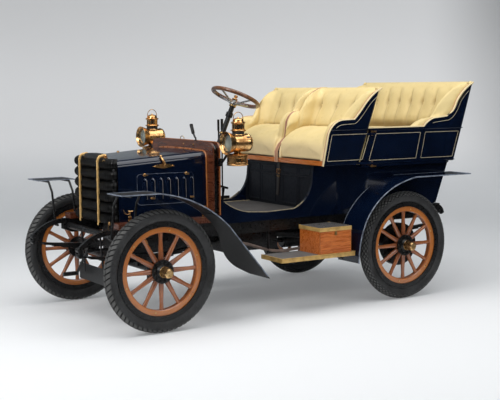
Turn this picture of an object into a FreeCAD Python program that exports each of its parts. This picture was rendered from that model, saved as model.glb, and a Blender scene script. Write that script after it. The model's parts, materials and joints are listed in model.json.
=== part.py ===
"""A brass era tonneau car of about 1903, as a parametric FreeCAD document.

Row frame, millimetres: +X forward, +Y to the car's left, +Z up. The ground is z = 0 and the
origin lies under the middle of the car's overall length. Right-hand drive: the steering wheel
is at negative y. Lengths of the front half are counted from the front axle and those of the
body from the rear axle, so a longer wheelbase only lengthens the footwell.

Every driving dimension is a cell of the sheet named Sizes. A Size below carries a number and
the sheet expression that gives it, so each property and sketch constraint is bound to its cell.
"""
import FreeCAD, Part
import math
import os
import Sketcher

os.makedirs("parts", exist_ok=True)
doc = FreeCAD.newDocument("tonneau_car")
Vector = FreeCAD.Vector
UP = Vector(0, 0, 1)
FORWARD = Vector(1, 0, 0)
LEFT = Vector(0, 1, 0)

# ----------------------------------------------------------------------------------------------
# Driving dimensions: (alias, value in mm or degrees, what it is)
# ----------------------------------------------------------------------------------------------
SHEET_ROWS = [
    ("wheelbase", 2060, "front axle to rear axle"),
    ("track", 1340, "between the wheels' middle planes"),
    ("rear_axle_place", -905, "x of the rear axle"),
    # wheels
    ("tyre_radius", 405, "outer radius of all four tyres, and height of the axles"),
    ("tyre_width", 90, "section of the tyre"),
    ("spoke_count", 12, "spokes of a wheel"),
    ("tyre_seat_radius", 316, "radius where the tyre sits on the steel rim"),
    ("rim_depth", 25, "steel rim, from the felloe to the tyre"),
    ("rim_width", 66, "steel rim along the axle"),
    ("rim_lip", 9, "height of the rim's beaded edges"),
    ("rim_lip_width", 6, "thickness of the rim's beaded edges"),
    ("felloe_depth", 38, "wooden felloe, radially"),
    ("felloe_width", 46, "wooden felloe, along the axle"),
    ("spoke_root_radius", 19, "round spoke at the hub"),
    ("spoke_waist_radius", 12.5, "round spoke near the felloe"),
    ("spoke_foot_radius", 15, "round spoke where it enters the felloe"),
    ("hub_wood_radius", 66, "mitred wooden centre where the spokes meet"),
    ("hub_plate_radius", 78, "iron flange plates that clamp the spokes"),
    ("hub_plate_thickness", 7, "one iron flange plate"),
    ("hub_barrel_radius", 33, "iron hub barrel"),
    ("hub_barrel_inner", 62, "hub barrel, from the wheel's plane inboard"),
    ("hub_barrel_outer", 52, "hub barrel, from the wheel's plane outboard"),
    ("spindle_radius", 18, "axle spindle in the hub"),
    ("running_gap", 0.05, "radial clearance of pins and spindles"),
    ("hub_cap_radius", 34, "six-sided brass hub cap, over its corners"),
    ("hub_cap_nose_radius", 25, "brass hub cap at its nose"),
    ("hub_cap_reach", 120, "from the wheel's plane to the cap's nose"),
    ("drum_radius", 160, "brake drum of a rear wheel"),
    ("drum_width", 55, "brake drum along the axle"),
    # front axle and steering
    ("kingpin_inset", 100, "from the wheel's plane to the kingpin"),
    ("kingpin_radius", 11, "kingpin"),
    ("knuckle_radius", 22, "barrel of the stub axle on its kingpin"),
    ("knuckle_height", 96, "barrel of the stub axle"),
    ("yoke_gap", 1.5, "between barrel and each arm of the axle's yoke"),
    ("yoke_thickness", 22, "one arm of the axle's yoke"),
    ("axle_beam_radius", 25, "round front axle beam"),
    ("steering_arm", 130, "kingpin to track rod pin"),
    ("track_rod_radius", 11, "track rod"),
    ("track_rod_pin_radius", 7, "pin of the track rod"),
    # frame
    ("rail_offset", 395, "middle of a side rail from the car's centre line"),
    ("rail_width", 50, "side rail across"),
    ("rail_height", 100, "side rail, upright"),
    ("rail_front", 225, "front end of the rails, from the front axle"),
    ("rail_rear", -600, "rear end of the rails, from the rear axle"),
    ("iron_width", 27, "forged dumb iron across"),
    ("iron_thickness", 30, "forged dumb iron, upright"),
    ("iron_eye_reach", 448, "eye of the dumb iron, from the front axle"),
    ("cross_tube_radius", 22, "cross members of the frame"),
    # springs
    ("leaf_width", 44, "spring leaves across"),
    ("leaf_thickness", 8, "one spring leaf"),
    ("front_spring_half", 448, "front spring, axle to eye"),
    ("spring_hang", 36, "eye of a spring below the eye or hanger that carries it"),
    ("hanger_drop", 28, "spring hanger below the rail"),
    ("link_thickness", 8, "side links of a spring shackle"),
    ("spring_seat", 4, "pad on an axle under its spring"),
    ("front_leaves", 5, "leaves of a front spring"),
    ("rear_leaves", 5, "leaves of a rear spring"),
    ("rear_spring_half", 560, "rear spring, axle to eye"),
    ("spring_eye_radius", 17, "rolled eye of a spring"),
    # rear axle
    ("axle_tube_radius", 33, "rear axle tube"),
    ("differential_radius", 125, "differential housing"),
    ("differential_width", 190, "differential housing across"),
    # engine and gearbox
    ("engine_length", 520, "engine block along the car"),
    ("engine_width", 300, "engine block across"),
    ("engine_height", 470, "engine block, upright"),
    ("engine_middle", -235, "middle of the engine, from the front axle"),
    ("gearbox_length", 460, "gearbox along the car"),
    ("gearbox_width", 330, "gearbox across"),
    ("gearbox_height", 230, "gearbox, upright"),
    ("gearbox_middle", 1030, "middle of the gearbox, from the rear axle"),
    ("silencer_radius", 62, "silencer drum"),
    ("silencer_length", 400, "silencer drum along the car"),
    ("silencer_offset", -235, "silencer's middle from the centre line"),
    ("silencer_middle", 290, "middle of the silencer, from the rear axle"),
    ("pipe_radius", 19, "exhaust pipe"),
    # bonnet, radiator and dash
    ("bonnet_front", 125, "front edge of the bonnet, from the front axle"),
    ("bonnet_front_inset", 63, "bonnet's side at its front, inboard of the rail's middle"),
    ("bonnet_rear_inset", 23, "bonnet's side at the dash, inboard of the rail's middle"),
    ("bonnet_shoulder", 60, "from the crown down to the top of the straight side"),
    ("bonnet_lean", 12, "how far the bonnet's side leans in, top to bottom"),
    ("panel_front", -4, "front edge of the bonnet's raised side panel, from the front axle"),
    ("panel_length", 428, "raised side panel along the bonnet"),
    ("panel_height", 215, "raised side panel, upright"),
    ("panel_proud", 3, "how far the side panel stands off the bonnet"),
    ("louvre_count", 7, "louvres in one side panel"),
    ("louvre_first", -65, "open edge of the foremost louvre, from the front axle"),
    ("louvre_pitch", 58, "from one louvre to the next"),
    ("louvre_height", 150, "louvre, upright"),
    ("louvre_length", 22, "hood of a louvre along the bonnet"),
    ("louvre_proud", 9, "how far a louvre's hood stands off the panel"),
    ("louvre_metal", 2, "thickness of a louvre's hood"),
    ("sheet_metal", 3, "thickness of bonnet and wings"),
    ("radiator_rows", 6, "gilled tubes, one above another"),
    ("radiator_pitch", 74, "from one gilled tube to the next"),
    ("gill_radius", 36, "outer radius of the gills"),
    ("radiator_front", 190, "front of the gills, from the front axle"),
    ("radiator_inset", 55, "radiator's side, inboard of the rail's middle"),
    ("radiator_bend", 84, "bend of a gilled tube's axis at a corner"),
    ("radiator_gap", 2, "between the radiator and the bonnet's front edge"),
    ("band_offset", 147, "brass band from the centre line"),
    ("band_width", 15, "brass band across"),
    ("band_thickness", 5, "brass band"),
    ("dash_front", -536, "front face of the dash, from the front axle"),
    ("dash_thickness", 64, "both boards and the core between them"),
    ("dash_board", 14, "one board of the dash"),
    ("dash_beyond", 45, "side of the dash, outboard of the rail's middle"),
    ("dash_corner", 45, "rounded upper corners of the dash"),
    ("dash_recess", 16, "how far the core lies behind the boards' edges"),
    ("sill_beyond", 43, "outer edge of the wooden ledge, outboard of the rail's middle"),
    ("sill_within", 53, "inner edge of the wooden ledge, inboard of the rail's middle"),
    ("sill_thickness", 38, "wooden ledge along each rail"),
    # lower body
    ("panel_gap", 1, "between a side rail and the body side"),
    ("body_rear_half", 540, "half the width of the body between the rear wings"),
    ("body_panel", 24, "body side: frame and sheet together"),
    ("ledge", 15, "ledge that carries the tonneau's walls"),
    ("body_waist", 460, "where the sides begin to widen, from the rear axle"),
    ("body_full", 240, "where the sides reach their rear width"),
    ("body_rear_foot", -446, "rear panel at its foot, from the rear axle"),
    ("body_rear_head", -570, "rear panel at its head, from the rear axle"),
    ("heel_board", 668, "front face of the heel board, from the rear axle"),
    ("floor_thickness", 30, "floor boards"),
    # seats
    ("seat_front", 690, "front edge of a seat's sides, from the rear axle"),
    ("seat_back_foot", 353, "back of a front seat at its foot, from the rear axle"),
    ("seat_back_head", 222, "back of a front seat at its top, from the rear axle"),
    ("seat_outer_foot", 600, "outer side of a front seat at its foot"),
    ("seat_outer_head", 682, "outer side of a front seat at its top"),
    ("seat_hinge_place", 285, "pins of the swinging seat, from the rear axle"),
    ("seat_hinge_offset", 648, "pins of the swinging seat, from the centre line"),
    ("seat_pin_radius", 6, "pins of the swinging seat"),
    ("seat_lug", 16, "lugs of the swinging seat, upright"),
    ("hinge_bracket", 11, "brackets that carry the seat's pins, upright"),
    ("hinge_gap", 4, "between a lug and the bracket above it"),
    ("seat_between", 3, "from the centre line to each front seat"),
    ("seat_wall", 20, "wall of a seat's tub"),
    ("seat_corner", 45, "rounded rear corner of a front seat, in plan"),
    ("seat_floor", 16, "bottom board of a seat"),
    ("seat_rail", 36, "wooden rail under the front edge of a seat"),
    ("cushion_front", 680, "front of the front cushions, from the rear axle"),
    ("squab_foot", 130, "thickness of a front squab at the cushion"),
    ("squab_head", 48, "thickness of a front squab at its top"),
    ("squab_side", 38, "upholstery inside a seat's side"),
    ("soft_gap", 0.5, "between upholstery and what it rests against"),
    # tonneau
    ("tonneau_gap", 6, "between the swinging seat and the tonneau"),
    ("tonneau_rear_foot", -587, "back of the tonneau at its foot, from the rear axle"),
    ("tonneau_rear_head", -715, "back of the tonneau at its top, from the rear axle"),
    ("tonneau_outer_head", 665, "outer side of the tonneau at its top"),
    ("tonneau_corner", 120, "rounded rear corner of the tonneau, in plan"),
    ("tonneau_wall", 22, "wall of the tonneau"),
    ("rear_seat_front", -60, "front of the rear cushion, from the rear axle"),
    ("rear_squab", 75, "thickness of the rear upholstery"),
    ("rear_side_squab", 40, "upholstery inside the tonneau's sides"),
    # wings, steps and box
    ("front_wing_inner", 95, "inner edge of a front wing, inboard of the wheel's plane"),
    ("front_wing_outer", 115, "outer edge of a wing, outboard of the wheel's plane"),
    ("stay_radius", 8, "iron stays of the wings"),
    ("step_front", 1160, "front end of a step, from the rear axle"),
    ("step_rear", 119, "rear end of a step, ahead of the rear tyre"),
    ("step_inner", 490, "inner edge of a step"),
    ("step_outer", 752, "outer edge of a step"),
    ("step_board", 28, "thickness of a step"),
    ("box_front", 426, "front of the tool box, ahead of the rear tyre"),
    ("box_length", 277, "tool box along the car"),
    ("box_width", 244, "tool box across"),
    ("box_height", 190, "tool box with its lid"),
    ("box_wall", 12, "wall of the tool box"),
    ("box_lid", 24, "lid of the tool box"),
    # lamps
    ("lamp_offset", 622, "side lamp from the centre line"),
    ("lamp_front", -529, "front ring of a side lamp, from the front axle"),
    ("lamp_radius", 61, "drum of a side lamp"),
    ("lamp_ring_radius", 78, "front ring of a side lamp"),
    ("lamp_length", 194, "side lamp, ring to back"),
    # steering wheel
    ("column_inset", 95, "steering column, inboard of the rail's middle"),
    ("steering_hub_place", -1191, "middle of the steering wheel, from the front axle"),
    ("column_lean", 23.9, "lean of the column from upright, degrees"),
    ("steering_wheel_radius", 184, "middle of the steering wheel's rim"),
    ("steering_rim_radius", 15.5, "section of the steering wheel's rim"),
    ("steering_dish", 33, "hub of the steering wheel below its rim, along the column"),
    ("column_radius", 19, "steering column"),
    ("column_length", 962, "steering column below the rim"),
    # number plate and starting handle
    ("plate_place", 160, "number plate, from the front axle"),
    ("plate_half", 250, "half the width of the number plate"),
    ("plate_height", 115, "number plate, upright"),
    ("plate_thickness", 4, "number plate"),
    ("crank_radius", 11, "shaft of the starting handle"),
    ("crank_throw_side", -180, "grip of the starting handle from its axis, across"),
    ("crank_throw_down", 178, "grip of the starting handle below its axis"),
    ("crank_grip", 110, "grip of the starting handle"),
]

# Heights: (alias, value in mm, the height it is counted from, what it is)
HEIGHT_ROWS = [
    ("wing_top", 112, "tyre_top", "top of the wings"),
    ("iron_eye_height", 140, "tyre_radius", "eye of the dumb iron"),
    ("rail_bottom", 155, "tyre_radius", "underside of the side rails"),
    ("engine_bottom", 35, "tyre_radius", "underside of the crankcase"),
    ("gearbox_bottom", -15, "tyre_radius", "underside of the gearbox"),
    ("silencer_height", -30, "tyre_radius", "silencer's axis"),
    ("bonnet_bottom", 293, "tyre_radius", "lower edge of the bonnet"),
    ("bonnet_front_top", 707, "tyre_radius", "crown of the bonnet at its front"),
    ("bonnet_rear_top", 751, "tyre_radius", "crown of the bonnet at the dash"),
    ("panel_top", 610, "tyre_radius", "upper edge of the bonnet's side panels"),
    ("louvre_top", 575, "tyre_radius", "upper end of the louvres"),
    ("radiator_bottom", 271, "tyre_radius", "lower edge of the lowest gills"),
    ("dash_bottom", 300, "tyre_radius", "lower edge of the dash"),
    ("dash_top", 807, "tyre_radius", "upper edge of the dash"),
    ("body_bottom", 240, "tyre_radius", "lower edge of the body sides"),
    ("footwell_low", 297, "tyre_radius", "lowest point of the footwell's sides"),
    ("footwell_dash", 410, "tyre_radius", "height of the footwell's sides at the dash"),
    ("lamp_axis_height", 810, "tyre_radius", "axis of a side lamp's drum"),
    ("lamp_foot", 658, "tyre_radius", "underside of a side lamp's font"),
    ("lamp_chimney_top", 981, "tyre_radius", "top of a side lamp's chimney"),
    ("steering_hub_height", 1106, "tyre_radius", "middle of the steering wheel"),
    ("plate_bottom", -160, "tyre_radius", "lower edge of the number plate"),
    ("crank_height", 65, "tyre_radius", "axis of the starting handle"),
    ("step_top", 5, "tyre_radius", "top of the steps"),
    ("body_top", 93, "wing_top", "upper edge of the lower body"),
    ("seat_bottom", 6, "body_top", "underside of both front seats"),
    ("seat_hinge_low", 2, "seat_bottom", "lower lug of the swinging seat"),
    ("seat_hinge_high", 215, "seat_bottom", "upper lug of the swinging seat"),
    ("cushion_top", 240, "seat_bottom", "top of the front cushions"),
    ("seat_arm", 341, "seat_bottom", "level part of a seat side, behind its scroll"),
    ("seat_top", 555, "seat_bottom", "top of the front seats' backs"),
    ("rear_cushion_top", 215, "body_top", "top of the rear cushion"),
    ("tonneau_low", 269, "body_top", "top of the tonneau's low sides"),
    ("tonneau_arm", 340, "body_top", "shoulder of the tonneau's scroll"),
    ("tonneau_top", 602, "body_top", "top of the tonneau's back"),
    ("lever_top", 937, "tyre_radius", "top of the longer hand lever"),
    ("pedal_top", 430, "tyre_radius", "top of the pedals"),
    ("pipe_bend", 25, "tyre_radius", "lowest bend of the exhaust pipe"),
]


class Size:
    """A number with the sheet expression that gives it; arithmetic keeps both."""

    def __init__(self, number, text):
        self.number = number
        self.text = text

    def __float__(self):
        return float(self.number)

    def __add__(self, other):
        return joined(self, "+", other, float(self) + float(other))

    def __radd__(self, other):
        return joined(other, "+", self, float(other) + float(self))

    def __sub__(self, other):
        return joined(self, "-", other, float(self) - float(other))

    def __rsub__(self, other):
        return joined(other, "-", self, float(other) - float(self))

    def __mul__(self, other):
        return joined(self, "*", other, float(self) * float(other))

    def __rmul__(self, other):
        return joined(other, "*", self, float(other) * float(self))

    def __truediv__(self, other):
        return joined(self, "/", other, float(self) / float(other))

    def __neg__(self):
        return Size(-self.number, "(-" + self.text + ")")


def expression(value):
    """The text of a Size, or of a plain number."""
    return value.text if isinstance(value, Size) else "(%r)" % float(value)


def joined(first, sign, second, number):
    """The Size that an arithmetic sign makes of two values."""
    return Size(number, "(%s %s %s)" % (expression(first), sign, expression(second)))


class Sizes:
    """One Size for each alias of the sheet."""


def fill_sheet():
    """Write the driving dimensions into the sheet and read them back as Sizes.

    A height's cell holds its distance above the height it is counted from; its Size is the
    sum, so that what stands on something rises with it.
    """
    sheet = doc.addObject("Spreadsheet::Sheet", "Sizes")
    height_rows = [(alias, value, "above %s: %s" % (base, meaning))
                   for alias, value, base, meaning in HEIGHT_ROWS]
    for row, (alias, value, meaning) in enumerate(SHEET_ROWS + height_rows, start=1):
        cell = "B%d" % row
        sheet.set("A%d" % row, alias)
        sheet.set(cell, str(value))
        sheet.set("C%d" % row, meaning)
        sheet.setAlias(cell, alias)
    doc.recompute()
    for alias, _, _ in SHEET_ROWS:
        setattr(Sizes, alias, Size(sheet.get(alias), "Sizes." + alias))
    Sizes.tyre_top = Sizes.tyre_radius * 2
    for alias, _, base, _ in HEIGHT_ROWS:
        above = Size(sheet.get(alias), "Sizes." + alias)
        setattr(Sizes, alias, getattr(Sizes, base) + above)


fill_sheet()
S = Sizes
WHEEL_Y = S.track / 2
AXLE_Z = S.tyre_radius
BODY_HALF = S.rail_offset + S.rail_width / 2 + S.panel_gap + S.body_panel
COLUMN_Y = -(S.rail_offset - S.column_inset)
DASH_HALF = S.rail_offset + S.dash_beyond


def rear(distance):
    """A place counted forward from the rear axle."""
    return S.rear_axle_place + distance


def front(distance):
    """A place counted forward from the front axle."""
    return S.rear_axle_place + S.wheelbase + distance


# ----------------------------------------------------------------------------------------------
# Ways of making pieces
# ----------------------------------------------------------------------------------------------
def bind(item, name, value):
    """Set a property, by expression when the value comes from the sheet."""
    if isinstance(value, Size):
        item.setExpression(name, value.text)
    else:
        setattr(item, name, value)


def place(item, x, y, z, axis=UP, angle=0.0):
    """Put an item at a place, turned about an axis by an angle in degrees."""
    rotation = FreeCAD.Rotation(axis, float(angle))
    item.Placement = FreeCAD.Placement(Vector(float(x), float(y), float(z)), rotation)
    for name, value in (("x", x), ("y", y), ("z", z)):
        if isinstance(value, Size):
            item.setExpression("Placement.Base." + name, value.text)
    return item


def plane_of(body, role):
    """One of a body's own origin planes or axes."""
    return next(item for item in body.Origin.OriginFeatures if item.Role == role)


def draw(sketch, path):
    """Draw a closed outline. A corner is (across, up); (across, up, middle) ends an arc that
    passes through middle. Each corner is held at its place by two bound constraints."""
    count = len(path)
    ends = []
    for step in range(count):
        start = path[step]
        finish = path[(step + 1) % count]
        begin = Vector(float(start[0]), float(start[1]), 0)
        end = Vector(float(finish[0]), float(finish[1]), 0)
        if len(finish) == 3:
            middle = Vector(float(finish[2][0]), float(finish[2][1]), 0)
            circle = Part.Arc(begin, middle, end).toShape().Curve
            centre = circle.Center
            first = math.atan2(begin.y - centre.y, begin.x - centre.x)
            last = math.atan2(end.y - centre.y, end.x - centre.x)
            turning = (middle - begin).cross(end - middle).z
            plain = Part.Circle(centre, UP, circle.Radius)
            if turning > 0:
                ends.append((sketch.addGeometry(Part.ArcOfCircle(plain, first, last)), 1, 2))
            else:
                ends.append((sketch.addGeometry(Part.ArcOfCircle(plain, last, first)), 2, 1))
        else:
            ends.append((sketch.addGeometry(Part.LineSegment(begin, end)), 1, 2))
    for step in range(count):
        edge, begin_point, end_point = ends[step]
        after = ends[(step + 1) % count]
        sketch.addConstraint(Sketcher.Constraint("Coincident", edge, end_point, after[0], after[1]))
        for kind, value in (("DistanceX", path[step][0]), ("DistanceY", path[step][1])):
            held = Sketcher.Constraint(kind, -1, 1, edge, begin_point, float(value))
            number = sketch.addConstraint(held)
            if isinstance(value, Size):
                sketch.setExpression("Constraints[%d]" % number, value.text)


def ring(sketch, across, up, radius):
    """Draw a circle whose middle and radius are bound."""
    centre = Vector(float(across), float(up), 0)
    edge = sketch.addGeometry(Part.Circle(centre, UP, float(radius)))
    held = [("DistanceX", across), ("DistanceY", up)]
    for kind, value in held:
        number = sketch.addConstraint(Sketcher.Constraint(kind, -1, 1, edge, 3, float(value)))
        if isinstance(value, Size):
            sketch.setExpression("Constraints[%d]" % number, value.text)
    number = sketch.addConstraint(Sketcher.Constraint("Radius", edge, float(radius)))
    if isinstance(radius, Size):
        sketch.setExpression("Constraints[%d]" % number, radius.text)


def new_body(name):
    """An empty PartDesign body."""
    return doc.addObject("PartDesign::Body", name)


def new_sketch(body, role):
    """A sketch on one of the body's own origin planes."""
    sketch = body.newObject("Sketcher::SketchObject", body.Name + "_sketch")
    sketch.AttachmentSupport = [(plane_of(body, role), "")]
    sketch.MapMode = "FlatFace"
    return sketch


def add_pad(body, role, paths, depth, holes=(), symmetric=True, backwards=False):
    """Pad one or more outlines, with round holes, on an origin plane of the body."""
    sketch = new_sketch(body, role)
    for path in paths:
        draw(sketch, path)
    for hole in holes:
        ring(sketch, *hole)
    pad = body.newObject("PartDesign::Pad", body.Name + "_pad")
    pad.Profile = sketch
    pad.Midplane = symmetric
    pad.Reversed = backwards
    bind(pad, "Length", depth)
    return pad


def padded(name, role, path, depth, holes=(), symmetric=True, backwards=False):
    """A body that is one pad."""
    body = new_body(name)
    add_pad(body, role, [path], depth, holes, symmetric, backwards)
    return body


TURNS = {"X": ("XY_Plane", "H_Axis"), "Y": ("XY_Plane", "V_Axis"), "Z": ("XZ_Plane", "V_Axis")}


def add_turned(body, axis, path):
    """Revolve an outline about a body axis. About X a corner is (along, radius), about Y and Z
    it is (radius, along)."""
    plane, sketch_axis = TURNS[axis]
    sketch = new_sketch(body, plane)
    draw(sketch, path)
    turned_feature = body.newObject("PartDesign::Revolution", body.Name + "_turned")
    turned_feature.Profile = sketch
    turned_feature.ReferenceAxis = (sketch, [sketch_axis])
    turned_feature.Angle = 360
    return turned_feature


def turned(name, axis, path):
    """A body that is one revolved outline."""
    body = new_body(name)
    add_turned(body, axis, path)
    return body


def block(name, length, width, height, x, y, z):
    """A box with its lowest corner at (x, y, z)."""
    item = doc.addObject("Part::Box", name)
    bind(item, "Length", length)
    bind(item, "Width", width)
    bind(item, "Height", height)
    return place(item, x, y, z)


def rod(name, start, end, radius):
    """A cylinder from one point to another. Its length and radius are bound when they can be."""
    item = doc.addObject("Part::Cylinder", name)
    begin = Vector(*[float(value) for value in start])
    along = Vector(*[float(value) for value in end]) - begin
    bind(item, "Radius", radius)
    item.Height = along.Length
    place(item, *start)
    item.Placement = FreeCAD.Placement(begin, FreeCAD.Rotation(UP, along))
    return item


def ball(name, centre, radius):
    """A sphere, used where two rods meet."""
    item = doc.addObject("Part::Sphere", name)
    bind(item, "Radius", radius)
    return place(item, *centre)


def fused(name, pieces):
    """One solid of several."""
    item = doc.addObject("Part::MultiFuse", name)
    item.Shapes = list(pieces)
    return item


def cut(name, base, tool):
    """One piece less another."""
    item = doc.addObject("Part::Cut", name)
    item.Base = base
    item.Tool = tool
    return item


def common(name, pieces):
    """What several pieces share."""
    item = doc.addObject("Part::MultiCommon", name)
    item.Shapes = list(pieces)
    return item


def gathered(name, pieces):
    """Several solids that don't touch, in one node."""
    item = doc.addObject("Part::Compound", name)
    item.Links = list(pieces)
    return item


def mirrored(name, source):
    """The piece on the other side of the car."""
    item = doc.addObject("Part::Mirroring", name)
    item.Source = source
    item.Normal = LEFT
    item.Base = Vector(0, 0, 0)
    return item


def both_sides(name, source):
    """A node with a piece of the left side and its mirror image on the right."""
    return gathered(name, [source, mirrored(name + "_right", source)])


def shaped(name, shape):
    """A piece whose shape is worked out by Part's own functions."""
    item = doc.addObject("Part::Feature", name)
    item.Shape = shape
    return item


def bent_rod(name, points, radius):
    """A rod through several points, with a ball at each bend."""
    pieces = []
    for step in range(len(points) - 1):
        pieces.append(rod("%s_run_%d" % (name, step), points[step], points[step + 1], radius))
    for step in range(1, len(points) - 1):
        pieces.append(ball("%s_bend_%d" % (name, step), points[step], radius))
    return fused(name, pieces)


NODES = {}


def node(name, item):
    """Name a finished piece. Its Label names its file."""
    item.Label = name
    NODES[name] = item
    return item


# ----------------------------------------------------------------------------------------------
# Wheels
# ----------------------------------------------------------------------------------------------
def wheel_tyre(name):
    """A beaded-edge tyre: flat where it sits on the rim, round outside."""
    seat = S.rim_width / 2 - S.rim_lip_width
    shoulder = S.tyre_seat_radius + S.rim_lip
    belly = S.tyre_radius - S.tyre_width / 2
    half = S.tyre_width / 2
    outline = [
        (S.tyre_seat_radius, -seat),
        (shoulder, -seat),
        (belly, -half, (belly - half * 0.52, -half * 0.86)),
        (belly, half, (S.tyre_radius, 0)),
        (shoulder, seat, (belly - half * 0.52, half * 0.86)),
        (S.tyre_seat_radius, seat),
    ]
    return turned(name, "Y", outline)


def wheel_wood(name):
    """Felloe, mitred centre and round tapered spokes of an artillery wheel."""
    body = new_body(name)
    felloe_outer = S.tyre_seat_radius - S.rim_depth
    felloe_inner = felloe_outer - S.felloe_depth
    half = S.felloe_width / 2
    edge = 6
    add_turned(body, "Y", [
        (felloe_outer, -half),
        (felloe_outer, half),
        (felloe_inner + edge, half),
        (felloe_inner, half - edge),
        (felloe_inner, edge - half),
        (felloe_inner + edge, -half),
    ])
    add_turned(body, "Y", [
        (S.hub_barrel_radius, -half),
        (S.hub_wood_radius, -half),
        (S.hub_wood_radius, half),
        (S.hub_barrel_radius, half),
    ])
    root = S.hub_wood_radius - 8
    waist = felloe_inner - 45
    foot = felloe_inner + 4
    spoke = add_turned(body, "Z", [
        (0, root),
        (S.spoke_root_radius, root),
        (S.spoke_waist_radius, waist),
        (S.spoke_foot_radius, foot),
        (0, foot),
    ])
    pattern = body.newObject("PartDesign::PolarPattern", name + "_spokes")
    pattern.Originals = [spoke]
    pattern.Axis = (plane_of(body, "Y_Axis"), [""])
    pattern.Angle = 360
    bind(pattern, "Occurrences", S.spoke_count)
    body.Tip = pattern
    return body


def wheel_iron(name, braked):
    """Steel rim, flange plates with their barrel and brass cap; a drum on a braked wheel."""
    felloe_outer = S.tyre_seat_radius - S.rim_depth
    half = S.rim_width / 2
    lip = S.tyre_seat_radius + S.rim_lip
    rim = turned(name + "_rim", "Y", [
        (felloe_outer, -half),
        (lip, -half),
        (lip, S.rim_lip_width - half),
        (S.tyre_seat_radius, S.rim_lip_width - half),
        (S.tyre_seat_radius, half - S.rim_lip_width),
        (lip, half - S.rim_lip_width),
        (lip, half),
        (felloe_outer, half),
    ])
    bore = S.spindle_radius + S.running_gap
    wood = S.felloe_width / 2
    plate = wood + S.hub_plate_thickness
    outer = S.hub_barrel_outer
    inner = -S.hub_barrel_inner
    barrel = turned(name + "_barrel", "Y", [
        (bore, inner),
        (S.hub_barrel_radius + 8, inner),
        (S.hub_barrel_radius + 8, -plate),
        (S.hub_plate_radius, -plate),
        (S.hub_plate_radius, -wood),
        (S.hub_barrel_radius, -wood),
        (S.hub_barrel_radius, wood),
        (S.hub_plate_radius, wood),
        (S.hub_plate_radius, plate),
        (S.hub_cap_radius + 5, plate),
        (S.hub_cap_radius + 5, plate + 5),
        (bore, plate + 5),
    ])
    flats = doc.addObject("Part::Prism", name + "_flats")
    flats.Polygon = 6
    bind(flats, "Circumradius", S.hub_cap_radius)
    bind(flats, "Height", S.hub_cap_reach)
    place(flats, 0, 0, 0, FORWARD, -90)
    nose = turned(name + "_nose", "Y", [
        (bore, plate + 4),
        (S.hub_cap_radius, plate + 4),
        (S.hub_cap_radius, S.hub_cap_reach - 9),
        (S.hub_cap_nose_radius, S.hub_cap_reach - 3),
        (S.hub_cap_nose_radius - 3, S.hub_cap_reach),
        (0, S.hub_cap_reach),
        (0, outer),
        (bore, outer),
    ])
    hub = fused(name + "_hub", [barrel, common(name + "_cap", [flats, nose])])
    pieces = [rim, hub]
    if braked:
        pieces.append(turned(name + "_drum", "Y", [
            (S.hub_barrel_radius + 8, -plate - 10),
            (S.drum_radius, -plate - 10),
            (S.drum_radius, -plate - S.drum_width),
            (S.drum_radius - 8, -plate - S.drum_width),
            (S.drum_radius - 8, -plate - 18),
            (S.hub_barrel_radius + 8, -plate - 18),
        ]))
        hub_and_drum = fused(name + "_braked_hub", [hub, pieces.pop()])
        pieces[1] = hub_and_drum
    return gathered(name, pieces)


def build_wheels():
    """Three nodes for each wheel, from masters that stand at the origin."""
    tyre = wheel_tyre("tyre_master")
    wood = wheel_wood("wood_master")
    plain_iron = wheel_iron("plain_iron_master", False)
    braked_iron = wheel_iron("braked_iron_master", True)
    corners = [
        ("front_left", front(0), WHEEL_Y, 0, plain_iron),
        ("front_right", front(0), -WHEEL_Y, 180, plain_iron),
        ("rear_left", rear(0), WHEEL_Y, 0, braked_iron),
        ("rear_right", rear(0), -WHEEL_Y, 180, braked_iron),
    ]
    for corner, x, y, turn, iron in corners:
        for kind, master in (("tyre", tyre), ("wooden_wheel", wood), ("wheel_iron", iron)):
            name = "%s_%s" % (corner, kind)
            copy = gathered(name, [master])
            place(copy, x, y, AXLE_Z, UP, turn)
            node(name, copy)


# ----------------------------------------------------------------------------------------------
# Frame, axles, springs and steering
# ----------------------------------------------------------------------------------------------
RAIL_TOP = S.rail_bottom + S.rail_height
LINK_OFFSET = S.leaf_width / 2 + S.link_thickness / 2
FRONT_EYE_X = front(S.iron_eye_reach)
FRONT_EYE_Z = S.iron_eye_height - S.spring_hang
HANGER_EYE_Z = S.rail_bottom - S.hanger_drop / 2 - S.spring_hang
SPRING_ENDS = [
    (front(-S.front_spring_half), HANGER_EYE_Z),
    (rear(S.rear_spring_half), HANGER_EYE_Z),
    (rear(-S.rear_spring_half), HANGER_EYE_Z),
]


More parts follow.
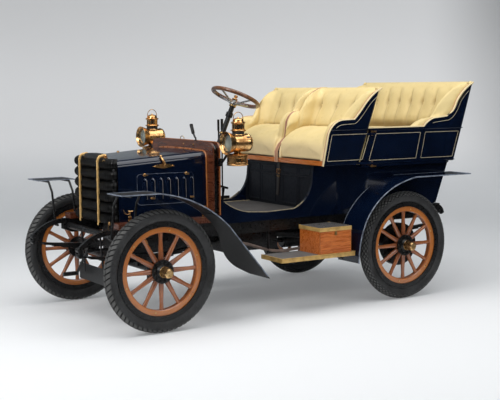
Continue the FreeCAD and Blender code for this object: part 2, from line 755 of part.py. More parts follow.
def build_frame():
    """Two side rails with forged dumb irons, rear scrolls, hangers and cross members."""
    nose = front(S.rail_front)
    tail = rear(S.rail_rear)
    rail = padded("rail", "XZ_Plane", [
        (tail, S.rail_bottom + 30),
        (tail + 30, S.rail_bottom),
        (nose - 60, S.rail_bottom),
        (nose, S.rail_bottom + 25),
        (nose, RAIL_TOP),
        (tail, RAIL_TOP),
    ], S.rail_width)
    eye_z = S.iron_eye_height
    thick = S.iron_thickness
    iron = padded("dumb_iron", "XZ_Plane", [
        (nose - 80, RAIL_TOP - 8 - thick),
        (FRONT_EYE_X - 12, eye_z - 10, (nose + 110, RAIL_TOP - 26 - thick)),
        (FRONT_EYE_X + 6, eye_z + 14),
        (nose - 80, RAIL_TOP - 8, (nose + 122, RAIL_TOP - 26)),
    ], S.iron_width)
    reach = S.leaf_width / 2
    eye = rod("dumb_iron_eye", (FRONT_EYE_X, -reach, eye_z), (FRONT_EYE_X, reach, eye_z),
              S.spring_eye_radius)
    hangers = []
    for number, (x, eye_height) in enumerate(SPRING_ENDS):
        top = S.rail_bottom + 2
        hangers.append(block("hanger_%d" % number, 34, S.leaf_width, top - eye_height - 20,
                             x - 17, -reach, eye_height + 20))
    scroll = padded("rear_scroll", "XZ_Plane", [
        (tail + 40, RAIL_TOP - 6),
        (tail - 60, S.rail_bottom + 20, (tail - 34, RAIL_TOP - 30)),
        (tail - 34, S.rail_bottom + 8),
        (tail + 40, RAIL_TOP - 40, (tail - 10, RAIL_TOP - 52)),
    ], S.iron_width)
    side = fused("frame_side", [rail, iron, eye, scroll] + hangers)
    left = place(gathered("frame_left", [side]), 0, S.rail_offset, 0)
    right = place(gathered("frame_right", [side]), 0, -S.rail_offset, 0)
    middle_z = S.rail_bottom + S.rail_height / 2
    cross_places = [("front", nose - 40), ("middle", rear(720)), ("kick", rear(250)),
                    ("rear", tail + 60)]
    tubes = []
    for name, x in cross_places:
        tubes.append(rod("cross_" + name, (x, -S.rail_offset, middle_z),
                         (x, S.rail_offset, middle_z), S.cross_tube_radius))
    node("chassis_frame", fused("chassis_frame", [left, right] + tubes))


def spring_outline(half, rise, top, leaves):
    """Side view of a leaf spring with its eyes at top: a long main leaf and shorter ones below,
    each an arc of the same curve. half is axle to eye, rise the main leaf's drop at the axle."""
    def surface(x):
        return top - rise * (1 - (float(x) / float(half)) ** 2)
    reach = [half * (1 - 0.16 * leaf) for leaf in range(leaves)]
    thick = S.leaf_thickness
    outline = [(-reach[0], surface(reach[0])), (reach[0], surface(reach[0]), (0, surface(0)))]
    for sign, order in ((1, range(leaves)), (-1, range(leaves - 1, -1, -1))):
        for leaf in order:
            above = (sign * reach[leaf], surface(reach[leaf]) - thick * leaf)
            below = (sign * reach[leaf], surface(reach[leaf]) - thick * (leaf + 1))
            step = [above, below] if sign > 0 else [below, above]
            beside = leaf - 1 if sign > 0 else leaf + 1
            if sign < 0 and leaf == leaves - 1:
                step[0] = step[0] + ((0, surface(0) - thick * leaves),)
            elif 0 <= beside < leaves:
                middle = (reach[leaf] + reach[beside]) / 2
                level = max(leaf, beside)
                step[0] = step[0] + ((sign * middle, surface(middle) - thick * level),)
            outline.extend(step)
    return outline[:2] + outline[3:-1]


def leaf_spring(name, x, ends, seat_z, leaves):
    """A semi-elliptic spring with rolled eyes and its clamp. ends are the two eyes (x, z)."""
    count = int(float(leaves))
    half = ends[0][0] - x
    eye_z = ends[0][1]
    rise = eye_z - seat_z - S.leaf_thickness * leaves
    y = S.rail_offset
    reach = S.leaf_width / 2
    stack = padded(name + "_leaves", "XZ_Plane", spring_outline(half, rise, eye_z, count),
                   S.leaf_width)
    pieces = [place(stack, x, y, 0)]
    for number, (eye_x, height) in enumerate(ends):
        pieces.append(rod("%s_eye_%d" % (name, number), (eye_x, y - reach, height),
                          (eye_x, y + reach, height), S.spring_eye_radius))
        for side in (-1, 1):
            pieces.append(block("%s_link_%d" % (name, number), 26, S.link_thickness,
                                S.spring_hang + 26, eye_x - 13,
                                y + LINK_OFFSET * side - S.link_thickness / 2, height - 13))
    clamp_height = S.leaf_thickness * leaves + 12
    pieces.append(block(name + "_clamp", 92, S.leaf_width + 16, clamp_height,
                        x - 46, y - reach - 8, seat_z))
    return fused(name, pieces)


def build_springs():
    """Front springs hang from the dumb irons and rear ones under the frame."""
    front_seat = AXLE_Z + S.axle_beam_radius + S.spring_seat
    rear_seat = AXLE_Z + S.axle_tube_radius + S.spring_seat
    front_ends = [(FRONT_EYE_X, FRONT_EYE_Z), SPRING_ENDS[0]]
    rear_ends = [SPRING_ENDS[1], SPRING_ENDS[2]]
    pair = [
        ("front_springs", front(0), front_ends, front_seat, S.front_leaves),
        ("rear_springs", rear(0), rear_ends, rear_seat, S.rear_leaves),
    ]
    for name, x, ends, seat, leaves in pair:
        node(name, both_sides(name, leaf_spring(name + "_left", x, ends, seat, leaves)))


KINGPIN_Y = WHEEL_Y - S.kingpin_inset
ARM_TOP = S.knuckle_height / 2 + S.yoke_gap + S.yoke_thickness


def build_front_axle():
    """Round beam with a yoke and a kingpin at each end, and pads for the springs."""
    x = front(0)
    beam = rod("front_beam", (x, -(KINGPIN_Y - 45), AXLE_Z), (x, KINGPIN_Y - 45, AXLE_Z),
               S.axle_beam_radius)
    arm_low = S.knuckle_height / 2 + S.yoke_gap
    pieces = []
    web = block("yoke_web", 44, 26, ARM_TOP * 2, x - 22, KINGPIN_Y - 58, AXLE_Z - ARM_TOP)
    pieces.append(web)
    for name, z in (("upper", AXLE_Z + arm_low), ("lower", AXLE_Z - ARM_TOP)):
        pieces.append(block("yoke_%s_arm" % name, 44, 58, S.yoke_thickness,
                            x - 22, KINGPIN_Y - 58, z))
        boss = doc.addObject("Part::Cylinder", "yoke_%s_boss" % name)
        bind(boss, "Radius", S.knuckle_radius + 2)
        bind(boss, "Height", S.yoke_thickness)
        pieces.append(place(boss, x, KINGPIN_Y, z))
    pin = doc.addObject("Part::Cylinder", "kingpin")
    bind(pin, "Radius", S.kingpin_radius)
    bind(pin, "Height", ARM_TOP * 2 + 12)
    pieces.append(place(pin, x, KINGPIN_Y, AXLE_Z - ARM_TOP - 6))
    pieces.append(block("front_pad", 92, S.leaf_width + 16, S.spring_seat + 20, x - 46,
                        S.rail_offset - S.leaf_width / 2 - 8, AXLE_Z + S.axle_beam_radius - 20))
    end = fused("front_axle_end", pieces)
    node("front_axle", fused("front_axle", [beam, end, mirrored("front_axle_end_right", end)]))


def knuckle(name):
    """Stub axle for the left side, at its own place: barrel, spindle and steering arm."""
    x = front(0)
    half = S.knuckle_height / 2
    bore = S.kingpin_radius + S.running_gap
    barrel = turned(name + "_barrel", "Z", [
        (bore, -half), (S.knuckle_radius, -half), (S.knuckle_radius, half), (bore, half)])
    place(barrel, x, KINGPIN_Y, AXLE_Z)
    collar_y = WHEEL_Y - S.hub_barrel_inner - 2
    spindle = turned(name + "_spindle", "Y", [
        (0, bore + 4),
        (S.spindle_radius + 6, bore + 4),
        (S.spindle_radius + 6, collar_y - KINGPIN_Y),
        (S.spindle_radius, collar_y - KINGPIN_Y),
        (S.spindle_radius, S.kingpin_inset + S.hub_barrel_outer - 6),
        (0, S.kingpin_inset + S.hub_barrel_outer - 6),
    ])
    place(spindle, x, KINGPIN_Y, AXLE_Z)
    arm_z = AXLE_Z - half + 6
    arm = doc.addObject("Part::Box", name + "_arm")
    arm.Width = 18
    arm.Height = 14
    bind(arm, "Length", S.steering_arm + 14 - S.kingpin_radius - 3)
    place(arm, x - S.steering_arm - 14, KINGPIN_Y - 9, arm_z)
    pin = doc.addObject("Part::Cylinder", name + "_pin")
    bind(pin, "Radius", S.track_rod_pin_radius)
    pin.Height = 44
    place(pin, x - S.steering_arm, KINGPIN_Y, arm_z - 32)
    head = doc.addObject("Part::Cylinder", name + "_pin_head")
    bind(head, "Radius", S.track_rod_pin_radius + 5)
    head.Height = 5
    place(head, x - S.steering_arm, KINGPIN_Y, arm_z - 37)
    return fused(name, [barrel, spindle, arm, pin, head])


def build_steering_linkage():
    """Two stub axles and the track rod behind the axle that keeps them parallel."""
    left = knuckle("left_stub_axle")
    node("left_stub_axle", left)
    node("right_stub_axle", mirrored("right_stub_axle", left))
    x = front(-S.steering_arm)
    eye_z = AXLE_Z - S.knuckle_height / 2 + 6 - 16
    bore = S.track_rod_pin_radius + S.running_gap
    eyes = []
    for side in (-1, 1):
        eye = turned("track_rod_eye", "Z", [(bore, -11), (bore + 10, -11), (bore + 10, 11),
                                            (bore, 11)])
        eyes.append(place(eye, x, KINGPIN_Y * side, eye_z))
    reach = KINGPIN_Y - bore - 6
    bar = rod("track_rod_bar", (x, -reach, eye_z), (x, reach, eye_z), S.track_rod_radius)
    node("track_rod", fused("track_rod", eyes + [bar]))


def build_rear_axle():
    """Live axle: tube, differential, brake plates, spindles and the torque tube."""
    x = rear(0)
    drum_inner = WHEEL_Y - S.felloe_width / 2 - S.hub_plate_thickness - S.drum_width
    tube = rod("axle_tube", (x, -(drum_inner - 4), AXLE_Z), (x, drum_inner - 4, AXLE_Z),
               S.axle_tube_radius)
    half = S.differential_width / 2
    casing = turned("differential", "Y", [
        (0, -half - 70),
        (S.axle_tube_radius + 6, -half - 70),
        (S.axle_tube_radius + 22, -half),
        (S.differential_radius, -30),
        (S.differential_radius, 30),
        (S.axle_tube_radius + 22, half),
        (S.axle_tube_radius + 6, half + 70),
        (0, half + 70),
    ])
    place(casing, x, 0, AXLE_Z)
    spindle_end = WHEEL_Y + S.hub_barrel_outer - 6
    spindle = rod("rear_spindle", (x, drum_inner - 12, AXLE_Z), (x, spindle_end, AXLE_Z),
                  S.spindle_radius)
    plate = rod("brake_plate", (x, drum_inner - 22, AXLE_Z), (x, drum_inner - 10, AXLE_Z),
                S.drum_radius - 14)
    pad = block("rear_pad", 92, S.leaf_width + 16, S.spring_seat + 24, x - 46,
                S.rail_offset - S.leaf_width / 2 - 8, AXLE_Z + S.axle_tube_radius - 24)
    end = fused("rear_axle_end", [spindle, plate, pad])
    gearbox_rear = rear(S.gearbox_middle) - S.gearbox_length / 2
    gearbox_z = S.gearbox_bottom + S.gearbox_height * 0.45
    torque_tube = rod("torque_tube", (rear(60), 0, AXLE_Z), (gearbox_rear, 0, gearbox_z), 36)
    trimmed = cut("torque_tube_trimmed", torque_tube,
                  block("torque_tube_trim", 80, 120, 160, gearbox_rear, -60, gearbox_z - 80))
    node("rear_axle", fused("rear_axle", [tube, casing, trimmed, end,
                                          mirrored("rear_axle_end_right", end)]))


def build_machinery():
    """Engine and gearbox as plain blocks on their bearers, and the silencer with its pipe."""
    engine_x = front(S.engine_middle)
    half = S.engine_length / 2
    inside = S.rail_offset - S.rail_width / 2
    engine = block("engine", S.engine_length, S.engine_width, S.engine_height,
                   engine_x - half, -S.engine_width / 2, S.engine_bottom)
    bearers = []
    for number, x in enumerate((engine_x - half + 60, engine_x + half - 110)):
        bearers.append(block("engine_bearer_%d" % number, 40, inside * 2, 34,
                             x, -inside, S.rail_bottom + 8))
    engine_solid = fused("engine_solid", [engine] + bearers)
    gearbox_x = rear(S.gearbox_middle)
    reach = S.gearbox_length / 2
    gearbox = block("gearbox", S.gearbox_length, S.gearbox_width, S.gearbox_height,
                    gearbox_x - reach, -S.gearbox_width / 2, S.gearbox_bottom)
    arms = []
    for number, x in enumerate((gearbox_x - reach + 40, gearbox_x + reach - 145)):
        arms.append(block("gearbox_arm_%d" % number, 40, inside * 2, 30,
                          x, -inside, S.rail_bottom + 8))
    gearbox_solid = fused("gearbox_solid", [gearbox] + arms)
    clutch = rod("clutch_shaft", (gearbox_x + reach, 0, S.crank_height + 20),
                 (engine_x - half, 0, S.crank_height + 20), 45)
    node("engine_and_gearbox", fused("engine_and_gearbox", [engine_solid, gearbox_solid, clutch]))

    y = S.silencer_offset
    z = S.silencer_height
    length = S.silencer_length / 2
    radius = S.silencer_radius
    drum = turned("silencer_drum", "X", [
        (-length, 0), (-length, radius - 14), (10 - length, radius), (length - 10, radius),
        (length, radius - 14), (length, 0)])
    place(drum, rear(S.silencer_middle), y, z)
    pipe = bent_rod("exhaust_pipe", [
        (front(-360), -S.engine_width / 2, S.rail_bottom),
        (front(-420), y, S.pipe_bend),
        (rear(S.silencer_middle) + length - 4, y, z),
    ], S.pipe_radius)
    cleared = cut("exhaust_pipe_cleared", pipe,
                  block("exhaust_pipe_trim", 120, 60, 80, front(-420), -S.engine_width / 2,
                        S.rail_bottom - 40))
    tube_under = S.rail_bottom + S.rail_height / 2 - S.cross_tube_radius
    hanger = rod("silencer_hanger", (rear(250), y, z + radius - 6), (rear(250), y, tube_under), 7)
    node("silencer", fused("silencer", [drum, cleared, hanger]))


# ----------------------------------------------------------------------------------------------
# Bonnet, radiator and dash
# ----------------------------------------------------------------------------------------------
def bonnet_section(x, half, top, bottom, inset):
    """Cross-section of the bonnet: upright sides that lean in, round shoulders, a low crown."""
    half = float(half) - inset
    top = float(top) - inset
    bottom = float(bottom)
    lean = float(S.bonnet_lean)
    drop = float(S.bonnet_shoulder)
    side_z = top - drop
    shoulder_y = half - lean - drop * 0.95
    shoulder_z = top - 6

    def point(y, z):
        return Vector(float(x), y, z)

    def shoulder(sign):
        start = point(sign * (half - lean), side_z)
        end = point(sign * shoulder_y, shoulder_z)
        middle = point(sign * (half - lean - drop * 0.24), top - drop * 0.34)
        return start, middle, end

    left = shoulder(1)
    right = shoulder(-1)
    edges = [
        Part.makeLine(point(-half, bottom), point(half, bottom)),
        Part.makeLine(point(half, bottom), left[0]),
        Part.Arc(*left).toShape(),
        Part.Arc(left[2], point(0, top), right[2]).toShape(),
        Part.Arc(right[2], right[1], right[0]).toShape(),
        Part.makeLine(right[0], point(-half, bottom)),
    ]
    return Part.Wire(edges)


def bonnet_at(x):
    """Half the bonnet's width and the height of its crown at a place along it."""
    rear_x = float(front(S.dash_front))
    front_x = float(front(S.bonnet_front))
    share = (front_x - float(x)) / (front_x - rear_x)
    inset = float(S.bonnet_front_inset)
    inset += float(S.bonnet_rear_inset - S.bonnet_front_inset) * share
    half = float(S.rail_offset) - inset
    top = float(S.bonnet_front_top) + float(S.bonnet_rear_top - S.bonnet_front_top) * share
    return half, top


def bonnet_side_y(x, z):
    """The bonnet's left side, where it is straight, at a place and a height."""
    half, top = bonnet_at(x)
    run = top - float(S.bonnet_shoulder) - float(S.bonnet_bottom)
    return half - float(S.bonnet_lean) * (z - float(S.bonnet_bottom)) / run


def louvre(x, proud, length, z_low, z_high):
    """A louvre's hood on the left panel: its open edge upright at x, its front flush."""
    middle_z = (z_low + z_high) / 2
    lean = bonnet_side_y(x, z_high) - bonnet_side_y(x, z_low)
    root = -1
    depth = float(S.panel_proud)
    along = Vector(0, lean, z_high - z_low)

    def at(ahead, out):
        return Vector(x + ahead, bonnet_side_y(x + ahead, middle_z) - lean / 2 + depth + out, z_low)

    start = at(0, proud)
    end = at(length, 0)
    middle = at(length * 0.55, proud * 0.72)
    wire = Part.Wire([
        Part.Arc(start, middle, end).toShape(),
        Part.makeLine(end, at(length, root)),
        Part.makeLine(at(length, root), at(0, root)),
        Part.makeLine(at(0, root), start),
    ])
    return Part.Face(wire).extrude(along)


def build_bonnet():
    """Sheet metal bonnet, wider at the rear, with a raised and louvred panel on each side."""
    rear_x = front(S.dash_front)
    front_x = front(S.bonnet_front)
    metal = float(S.sheet_metal)
    low = float(S.bonnet_bottom)

    def shell(inset, beyond):
        ends = []
        for x in (float(front_x) + beyond, float(rear_x) - beyond):
            half, top = bonnet_at(x)
            ends.append(bonnet_section(x, half, top, low - beyond, inset))
        return Part.makeLoft(ends, True, True)

    outer = shell(0, 0)
    panel_rear = float(front(S.panel_front - S.panel_length))
    panel_low = float(S.panel_top - S.panel_height)
    outline = Part.makeBox(float(S.panel_length), 1000, float(S.panel_height),
                           Vector(panel_rear, 0, panel_low))
    panel = shell(-float(S.panel_proud), 0).cut(outer).common(outline)
    hoods = []
    mouths = []
    high = float(S.louvre_top)
    foot = high - float(S.louvre_height)
    edge = float(S.louvre_metal)
    through = float(S.panel_proud) + metal
    for number in range(int(float(S.louvre_count))):
        x = float(front(S.louvre_first - S.louvre_pitch * number))
        hoods.append(louvre(x, float(S.louvre_proud), float(S.louvre_length), foot, high))
        mouth = louvre(x - 1, float(S.louvre_proud) - edge, float(S.louvre_length) - edge * 2,
                       foot + edge, high - edge)
        opening = Part.makeBox(float(S.louvre_length) * 0.5, through * 3,
                               high - foot - edge * 2,
                               Vector(x, bonnet_side_y(x, foot) - through * 2, foot + edge))
        mouths.extend([mouth, opening])
    left = panel.multiFuse(hoods)
    openings = mouths[0].multiFuse(mouths[1:])
    bare = outer.cut(shell(metal, 10))
    whole = bare.multiFuse([left, left.mirror(Vector(0, 0, 0), LEFT)])
    whole = whole.cut(openings).cut(openings.mirror(Vector(0, 0, 0), LEFT))
    node("bonnet", shaped("bonnet", whole))


def build_radiator():
    """Gilled tubes one above another, bent round the front, with a tank and brass bands."""
    front_x = front(S.radiator_front)
    axis_x = front_x - S.gill_radius
    half = S.rail_offset - S.radiator_inset - S.gill_radius
    bend = S.radiator_bend
    rear_x = front(S.bonnet_front) + S.radiator_gap
    end_x = axis_x - bend - 10
    rows = int(float(S.radiator_rows))
    tubes = []
    diagonal = math.sin(math.radians(45))
    for row in range(rows):
        z = float(S.radiator_bottom + S.gill_radius + S.radiator_pitch * row)
        places = {
            "start": (end_x, -half), "first": (axis_x - bend, -half),
            "first_middle": (axis_x - bend + bend * diagonal, -half + bend - bend * diagonal),
            "second": (axis_x, bend - half), "third": (axis_x, half - bend),
            "third_middle": (axis_x - bend + bend * diagonal, half - bend + bend * diagonal),
            "fourth": (axis_x - bend, half), "end": (end_x, half),
        }
        at = {name: Vector(float(x), float(y), z) for name, (x, y) in places.items()}
        path = Part.Wire([
            Part.makeLine(at["start"], at["first"]),
            Part.Arc(at["first"], at["first_middle"], at["second"]).toShape(),
            Part.makeLine(at["second"], at["third"]),
            Part.Arc(at["third"], at["third_middle"], at["fourth"]).toShape(),
            Part.makeLine(at["fourth"], at["end"]),
        ])
        circle = Part.Wire(Part.makeCircle(float(S.gill_radius), at["start"], FORWARD))
        tubes.append(path.makePipeShell([circle], True, False))
    top_z = S.radiator_bottom + S.radiator_pitch * (rows - 1) + S.gill_radius
    plate = Part.makeBox(18, float(half - 30) * 2, float(top_z - S.radiator_bottom + 10),
                         Vector(float(rear_x), float(30 - half), float(S.radiator_bottom + 6)))
    crown = float(top_z + 62)
    tank_side = [Vector(float(rear_x), -132, float(top_z)),
                 Vector(float(rear_x), -132, crown - 26),
                 Vector(float(rear_x), 0, crown),
                 Vector(float(rear_x), 132, crown - 26),
                 Vector(float(rear_x), 132, float(top_z))]
    tank_face = Part.Face(Part.Wire([
        Part.makeLine(tank_side[0], tank_side[1]),
        Part.Arc(tank_side[1], tank_side[2], tank_side[3]).toShape(),
        Part.makeLine(tank_side[3], tank_side[4]),
        Part.makeLine(tank_side[4], tank_side[0])]))
    tank = tank_face.extrude(Vector(44, 0, 0))
    low = float(S.radiator_bottom)
    space = Part.makeBox(400, 2000, 900, Vector(float(rear_x), -1000, low - 100))
    body = tubes[0].multiFuse(tubes[1:] + [plate, tank]).common(space)
    node("radiator_tubes", shaped("radiator_tubes", body))

    top = top_z + S.gill_radius
    thick = S.band_thickness
    bend = S.gill_radius
    soft = bend * 0.2929
    band = padded("radiator_band", "XZ_Plane", [
        (front_x, S.radiator_bottom + 4),
        (front_x + thick, S.radiator_bottom + 4),
        (front_x + thick, top - bend),
        (front_x - bend, top + thick, (front_x - soft + thick * 0.7, top - soft + thick * 0.7)),
        (front_x - bend - 20, top + thick),
        (front_x - bend - 20, top),
        (front_x - bend, top),
        (front_x, top - bend, (front_x - soft, top - soft)),
    ], S.band_width)
    place(band, 0, S.band_offset, 0)
    node("radiator_bands", both_sides("radiator_bands", band))


def build_dash():
    """Two mahogany boards with a narrower core between them."""
    half = DASH_HALF
    corner = S.dash_corner
    soft = corner * 0.3
    low = S.dash_bottom
    top = S.dash_top

    def board(name, inset, thickness, x):
        outline = [
            (inset - half, low),
            (half - inset, low),
            (half - inset, top - corner - inset),
            (half - corner - inset, top - inset, (half - soft - inset, top - soft - inset)),
            (corner + inset - half, top - inset),
            (inset - half, top - corner - inset, (soft + inset - half, top - soft - inset)),
        ]
        item = padded(name, "YZ_Plane", outline, thickness, symmetric=False)
        return place(item, x, 0, 0)

    face = front(S.dash_front)
    back = face - S.dash_thickness
    boards = [
        board("dash_front_board", 0, S.dash_board, face - S.dash_board),
        board("dash_core", S.dash_recess, S.dash_thickness - S.dash_board * 2,
              back + S.dash_board),
        board("dash_rear_board", 0, S.dash_board, back),
    ]
    node("dash", fused("dash", boards))
    sill = block("sill", front(S.rail_front) - 40 - face, S.sill_within + S.sill_beyond,
                 S.sill_thickness, face, S.rail_offset - S.sill_within, RAIL_TOP)
    node("wood_sills", both_sides("wood_sills", sill))


# ----------------------------------------------------------------------------------------------
# Lower body
# ----------------------------------------------------------------------------------------------
def side_plan(inset):
    """Plan line of a body side from the dash to the rear foot, moved inward by inset."""
    start = front(S.dash_front) - S.dash_thickness
    near = BODY_HALF - inset
    wide = S.body_rear_half - inset
    waist = rear(S.body_waist)
    full = rear(S.body_full)
    middle_x = (waist + full) / 2
    middle_y = (near + wide) / 2
    quarter = (wide - near) * 0.14
    bend = (waist - full) * 0.25
    return [
        (start, near),
        (waist, near),
        (middle_x, middle_y, (middle_x + bend, near + quarter)),
        (full, wide, (middle_x - bend, wide - quarter)),
        (rear(S.body_rear_head) - 20, wide),
    ]


def build_lower_body():
    """Sides with the footwell's sweep, heel board, sloping rear panel and the tonneau's ledge."""
    outer = side_plan(0)
    inner = side_plan(S.body_panel)
    outline = list(outer)
    outline.append(inner[4])
    outline.append(inner[3][:2])
    outline.append((inner[2][0], inner[2][1], inner[3][2]))
    outline.append((inner[1][0], inner[1][1], inner[2][2]))
    outline.append(inner[0])
    strip = padded("side_strip", "XY_Plane", outline, S.body_top * 2)
    start = front(S.dash_front) - S.dash_thickness
    low = S.body_bottom
    profile = padded("side_profile", "XZ_Plane", [
        (rear(S.body_rear_foot), low + 44),
        (rear(-250), low),
        (start, low),
        (start, S.footwell_dash),
        (start - 225, S.footwell_low + 10, (start - 112, S.footwell_low + 42)),
        (start - 380, S.footwell_low),
        (rear(S.heel_board) + 175, S.footwell_low + 8),
        (rear(S.heel_board) + 10, S.body_top - 100,
         (rear(S.heel_board) + 48, S.footwell_low + 100)),
        (rear(S.heel_board), S.body_top),
        (rear(S.body_rear_head), S.body_top),
    ], S.track)
    side = common("body_side", [strip, profile])
    foot = rear(S.body_rear_foot)
    head = rear(S.body_rear_head)
    panel = padded("rear_panel", "XZ_Plane", [
        (foot, low + 44), (foot + 26, low + 44), (head + 26, S.body_top), (head, S.body_top)],
        S.body_rear_half * 2)
    inside = BODY_HALF - S.body_panel
    heel = block("heel_panel", 20, inside * 2 + 8, S.body_top - low - 20,
                 rear(S.heel_board) - 20, -inside - 4, low + 20)
    lap = 8
    ledge_outer = S.seat_outer_foot
    ledge_inner = S.body_rear_half - S.body_panel + lap
    ledge_front = rear(S.seat_back_foot) - S.tonneau_gap
    ledge_rear = rear(S.tonneau_rear_foot)
    corner = S.tonneau_corner
    soft = corner * 0.293
    ledge = padded("tonneau_ledge", "XY_Plane", [
        (ledge_front, ledge_inner),
        (ledge_front, ledge_outer),
        (ledge_rear + corner, ledge_outer),
        (ledge_rear, ledge_outer - corner, (ledge_rear + soft, ledge_outer - soft)),
        (ledge_rear, corner - ledge_outer),
        (ledge_rear + corner, -ledge_outer, (ledge_rear + soft, soft - ledge_outer)),
        (ledge_front, -ledge_outer),
        (ledge_front, -ledge_inner),
        (head + 20, -ledge_inner),
        (head + 20, ledge_inner),
    ], S.ledge, symmetric=False)
    place(ledge, 0, 0, S.body_top - S.ledge)
    node("lower_body", fused("lower_body", [side, mirrored("body_side_right", side), panel, heel,
                                            ledge]))

    floor_top = RAIL_TOP + S.floor_thickness
    boards = padded("floor_outline", "XY_Plane", [
        (start, -inside), (start, inside), (rear(S.body_waist) + 8, inside),
        (rear(S.body_rear_foot) + 60, inside), (rear(S.body_rear_foot) + 60, -inside)],
        S.floor_thickness, symmetric=False)
    place(boards, 0, 0, RAIL_TOP)
    slot = block("column_slot", 150, 70, 120, column_x(floor_top) - 75, COLUMN_Y - 35,
                 RAIL_TOP - 30)
    heel_slot = block("heel_slot", 20, inside * 2 + 8, 200, rear(S.heel_board) - 20,
                      -inside - 4, low)
    tools = fused("floor_tools", [slot, heel_slot])
    node("floor_boards", cut("floor_boards", boards, tools))

    bench_front = rear(S.rear_seat_front) - 20
    bench_rear = rear(S.body_rear_foot)
    width = (S.body_rear_half - S.body_panel) * 2
    riser = block("bench_riser", 18, inside * 2, S.body_top - floor_top,
                  bench_front - 18, -inside, floor_top)
    seat = block("bench_top", bench_front - bench_rear, width - 4, 16,
                 bench_rear, 2 - width / 2, S.body_top - 16)
    node("rear_seat_box", fused("rear_seat_box", [riser, seat]))


def column_x(height):
    """Where the steering column's axis stands at a height."""
    run = (float(S.steering_hub_height) - float(height)) * COLUMN_SLOPE
    return front(S.steering_hub_place) + run


COLUMN_SLOPE = math.tan(math.radians(float(S.column_lean)))


# ----------------------------------------------------------------------------------------------
# Seats and tonneau: lofted walls cut to a scrolled side profile
# ----------------------------------------------------------------------------------------------
def lined(points):
    """Points of the body's side view, counted from the rear axle, as places in the row frame."""
    placed = []
    for point in points:
        corner = (float(rear(point[0])), float(point[1]))
        if len(point) == 3:
            corner = corner + ((float(rear(point[2][0])), float(point[2][1])),)
        placed.append(corner)
    return placed


def side_prism(points, y_low, y_high):
    """A side view in x and z, carried across from one y to another."""
    edges = []
    count = len(points)
    y_low = float(y_low)
    for step in range(count):
        begin = points[step]
        end = points[(step + 1) % count]
        first = Vector(begin[0], y_low, begin[1])
        last = Vector(end[0], y_low, end[1])
        if len(end) == 3:
            edges.append(Part.Arc(first, Vector(end[2][0], y_low, end[2][1]), last).toShape())
        else:
            edges.append(Part.makeLine(first, last))
    face = Part.Face(Part.Wire(edges))
    return face.extrude(Vector(0, float(y_high) - y_low, 0))


def tub_section(z, x_front, x_back, y_inner, y_outer, corner):
    """Plan of a seat at a height, square but for its rounded rear outer corner."""
    x_front, x_back, y_inner, y_outer, corner = [
        float(value) for value in (x_front, x_back, y_inner, y_outer, corner)]
    soft = corner * 0.293
    points = [Vector(x_front, y_inner, z), Vector(x_front, y_outer, z),
              Vector(x_back + corner, y_outer, z), Vector(x_back, y_outer - corner, z),
              Vector(x_back, y_inner, z)]
    arc_middle = Vector(x_back + soft, y_outer - soft, z)
    return Part.Wire([
        Part.makeLine(points[0], points[1]),
        Part.makeLine(points[1], points[2]),
        Part.Arc(points[2], arc_middle, points[3]).toShape(),
        Part.makeLine(points[3], points[4]),
        Part.makeLine(points[4], points[0]),
    ])


SEAT_RUN = float(S.seat_top) - float(S.seat_bottom)


def seat_back_x(z):
    """Back face of a front seat at a height."""
    share = (z - float(S.seat_bottom)) / SEAT_RUN
    foot = float(rear(S.seat_back_foot))
    return foot + (float(rear(S.seat_back_head)) - foot) * share


def seat_outer_y(z):
    """Outer face of a front seat at a height."""
    share = (z - float(S.seat_bottom)) / SEAT_RUN
    return float(S.seat_outer_foot) + (float(S.seat_outer_head - S.seat_outer_foot)) * share


def seat_loft(z_low, z_high, inset_foot, inset_head, inset_side, y_inner, ahead):
    """A solid that fills a seat, drawn in from its back and sides by the insets."""
    def section(z, share):
        inset = inset_foot + (inset_head - inset_foot) * share
        corner = max(float(S.seat_corner) - inset_side * 0.5, 12)
        return tub_section(z, float(rear(S.seat_front)) + ahead, seat_back_x(z) + inset,
                           y_inner, seat_outer_y(z) - inset_side, corner)
    return Part.makeLoft([section(z_low, 0), section(z_high, 1)], True, True)


def seat_profile():
    """Scrolled edge of a front seat's outer side, closed well behind its back."""
    foot = S.seat_bottom
    arm = S.seat_arm
    top = S.seat_top
    front_edge = S.seat_front
    head = S.seat_back_head
    return lined([
        (front_edge, foot),
        (front_edge - 20, arm - 130),
        (front_edge - 135, arm - 14, (front_edge - 58, arm - 48)),
        (head + 225, arm - 10),
        (head + 144, top - 124, (head + 184, top - 178)),
        (head, top, (head + 78, top - 52)),
        (head - 162, top),
        (head - 162, foot),
    ])


def divider_profile():
    """Edge of the wall between the two front seats."""
    foot = S.seat_bottom
    arm = S.seat_arm
    top = S.seat_top
    front_edge = S.seat_front
    head = S.seat_back_head
    return lined([
        (front_edge, foot),
        (front_edge, foot + 79),
        (front_edge - 82, foot + 182, (front_edge - 34, foot + 139)),
        (front_edge - 96, arm - 37),
        (head + 298, arm + 34, (head + 340, arm + 12)),
        (head + 228, arm + 41),
        (head + 156, top - 64, (head + 184, top - 124)),
        (head, top, (head + 78, top - 10)),
        (head - 162, top),
        (head - 162, foot),
    ])


